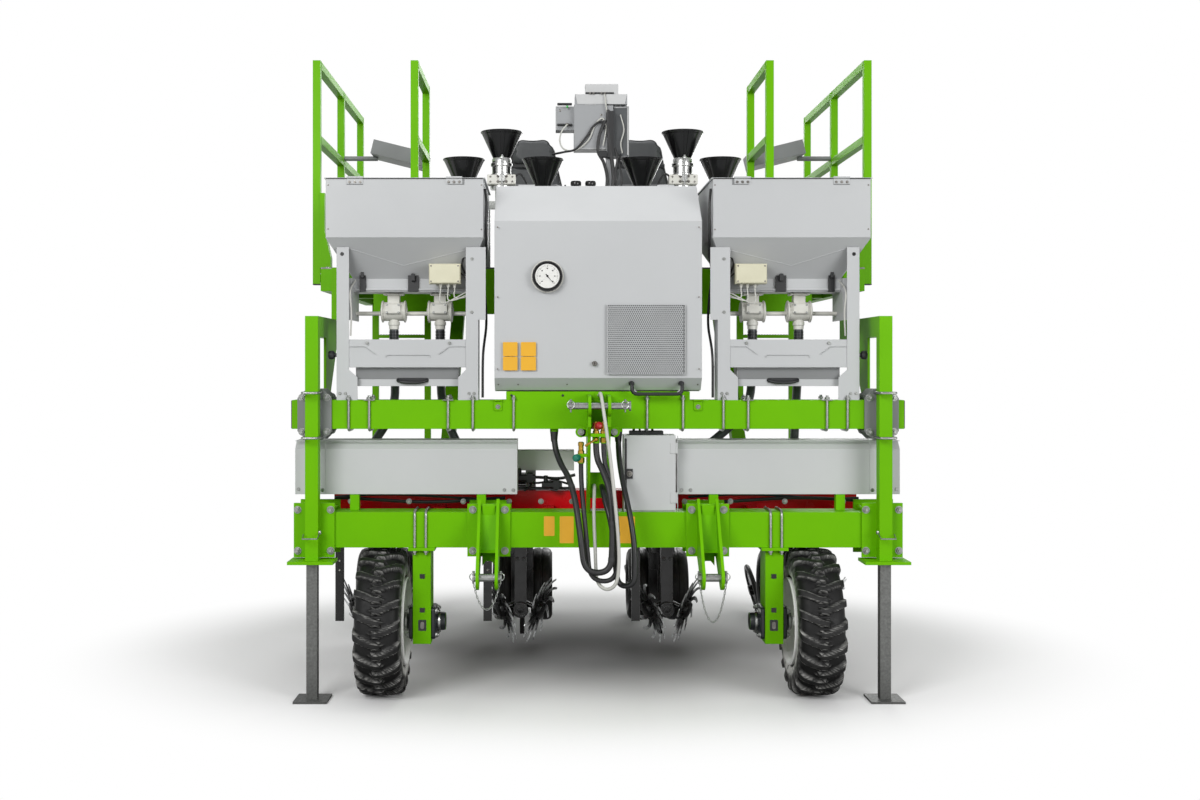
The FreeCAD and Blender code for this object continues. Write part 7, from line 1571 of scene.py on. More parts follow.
def inflate(piece, cap):
    """Blows a closed cushion up with air pressure. No point ends further than cap from its start."""
    remesh = piece.modifiers.new("even skin", "REMESH")
    remesh.mode = "VOXEL"
    remesh.voxel_size = VOXEL
    settled(piece)
    start = mesh_points(piece.data)
    cloth = piece.modifiers.new("air pressure", "CLOTH")
    cloth.settings.use_pressure = True
    cloth.settings.uniform_pressure_force = PRESSURE
    cloth.settings.effector_weights.gravity = 0
    scene = bpy.context.scene
    for step in range(1, CLOTH_FRAMES + 1):
        scene.frame_set(step)
    settled(piece)
    scene.frame_set(1)
    moved = mesh_points(piece.data) - start
    distance = np.linalg.norm(moved, axis=1, keepdims=True)
    kept = start + moved * np.minimum(1, cap / np.maximum(distance, 1e-9))
    piece.data.vertices.foreach_set("co", kept.astype(np.float32).ravel())
    piece.data.update()


def laid_on(piece, points, proud):
    """Points brought to the piece's surface and lifted off it by proud, then smoothed twice."""
    laid = []
    for point in points:
        _, near, normal, _ = piece.closest_point_on_mesh(Vector(point))
        laid.append(np.array(near) + np.array(normal) * proud)
    laid = np.array(laid)
    for _ in range(2):
        laid = (np.roll(laid, 1, axis=0) + 2 * laid + np.roll(laid, -1, axis=0)) / 4
    return laid


# %% Seat measures
seat_low, seat_high = corners_of("seats")
SEAT_MIDDLE = 0.326
PAN_BOTTOM = seat_low[2]
SHELL = 0.016
BACK_FRONT = seat_high[1] - 0.080
seat_cover = finish("grained grey seat vinyl", "#4B4D4F", "#414345", rough=(0.38, 0.5), patch=0.10,
                    grain=(0.0014, 0.00010))
seat_piping = finish("black vinyl piping", "#141415", "#1B1B1C", rough=(0.3, 0.4), patch=0.05)

pan_outline = soft_outline([(-0.195, -0.165), (0.195, -0.165), (0.185, 0.165), (-0.185, 0.165)], 0.055,
                           0.007)
lower_outline = soft_outline([(-0.190, -0.078), (0.190, -0.078), (0.150, 0.078), (-0.150, 0.078)], 0.030,
                             0.004)
upper_outline = soft_outline([(-0.138, -0.078), (0.138, -0.078), (0.132, 0.024), (0.088, 0.078),
                              (-0.088, 0.078), (-0.132, 0.024)], 0.052, 0.003)
PAN_PLACE = (0, seat_low[1] + 0.176, PAN_BOTTOM + SHELL + 0.034)
LOWER_PLACE = (0, BACK_FRONT + 0.036, 2.676)
UPPER_PLACE = (0, BACK_FRONT + 0.036, 2.845)
SEAT_CUSHIONS = {
    "seat_pan": (pan_outline, 0.056, PAN_PLACE, (0, 0, 1), (0, 1, 0), 0.010),
    "seat_lower_back": (lower_outline, 0.046, LOWER_PLACE, (0, -1, 0), (0, 0, 1), 0.008),
    "seat_upper_back": (upper_outline, 0.046, UPPER_PLACE, (0, -1, 0), (0, 0, 1), 0.008),
}

# %% Cushions, seams and piping
piping_shapes = []
cushions = []
for name, (outline, thickness, place, forward, up, cap) in SEAT_CUSHIONS.items():
    pillow = add_piece(name, seat_cover, put(cushion(outline, thickness), place, forward, up))
    inflate(pillow, cap)
    if name == "seat_pan":
        flat_points = mesh_points(pillow.data).copy()
        flat_points[:, 2] = np.maximum(flat_points[:, 2], PAN_BOTTOM + SHELL)
        pillow.data.vertices.foreach_set("co", flat_points.ravel())
    pillow.data.materials.clear()
    pillow.data.materials.append(seat_cover)
    pillow.data.shade_smooth()
    bpy.context.view_layer.update()
    rim = np.column_stack([outline * 0.985, np.full(len(outline), thickness * 0.30)])
    rim = rim @ axes_from(forward, up) + np.asarray(place)
    piping_shapes.append(sweep(laid_on(pillow, rim, 0.0008), 0.0032, 8, closed=True))
    pillow.modifiers.new("even curve", "SUBSURF").levels = 1
    pillow.modifiers["even curve"].render_levels = 1
    cushions.append(pillow)
print("blew up", ", ".join(SEAT_CUSHIONS))

pan_shell = put(slab(0.400, 0.350, SHELL, 0.004, radius=0.06), (0, PAN_PLACE[1], PAN_BOTTOM + SHELL / 2))
back_outline = soft_outline([(-0.190, -0.155), (0.190, -0.155), (0.150, 0.010), (0.132, 0.110),
                             (0.088, 0.162), (-0.088, 0.162), (-0.132, 0.110), (-0.150, 0.010)], 0.022, 0.0)
back_shell = put(plate(back_outline, 0.014, 0.004), (0, seat_high[1] - 0.010, 2.752), (0, -1, 0), (0, 0, 1))
strap = put(slab(0.296, 0.018, 0.030, 0.006), (0, BACK_FRONT + 0.030, 2.760))
hinge_plates = [put(slab(0.010, 0.060, 0.110, 0.003), (side * 0.196, seat_high[1] - 0.040, 2.590))
                for side in (-1, 1)]
seat_frame = together(pan_shell, back_shell, strap, *hinge_plates)
seat_hinges = together(*[put(lathe([(0, 0), (0.020, 0), (0.020, 0.008), (0.014, 0.012), (0, 0.013)], 20),
                             (side * 0.201, seat_high[1] - 0.040, 2.570), (side, 0, 0)) for side in (-1, 1)])

for label, side in zip(SIDES, (-1, 1)):
    place = side * SEAT_MIDDLE
    for pillow in cushions:
        if side < 0:
            seat_part = pillow.copy()
            seat_part.data = pillow.data.copy()
            bpy.context.scene.collection.objects.link(seat_part)
        else:
            seat_part = pillow
        seat_part.name = f"{pillow.name.split('.')[0]}_{label}"
        shifted = mesh_points(seat_part.data) + np.array([place, 0, 0], np.float32)
        seat_part.data.vertices.foreach_set("co", shifted.ravel())
        seat_part.data.update()
        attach(seat_part, "frame")
        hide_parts("seats")
    shift = (place, 0, 0)
    shell = add_piece(f"seat_shell_{label}", black_plastic, stamp(seat_frame, [shift]))
    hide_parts("seats")
    add_piece(f"seat_piping_{label}", seat_piping, stamp(together(*piping_shapes), [shift]))
    add_piece(f"seat_hinges_{label}", black_coat, stamp(seat_hinges, [shift]))
print("two seats")

# %% [markdown]
# ## Funnels, valves and console
# Seed goes from the funnels through round valves into the hoses below. The funnels are glossy moulded
# plastic with a rolled rim and a moulding seam. The console stands between them on a thin column: plain
# folded boxes with switch rows, a signal lamp and loose wiring.

# %% Funnels and valves
funnel_low, funnel_high = corners_of("seed_funnels")
FUNNEL_R = 0.110
FUNNEL_Y = (funnel_low[1] + funnel_high[1]) / 2
FUNNEL_HEIGHT = 0.190
SPOUT_R = 0.022
HIGH_X = 0.480
HIGH_RIM = funnel_high[2]
LOW_RIM = HIGH_RIM - 0.144
LOW_XS = (0.262, 0.680)
funnel_at = [(side * x, FUNNEL_Y, rim) for side in (-1, 1)
             for x, rim in ((HIGH_X, HIGH_RIM), (LOW_XS[0], LOW_RIM), (LOW_XS[1], LOW_RIM))]
rim_ring = put(sweep(circle(FUNNEL_R - 0.0015, 64), 0.0032, 8, closed=True), (0, 0, -0.0035))
cone_angles = [math.radians(a) for a in (-78, 102)]
seams = [sweep([(r * math.cos(a), r * math.sin(a), z) for r, z in
                ((FUNNEL_R - 0.001, -0.006), (SPOUT_R + 0.0003, -FUNNEL_HEIGHT + 0.002))], 0.0016, 6)
         for a in cone_angles]
skirt = lathe([(0.1006, -0.018), (0.1030, -0.016), (0.1048, -0.0125), (0.1040, -0.0115)], 64)
spout_collar = lathe([(0.0225, -0.205), (0.0262, -0.203), (0.0262, -0.186), (0.0285, -0.176)], 32)
add_piece("funnel_rims", gloss_black, stamp(together(rim_ring, skirt, spout_collar, *seams), funnel_at))

valve = lathe([(0.030, -0.118), (0.058, -0.116), (0.060, -0.112), (0.060, -0.100), (0.052, -0.096),
               (0.050, -0.090), (0.050, -0.050), (0.056, -0.046), (0.056, -0.034), (0.050, -0.030),
               (0.050, 0.004), (0.057, 0.008), (0.057, 0.022), (0.051, 0.026), (0.051, 0.044),
               (0.047, 0.050)], 40)
pale_valve = finish("satin nickel valve body", "#D6D7D6", "#C2C3C1", rough=(0.2, 0.34), metal=1.0,
                    patch=0.03)
valve_at = [(side * HIGH_X, FUNNEL_Y, HIGH_RIM - FUNNEL_HEIGHT) for side in (-1, 1)]
stem = sweep([(0.004, -0.064, 0.060), (0.004, -0.064, -0.118)], 0.0055, 10)
clip = put(slab(0.030, 0.016, 0.040, 0.003), (0.004, -0.058, -0.060))
top_nut = put(hex_bolt(0.012), (0.004, -0.064, 0.044))
ears = [put(slab(0.012, 0.030, 0.024, 0.002), (side * 0.060, -0.010, -0.052)) for side in (-1, 1)]
add_piece("seed_valves", pale_valve, stamp(together(valve, stem, clip, top_nut, *ears), valve_at))
valve_bolts = [(x + dx, FUNNEL_Y - 0.0515, HIGH_RIM - FUNNEL_HEIGHT + dz)
               for x, _, _ in valve_at for dx in (-0.018, 0.026) for dz in (-0.078, -0.050)]
add_piece("seed_valve_bolts", steel, stamp(hex_bolt(0.007, 0.004), valve_bolts, FRONT))

VALVE_BOX_Z = HIGH_RIM - 0.257
valve_box = slab(0.150, 0.084, 0.052, 0.004)
add_piece("seed_valve_boxes", white_plastic,
          stamp(valve_box, [(side * HIGH_X, FUNNEL_Y - 0.010, VALVE_BOX_Z) for side in (-1, 1)]))
box_screws = [(side * HIGH_X + dx, FUNNEL_Y - 0.052, VALVE_BOX_Z + dz) for side in (-1, 1)
              for dx in (-0.058, -0.018, 0.010, 0.058) for dz in (-0.012, 0.014)]
add_piece("seed_valve_box_screws", steel, stamp(button_screw(0.0055), box_screws, FRONT))
print(len(funnel_at), "funnel rims and", len(valve_at), "valves")

# %% Console
CONSOLE_FRONT = -0.3045
TOP_FRONT = -0.2845
SIDE_FRONT = -0.2745
console_pale = finish("white coat on console lid", "#C9CACA", "#C1C2C2", rough=(0.4, 0.5), patch=0.08)
console_dark = finish("dark coat on console side", "#55585A", "#4C4F51", rough=(0.35, 0.45), patch=0.08)
TOP_BOX = (-0.035, 0.137, 2.986, 3.041)
RIGHT_BOX = (0.074, 0.196, 2.660, 2.927)


def face_panel(span, inset, thickness, y=CONSOLE_FRONT, edge=0.0008):
    """A thin panel over the front of one of the console's boxes, smaller by inset on every side."""
    x0, x1, z0, z1 = span
    return put(slab(x1 - x0 - 2 * inset, z1 - z0 - 2 * inset, thickness, edge),
               ((x0 + x1) / 2, y - thickness / 2, (z0 + z1) / 2), FRONT)


lid_outline = [(-0.126, -0.026), (0.126, -0.026), (0.1375, 0.0265), (-0.1375, 0.0265)]
lid_face = put(plate(lid_outline, 0.003, 0.001), (0.047, CONSOLE_FRONT - 0.0015, 2.959), FRONT)
top_panel = face_panel(TOP_BOX, -0.0015, 0.003, TOP_FRONT)
top_roof = put(slab(0.175, 0.103, 0.003, 0.001), (0.051, -0.2345, 3.0425))
add_piece("console_lid_panels", console_pale, lid_face, top_panel, top_roof, slot="console_grey")
add_piece("console_side_panel", console_dark, face_panel(RIGHT_BOX, 0.004, 0.0016, SIDE_FRONT))
# Each rim: its place along Y, its rod's radius, and its route in X and Z.
RIMS = ((SIDE_FRONT - 0.003, 0.0042, ((0.190, 2.668), (0.190, 2.920), (0.118, 2.920))),
        (SIDE_FRONT - 0.001, 0.0016, ((-0.190, 2.802), (-0.190, 2.925), (-0.098, 2.925))),
        (CONSOLE_FRONT - 0.0004, 0.0016, ((-0.093, 2.697), (0.071, 2.697))),
        (CONSOLE_FRONT - 0.0004, 0.0018, ((0.020, 2.930), (-0.040, 2.930))))
rims = [fold([(x, y, z) for x, z in route], rod) for y, rod, route in RIMS]
add_piece("console_rims", console_pale, *rims)

bands = [put(slab(0.078, 0.028, 0.010, 0.002), (-0.146, SIDE_FRONT - 0.002, z)) for z in (2.938, 2.828)]
connectors = [put(lathe([(0, 0), (0.0062, 0), (0.0062, 0.012), (0.0045, 0.014), (0, 0.014)], 12),
                  (x, CONSOLE_FRONT - 0.002, 2.989), FRONT) for x in (-0.012, 0.006, 0.048, 0.066)]
band_block = put(slab(0.150, 0.006, 0.012, 0.002), (0.040, -0.3020, 2.991))
column_box = put(slab(0.034, 0.050, 0.250, 0.004), (0.096, -0.300, 2.770))
socket = put(slab(0.040, 0.030, 0.036, 0.004), (0.056, -0.318, 2.665))
add_piece("console_switch_rows", black_plastic, *bands, band_block, column_box, socket)
screws = [(-0.060, CONSOLE_FRONT, 2.730), (-0.012, CONSOLE_FRONT, 2.768), (0.048, CONSOLE_FRONT, 2.876),
          (0.060, CONSOLE_FRONT, 2.846), (-0.170, SIDE_FRONT, 2.905), (0.084, SIDE_FRONT, 2.900)]
add_piece("console_screws", steel, *connectors, stamp(button_screw(0.006), screws, FRONT))
LAMP_PLACE = (-0.133, SIDE_FRONT - 0.016, 2.921)
PLUG_PLACE = (-0.133, SIDE_FRONT - 0.016, 2.826)
lamp = lathe([(0, 0), (0.007, 0), (0.007, 0.006), (0.005, 0.010), (0, 0.011)], 20)
add_piece("console_signal_lamp", green_lamp, put(lamp, LAMP_PLACE, FRONT))
plug = lathe([(0, 0), (0.009, 0), (0.009, 0.010), (0.006, 0.013), (0, 0.013)], 16)
add_piece("console_plug", steel, put(plug, PLUG_PLACE, FRONT))
print("console panels, lamp and switch rows")

# %% Console wiring
# Each route gives X, the way back from the plane that the wires lie in, and Z.
WIRE_FRONT = CONSOLE_FRONT - 0.010
pale_runs = [
    ([(-0.133, 0.0145, 2.826), (-0.160, 0, 2.790), (-0.172, 0, 2.738), (-0.150, 0, 2.694),
      (-0.088, 0, 2.688), (-0.020, 0, 2.742), (0.016, 0, 2.824), (0.052, 0, 2.856),
      (0.072, 0, 2.820)], 0.0042),
    ([(0.064, 0, 2.985), (0.070, -0.006, 2.940), (0.078, -0.004, 2.860), (0.070, 0, 2.780),
      (0.056, -0.004, 2.710)], 0.0038),
    ([(0.150, 0.0245, 2.880), (0.168, 0.0205, 2.800), (0.152, 0.0245, 2.730), (0.160, 0.0265, 2.676)],
     0.0034),
]
black_runs = [
    ([(-0.213, 0.0145, 2.668), (-0.150, 0, 2.678), (-0.086, -0.004, 2.694), (-0.030, -0.004, 2.760),
      (0.004, -0.004, 2.812), (0.044, -0.004, 2.838), (0.066, -0.004, 2.800)], 0.0058),
    ([(0.066, -0.006, 2.842), (0.036, -0.012, 2.760), (0.030, -0.010, 2.680),
      (0.060, -0.010, 2.620), (0.078, -0.006, 2.540), (0.070, 0, 2.440)], 0.0085),
    ([(0.082, -0.002, 2.900), (0.086, -0.004, 2.780), (0.100, -0.002, 2.660),
      (0.112, -0.002, 2.540), (0.100, 0, 2.440)], 0.0105),
    ([(0.120, 0, 2.700), (0.132, -0.004, 2.640), (0.122, -0.002, 2.560), (0.136, 0, 2.440)],
     0.0065),
    ([(0.150, 0.0245, 2.670), (0.142, 0, 2.620), (0.156, 0, 2.540), (0.146, 0, 2.440)], 0.005),
]
for name, runs, sheath in (("console_black_wires", black_runs, hose_rubber),
                           ("console_pale_wires", pale_runs, cable_grey)):
    wire_bundle(name, [([(x, WIRE_FRONT + back, z) for x, back, z in route], radius)
                       for route, radius in runs], sheath)
valve_route = ((0.060, 0.030, 2.540), (0.100, 0.040, 2.560), (0.135, 0.030, 2.500), (0.130, 0.0, 2.430))
valve_runs = [([(side * (HIGH_X - inset), FUNNEL_Y - reach, z) for inset, reach, z in valve_route], 0.0055)
              for side in (-1, 1)]
wire_bundle("seed_valve_wires", valve_runs, hose_rubber)
print("console wiring")

# %% [markdown]
# ## Wheel struts, bearings and rims
# Each ground wheel turns in two flange bearings that are bolted to a square strut. The black castings,
# their zinc bolts and the white rim inside the tyre show from the front. The strut has two square index
# holes and a window to the shaft. The rim's lip and dish are one turned profile, since a pressed rim is
# rolled from one sheet, and the same profile serves both wheels.

# %% Bearings and index holes
STRUT_X = 0.824
STRUT_HALF = 0.042
STRUT_FRONT = main_middle - 0.075
AXLE_Z = 0.343
FLANGE = 0.066
flange_plate = slab(2 * FLANGE + 0.006, 2 * FLANGE + 0.018, 0.0195, 0.004, radius=0.016)
boss_root = [(0.0560, 0.010), (0.0520, 0.022), (0.0440, 0.026)]
boss = lathe(boss_root + [(0.0425, 0.038), (0.0400, 0.046), (0.0300, 0.0475), (0.0225, 0.0475)], 40)
inner_boss = lathe(boss_root + [(0.0425, 0.056), (0.0400, 0.0645), (0.0300, 0.0660), (0, 0.0660)], 40)
nipple = lathe([(0, 0), (0.005, 0), (0.005, 0.008), (0.003, 0.014), (0, 0.015)], 10)
flange_corners = [(a * 0.052, b * 0.056, 0.0195) for a in (-1, 1) for b in (-1, 1)]
flange_bolts = stamp(hex_bolt(0.014, 0.007), flange_corners)
set_collar = lathe([(0.0400, 0.031), (0.0440, 0.032), (0.0445, 0.040), (0.0430, 0.042), (0.0400, 0.042)],
                   40)
castings, casting_bolts = [], []
for direction, nose in ((-1, inner_boss), (1, boss)):
    at = (STRUT_X + direction * STRUT_HALF, main_middle, AXLE_Z)
    casting = together(put(flange_plate, (0, 0, 0.0098)), nose, put(nipple, (0, 0.050, 0.024)))
    castings.append(put(casting, at, (direction, 0, 0), (0, 0, 1)))
    casting_bolts.append(put(together(flange_bolts, set_collar), at, (direction, 0, 0), (0, 0, 1)))
# The pale edge colour of the castings is partly worn enamel, partly a painted highlight.
cast_black = finish("black enamel on cast iron", "#101518", "#171B1E", rough=(0.25, 0.4), patch=0.02,
                    grain=(0.0016, 0.0002), edge=("#566066", 0.6))
add_piece("flange_bearings", cast_black, *castings, both=True, slot="black_paint")
add_piece("flange_bearing_bolts", zinc, *casting_bolts, both=True)

HOLE_X = STRUT_X - 0.002
HOLE_ZS = (0.566, 0.408)
WINDOW_Z = 0.336
# The index holes and the window are dark skins on the strut's front: painted shade for the tube's inside.
hole_skin = slab(0.024, 0.024, 0.0008, 0.0002, radius=0.003)
window_skin = slab(0.038, 0.052, 0.0008, 0.0002, radius=0.005)
holes = [put(hole_skin, (HOLE_X, STRUT_FRONT, z), FRONT) for z in HOLE_ZS]
holes.append(put(window_skin, (HOLE_X, STRUT_FRONT, WINDOW_Z), FRONT))
add_piece("strut_index_holes", gloss_black, *holes, both=True)
rim_lines = [fold([(HOLE_X + dx, STRUT_FRONT - 0.0006, z + dz)
                   for dx, dz in ((-0.014, -0.009), (-0.014, 0.011), (0.010, 0.011))], 0.0012)
             for z in HOLE_ZS]
add_piece("strut_hole_edges", green_coat, *rim_lines, both=True, slot="green_paint")
shaft_end = slab(0.018, 0.034, 0.0016, 0.0005, radius=0.008)
shaft_glimpse = put(shaft_end, (HOLE_X, STRUT_FRONT - 0.0008, WINDOW_Z), FRONT)
add_piece("strut_shaft_glimpse", steel, shaft_glimpse, both=True)
print("bearings and index holes")

# %% Rims
lip = [(0.196, 0.084), (0.204, 0.098), (0.2055, 0.109), (0.2020, 0.1130), (0.1955, 0.1125), (0.1905, 0.104),
       (0.1845, 0.096), (0.1838, 0.060), (0.1800, 0.040)]
dish = lip + [(0.1780, 0.006), (0.1700, -0.012), (0.1500, -0.024), (0.1180, -0.024), (0.1000, -0.012),
              (0.0700, -0.010), (0.0630, -0.014), (0.0630, 0.034), (0.0560, 0.040), (0.0230, 0.040)]
outer_dish = lip + [(0.1790, 0.046), (0.1500, 0.0425), (0.1180, 0.050), (0.0900, 0.0545), (0.0500, 0.0545),
                    (0.0460, 0.072), (0.0300, 0.080), (0, 0.081)]
STUD_CIRCLE = 0.082
WHEEL_X = 1.010
for side, sign in zip(SIDES, (-1, 1)):
    wheel_at = (sign * WHEEL_X, main_middle, AXLE_Z)
    inward = (-sign, 0, 0)
    outward = (sign, 0, 0)
    add_piece(f"rim_dish_{side}", wheel_paint, put(lathe(dish, 64), wheel_at, inward),
              put(lathe(outer_dish, 64), wheel_at, outward), body=f"wheel_{side}", slot="wheel_white")
    nuts = [put(stamp(hex_bolt(0.015, 0.006), circle(STUD_CIRCLE, 6, height)), wheel_at, way)
            for way, height in ((inward, -0.011), (outward, 0.0543))]
    stem = put(lathe([(0, 0), (0.005, 0), (0.005, 0.022), (0.0035, 0.026), (0.0035, 0.034), (0, 0.034)], 10),
               (sign * (WHEEL_X + 0.042), main_middle + 0.150, AXLE_Z + 0.020), outward)
    add_piece(f"wheel_nuts_{side}", zinc, *nuts, stem, body=f"wheel_{side}")
print("rims and wheel nuts")

# %% [markdown]
# ## Row units
# The four sowing units hang behind the red tool bar: star wheels that clear the row, depth wheels with
# half-soft tyres, a seed meter and closing wheels. All are black, and only gloss, worn steel and rounded
# shoulders tell one part from the next, so each wheel is made as its real turned section. The star wheels
# have bent, tapering fingers rubbed bright by the soil, and their pale colour towards the tips is also a
# painted glint. A finger is a flat tapering sweep, and thirteen turned copies of it stand on a disc.

# %% Row unit shapes
def turned(shape, angle):
    """A shape turned about Z."""
    points, faces = shape
    c, s = math.cos(angle), math.sin(angle)
    return points @ np.array([[c, s, 0], [-s, c, 0], [0, 0, 1]]), faces


def helix(radius, length, turns, wire_radius, per_turn=16):
    """A coil spring along Z: the wire's path is (r cos t, r sin t, height * t)."""
    t = np.linspace(0, 1, int(turns * per_turn))
    a = 2 * math.pi * turns * t
    return sweep(np.column_stack([radius * np.cos(a), radius * np.sin(a), length * t]), wire_radius, 6)


def tilted_axis(side, tilt, toe):
    """Axle direction of a leaning wheel: its top leans out, its front turns in."""
    tilt, toe = math.radians(tilt), math.radians(toe)
    level = math.cos(tilt)
    return np.array([side * level * math.cos(toe), -level * math.sin(toe), -math.sin(tilt)])


ROW_XS = (-1.125, -0.375, 0.375, 1.125)
# From mid-length to the tips the fingers turn near white: worn steel, and a painted glint as well.
worn_and_glinting_paint = finish("black paint worn to bright steel", "#0D0D0E", "#171717", rough=(0.18, 0.4), metal=0.4,
                    patch=0.02, grain=(0.003, 0.0002), dust=("#E3E5E6", 1.0), film_layer="wear_and_glint")

FINGERS = 13
STAR_R = 0.176
FINGER_ROOT = 0.062
finger_r = np.linspace(FINGER_ROOT, STAR_R, 9)
bend = (finger_r - FINGER_ROOT) / (STAR_R - FINGER_ROOT)
finger_angle = -0.42 * bend ** 1.6
finger_path = np.column_stack([finger_r * np.cos(finger_angle), finger_r * np.sin(finger_angle),
                               0.012 * bend ** 2])
finger_radii = 0.0150 - 0.0085 * bend ** 1.4
finger = sweep(finger_path, finger_radii, 8, squash=0.38)
star_disc = lathe([(0, -0.004), (0.078, -0.004), (0.080, -0.002), (0.080, 0.003), (0.078, 0.0045),
                   (0.044, 0.0045), (0.042, 0.020), (0.038, 0.026), (0.018, 0.030), (0, 0.031)], 32)
star_back = lathe([(0.014, -0.024), (0.036, -0.024), (0.040, -0.020), (0.040, -0.003)], 32)
star_ring = together(*[turned(finger, 2 * math.pi * k / FINGERS) for k in range(FINGERS)])
star_bolts = stamp(hex_bolt(0.010), circle(0.058, 5, 0.0045))
star = together(star_disc, star_back, star_ring, star_bolts)

half_tyre = [(0.132, -0.050), (0.150, -0.0595), (0.172, -0.0595), (0.190, -0.050), (0.1975, -0.036),
             (0.1995, -0.020), (0.1995, -0.008), (0.1955, -0.005)]
depth_tyre = lathe(half_tyre + [(radius, -width) for radius, width in half_tyre[::-1]], 56)
depth_disc = lathe([(0, -0.046), (0.040, -0.046), (0.044, -0.040), (0.046, -0.012), (0.120, 0.004),
                    (0.130, -0.048), (0.136, -0.050), (0.136, 0.050), (0.130, 0.048), (0.122, 0.016),
                    (0.050, 0.004), (0.046, 0.040), (0.040, 0.046), (0.020, 0.048), (0, 0.048)], 48)
half_tyre = [(0.128, -0.011), (0.140, -0.0145), (0.152, -0.012), (0.1585, -0.005)]
closing_tyre = lathe(half_tyre + [(0.1595, 0.0)] + [(radius, -width) for radius, width in half_tyre[::-1]],
                     48)
closing_disc = lathe([(0, -0.029), (0.028, -0.029), (0.031, -0.024), (0.032, -0.006), (0.126, -0.005),
                      (0.130, -0.010), (0.130, 0.010), (0.126, 0.005), (0.032, 0.006), (0.031, 0.024),
                      (0.028, 0.029), (0, 0.030)], 48)
print("wheel sections ready")

# %% Wheels of every row
# Each kind of wheel: its distance from the row's middle plane, and its axle's place along Y and Z.
DEPTH_AXLE = (0.105, 0.1355, 0.325)
STAR_AXLE = (0.092, -0.5325, 0.305)
CLOSING_AXLE = (0.085, 0.9355, 0.1584)
STAR_LEAN = (19, 22)
CLOSING_LEAN = (15, 0)


def row_place(row_x, sign, offsets):
    """A place given by its distance from a row's middle plane on one side, and its Y and Z."""
    return (row_x + sign * offsets[0], *offsets[1:])


def wheel_piece(name, material, body, slot, *shapes, **settings):
    """A piece that turns with a wheel's body and stands in for that wheel's plain form."""
    piece = add_piece(name, material, *shapes, body=body, slot=slot, **settings)
    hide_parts(body)
    return piece


depth_axle = lathe([(0, -0.164), (0.014, -0.164), (0.014, 0.164), (0, 0.164)], 20)
for row, row_x in zip(ROWS, ROW_XS):
    places = [row_place(row_x, sign, DEPTH_AXLE) for sign in (-1, 1)]
    body = f"depth_wheels_{row}"
    wheel_piece(f"depth_tyres_{row}", wheel_rubber, body, "tyre_rubber",
                *[put(depth_tyre, place, (1, 0, 0)) for place in places])
    wheel_piece(f"depth_discs_{row}", black_coat, body, "black_paint",
                *[put(depth_disc, place, (sign, 0, 0)) for sign, place in zip((-1, 1), places)],
                put(depth_axle, (row_x, *DEPTH_AXLE[1:]), (1, 0, 0)))
    for side, sign in zip(SIDES, (-1, 1)):
        body = f"star_wheel_{row}_{side}"
        place = row_place(row_x, sign, STAR_AXLE)
        wheel = wheel_piece(f"star_{row}_{side}", worn_and_glinting_paint, body, "black_paint",
                            put(star, place, tilted_axis(sign, *STAR_LEAN)), smooth=50)
        # The fingers' layer: pale from mid-length out, for worn steel with a painted glint.
        away = np.linalg.norm(mesh_points(wheel.data) - np.array(place, np.float32), axis=1)
        layer = wheel.data.attributes.new("wear_and_glint", "FLOAT", "POINT")
        layer.data.foreach_set("value", (2.4 * smooth(away, 0.085, 0.165)).astype(np.float32))
        body = f"closing_wheel_{row}_{side}"
        place = row_place(row_x, sign, CLOSING_AXLE)
        axis = tilted_axis(sign, *CLOSING_LEAN)
        wheel_piece(f"closing_tyre_{row}_{side}", wheel_rubber, body, "tyre_rubber",
                    put(closing_tyre, place, axis))
        wheel_piece(f"closing_disc_{row}_{side}", black_coat, body, "black_paint",
                    put(closing_disc, place, axis))
print("wheels of", len(ROW_XS), "rows")

# %% Frames of the rows
meter_cap = lathe([(0.165, -0.004), (0.167, 0.0), (0.165, 0.006), (0.150, 0.009), (0.146, 0.016),
                   (0.090, 0.020), (0.086, 0.030), (0.040, 0.034), (0.034, 0.046), (0, 0.048)], 48)
cap_bolts = stamp(hex_bolt(0.007), circle(0.157, 8, 0.006))
nose = lathe([(0.040, 0), (0.041, 0.010), (0.037, 0.014), (0.030, 0.014), (0.028, 0.009), (0.018, 0.009),
              (0.016, 0.014), (0, 0.016)], 32)
SPRING_WIRE = 0.0032
spring_eye = wire_ring(0.012, SPRING_WIRE, 16, 6)
tension = together(put(helix(0.021, 0.250, 15, SPRING_WIRE), (0, 0, -0.125)),
                   *[put(spring_eye, (0, 0, z)) for z in (0.140, -0.140)])
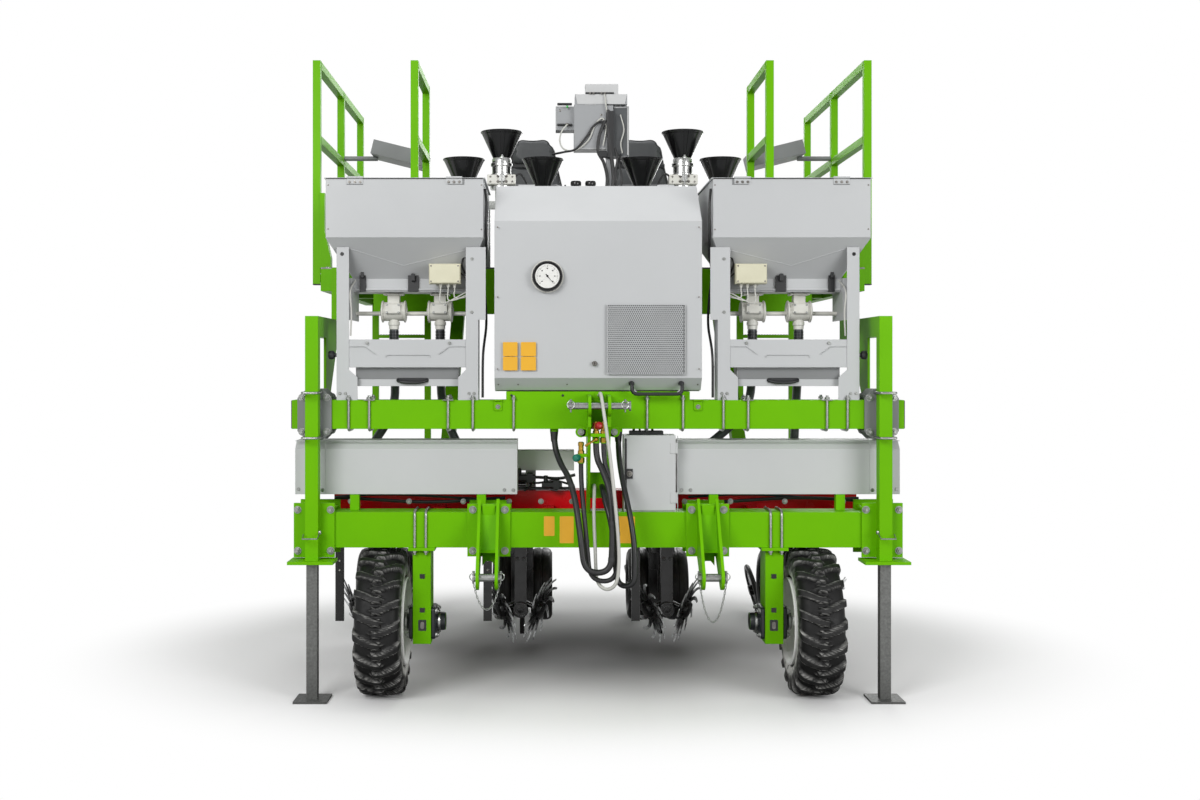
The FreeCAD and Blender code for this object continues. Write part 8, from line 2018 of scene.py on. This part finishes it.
# The shank's holes are pale discs: painted light, for the bright backdrop seen through them.
shank_hole = lathe([(0, 0), (0.005, 0), (0.005, 0.0006), (0, 0.0006)], 14)
black_shapes, bright_shapes, springs, hole_shapes = [], [], [], []
METER = (0.046, -0.0545, 0.800)
LINK_YS = (-0.612, -0.300)
LINK_ZS = (0.8255, 0.9155)
STEM_FRONT = -0.5345
SHANK_INSET = 0.165
for row_x in ROW_XS:
    for s in (-1, 1):
        at = row_place(row_x, s, METER)
        black_shapes.append(put(meter_cap, at, (s, 0, 0)))
        bright_shapes.append(put(cap_bolts, at, (s, 0, 0)))
        bright_shapes += [put(hex_bolt(0.018, 0.005), row_place(row_x, s, (0.055, y, z)), (s, 0, 0))
                          for z in LINK_ZS for y in LINK_YS]
        springs.append(put(tension, row_place(row_x, s, (0.030, -0.450, 0.870)), (0, 1, -0.22)))
    black_shapes += [put(nose, (row_x, STEM_FRONT, 0.300), FRONT),
                     put(slab(0.110, 0.130, 0.004, 0.001, radius=0.02), (row_x, -0.0865, 0.500), FRONT)]
    black_shapes += [put(hex_bolt(0.010, 0.004), (row_x + dx, STEM_FRONT, z), FRONT)
                     for dx in (-0.016, 0.016) for z in (0.560, 0.690)]
    black_shapes += [put(hex_bolt(0.010), (row_x + dx, -0.0848, 0.560), FRONT) for dx in (-0.042, 0.042)]
    hole_shapes += [put(shank_hole, (row_x - SHANK_INSET, -0.6110, z), FRONT) for z in (0.561, 0.514)]
add_piece("row_unit_castings", black_coat, *black_shapes, slot="black_paint")
add_piece("row_unit_bolts", zinc, *bright_shapes)
add_piece("shank_holes", white_plastic, *hole_shapes)
add_piece("row_unit_springs", steel, *springs)
print("row unit castings, bolts and springs")

# %% [markdown]
# ## Platform, ladders and railings
# Two operators ride behind the hoppers. They stand on chequer plate, which is rolled with raised
# lozenges, and climb ladders whose rungs have a grip strip. A bump on the material would not catch the
# light at the plate's edge, so the lozenges are real: one low pyramid is repeated over a grid, and every
# second one is turned. Open tube ends are closed by plastic plugs, and the joints show a weld bead.

# %% Chequer plate
floor_low, floor_high = corners_of("platform_floor")
_, frame_high = corners_of("platform_frame")
FLOOR_TOP = frame_high[2] + 0.008
LOZENGE = (0.024, 0.007, 0.0016)
LOZENGE_STEP = 0.034
length, width, rise = LOZENGE
lozenge = (np.array([(-length / 2, 0, 0), (0, -width / 2, 0), (length / 2, 0, 0), (0, width / 2, 0),
                     (-length / 5, 0, rise), (length / 5, 0, rise)]),
           [(0, 1, 5, 4), (1, 2, 5), (2, 3, 5), (3, 0, 4, 5)])
columns = np.arange(floor_low[0] + LOZENGE_STEP, floor_high[0] - LOZENGE_STEP, LOZENGE_STEP)
rows = np.arange(floor_low[1] + LOZENGE_STEP, floor_high[1] - LOZENGE_STEP, LOZENGE_STEP)
across, along = np.meshgrid(np.arange(len(columns)), np.arange(len(rows)), indexing="ij")
even = ((across + along) % 2 == 0).ravel()
spots = np.column_stack([columns[across.ravel()], rows[along.ravel()], np.full(across.size, FLOOR_TOP)])
chequer = together(stamp(lozenge, spots[even], up=(1, 1, 0)), stamp(lozenge, spots[~even], up=(-1, 1, 0)))
add_piece("chequer_lozenges", galvanized, chequer, slot="zinc_steel")
floor_edge_bolts = [(x, y, FLOOR_TOP) for x in np.linspace(floor_low[0] + 0.03, floor_high[0] - 0.03, 9)
                    for y in (floor_low[1] + 0.02, floor_high[1] - 0.02)]
add_piece("floor_bolts", zinc, stamp(button_screw(0.009), floor_edge_bolts))
print(len(spots), "lozenges")

# %% Ladder treads and plugs
LADDER_X, LADDER_HALF, RUNG = 1.190, 0.150, 0.040
ladder_bottom = 0.420
platform_bottom = FLOOR_TOP - 0.124
rung_tops = ladder_bottom + RUNG + np.arange(6) * (platform_bottom - ladder_bottom) / 6 + RUNG / 2
tread = slab(2 * LADDER_HALF, 0.034, 0.002, 0.0005)
stud = lathe([(0.0046, 0), (0.0046, 0.0012), (0.0036, 0.0022), (0.0024, 0.0022), (0.0020, 0.0004),
              (0, 0.0004)], 10)
stud_spots = [(x, y, 0.001) for x in np.linspace(-0.135, 0.135, 16) for y in (-0.009, 0.009)]
grip_strip = together(tread, stamp(stud, stud_spots))
rung_y = frame_high[1] - RUNG / 2
treads = stamp(grip_strip, [(LADDER_X, rung_y, z + 0.001) for z in rung_tops])
add_piece("ladder_treads", zinc, treads, both=True)
plug = slab(0.038, 0.038, 0.006, 0.002)
ladder_plugs = [(LADDER_X + side * (0.190 - RUNG / 2), rung_y, ladder_bottom - 0.002) for side in (-1, 1)]
rail_low, rail_high = corners_of("railings")
post_ys = (rail_low[1] + 0.020, (rail_low[1] + rail_high[1]) / 2, rail_high[1] - 0.020)
outer_x = rail_high[0] - 0.020
rail_plugs = [(outer_x, y, rail_low[2] - 0.002) for y in post_ys]
add_piece("tube_plugs", black_plastic, stamp(plug, ladder_plugs + rail_plugs), both=True)
print("treads on", 2 * len(rung_tops), "rungs")

# %% Weld beads, bracket bolts and shelf tabs
def bead(points, radius=0.0032):
    """A weld bead along a line: its radius swells and shrinks with the welder's steps of 4 mm."""
    points = np.asarray(points, float)
    spans = np.linalg.norm(np.diff(points, axis=0), axis=1)
    station = np.concatenate([[0], np.cumsum(spans)])
    at = np.linspace(0, station[-1], max(int(station[-1] / 0.002), 4))
    path = np.stack([np.interp(at, station, points[:, k]) for k in range(3)], -1)
    return sweep(path, radius * (1 + 0.16 * np.sin(2 * math.pi * at / 0.004 + 0.3)), 6)


def ring_bead(centre, half, along):
    """A bead round the end of a square tube of the given half width that runs along one axis."""
    ring = np.zeros((5, 3))
    turns = ((-1, -1), (1, -1), (1, 1), (-1, 1), (-1, -1))
    ring[:, [k for k in range(3) if k != along]] = np.array(turns) * half
    return bead(ring + centre, 0.0022)


TUBE_HALF = 0.020
MIDDLE_RAIL = 2.771
INNER_X, INNER_SPAN = 0.942, 0.676
beads = []
for post_x, ys in ((outer_x, post_ys), (INNER_X, (post_ys[0], post_ys[0] + INNER_SPAN))):
    for rail_z in (rail_high[2] - TUBE_HALF, MIDDLE_RAIL - TUBE_HALF):
        for y, side in [(ys[0], 1), (ys[-1], -1)] + [(y, side) for y in ys[1:-1] for side in (-1, 1)]:
            beads.append(ring_bead((post_x, y + side * TUBE_HALF, rail_z), TUBE_HALF, 1))
beads += [ring_bead((INNER_X, y, FLOOR_TOP), TUBE_HALF, 2) for y in (post_ys[0], post_ys[0] + INNER_SPAN)]
add_piece("weld_beads", green_coat, *beads, both=True, slot="green_paint")
REAR_EDGE = 1.385
bracket_bolts = [(frame_high[0] - 0.0002, y + dy, FLOOR_TOP - drop) for y in post_ys
                 for dy in (-0.016, 0.016) if y + dy < REAR_EDGE for drop in (0.030, 0.080)]
add_piece("bracket_bolts", zinc, stamp(hex_bolt(0.010, 0.004), bracket_bolts, (1, 0, 0)), both=True)

TAB_X = 0.468
beam_front = UPPER_BEAM_LOW[1]
hook_tab = put(slab(0.040, 0.050, 0.006, 0.0015, radius=0.008), (TAB_X, beam_front - 0.003, 1.364), FRONT)
hook_top = put(slab(0.040, 0.016, 0.006, 0.0015), (TAB_X, beam_front - 0.010, 1.3885))
add_piece("shelf_tabs", green_coat, hook_tab, hook_top, both=True, slot="green_paint")
add_piece("shelf_tab_bolts", zinc, put(hex_bolt(0.010, 0.004), (TAB_X, beam_front - 0.006, 1.358), FRONT),
          both=True)

hinge_leaf = slab(0.076, 0.028, 0.0022, 0.0006)
hinge_leaves = stamp(hinge_leaf, [(x, HOPPER_FRONT - 0.0011, 2.4075) for x in (0.662, 1.134)], FRONT)
lid_seal = put(slab(0.732, 0.005, 0.0045, 0.001), (0.903, HOPPER_FRONT - 0.001, 2.4225))
add_piece("lid_seals", black_plastic, lid_seal, both=True)
add_piece("lid_hinge_leaves", clamp_coat, hinge_leaves, both=True, slot="grey_plate")
print("beads, bolts, tabs and lid seals")
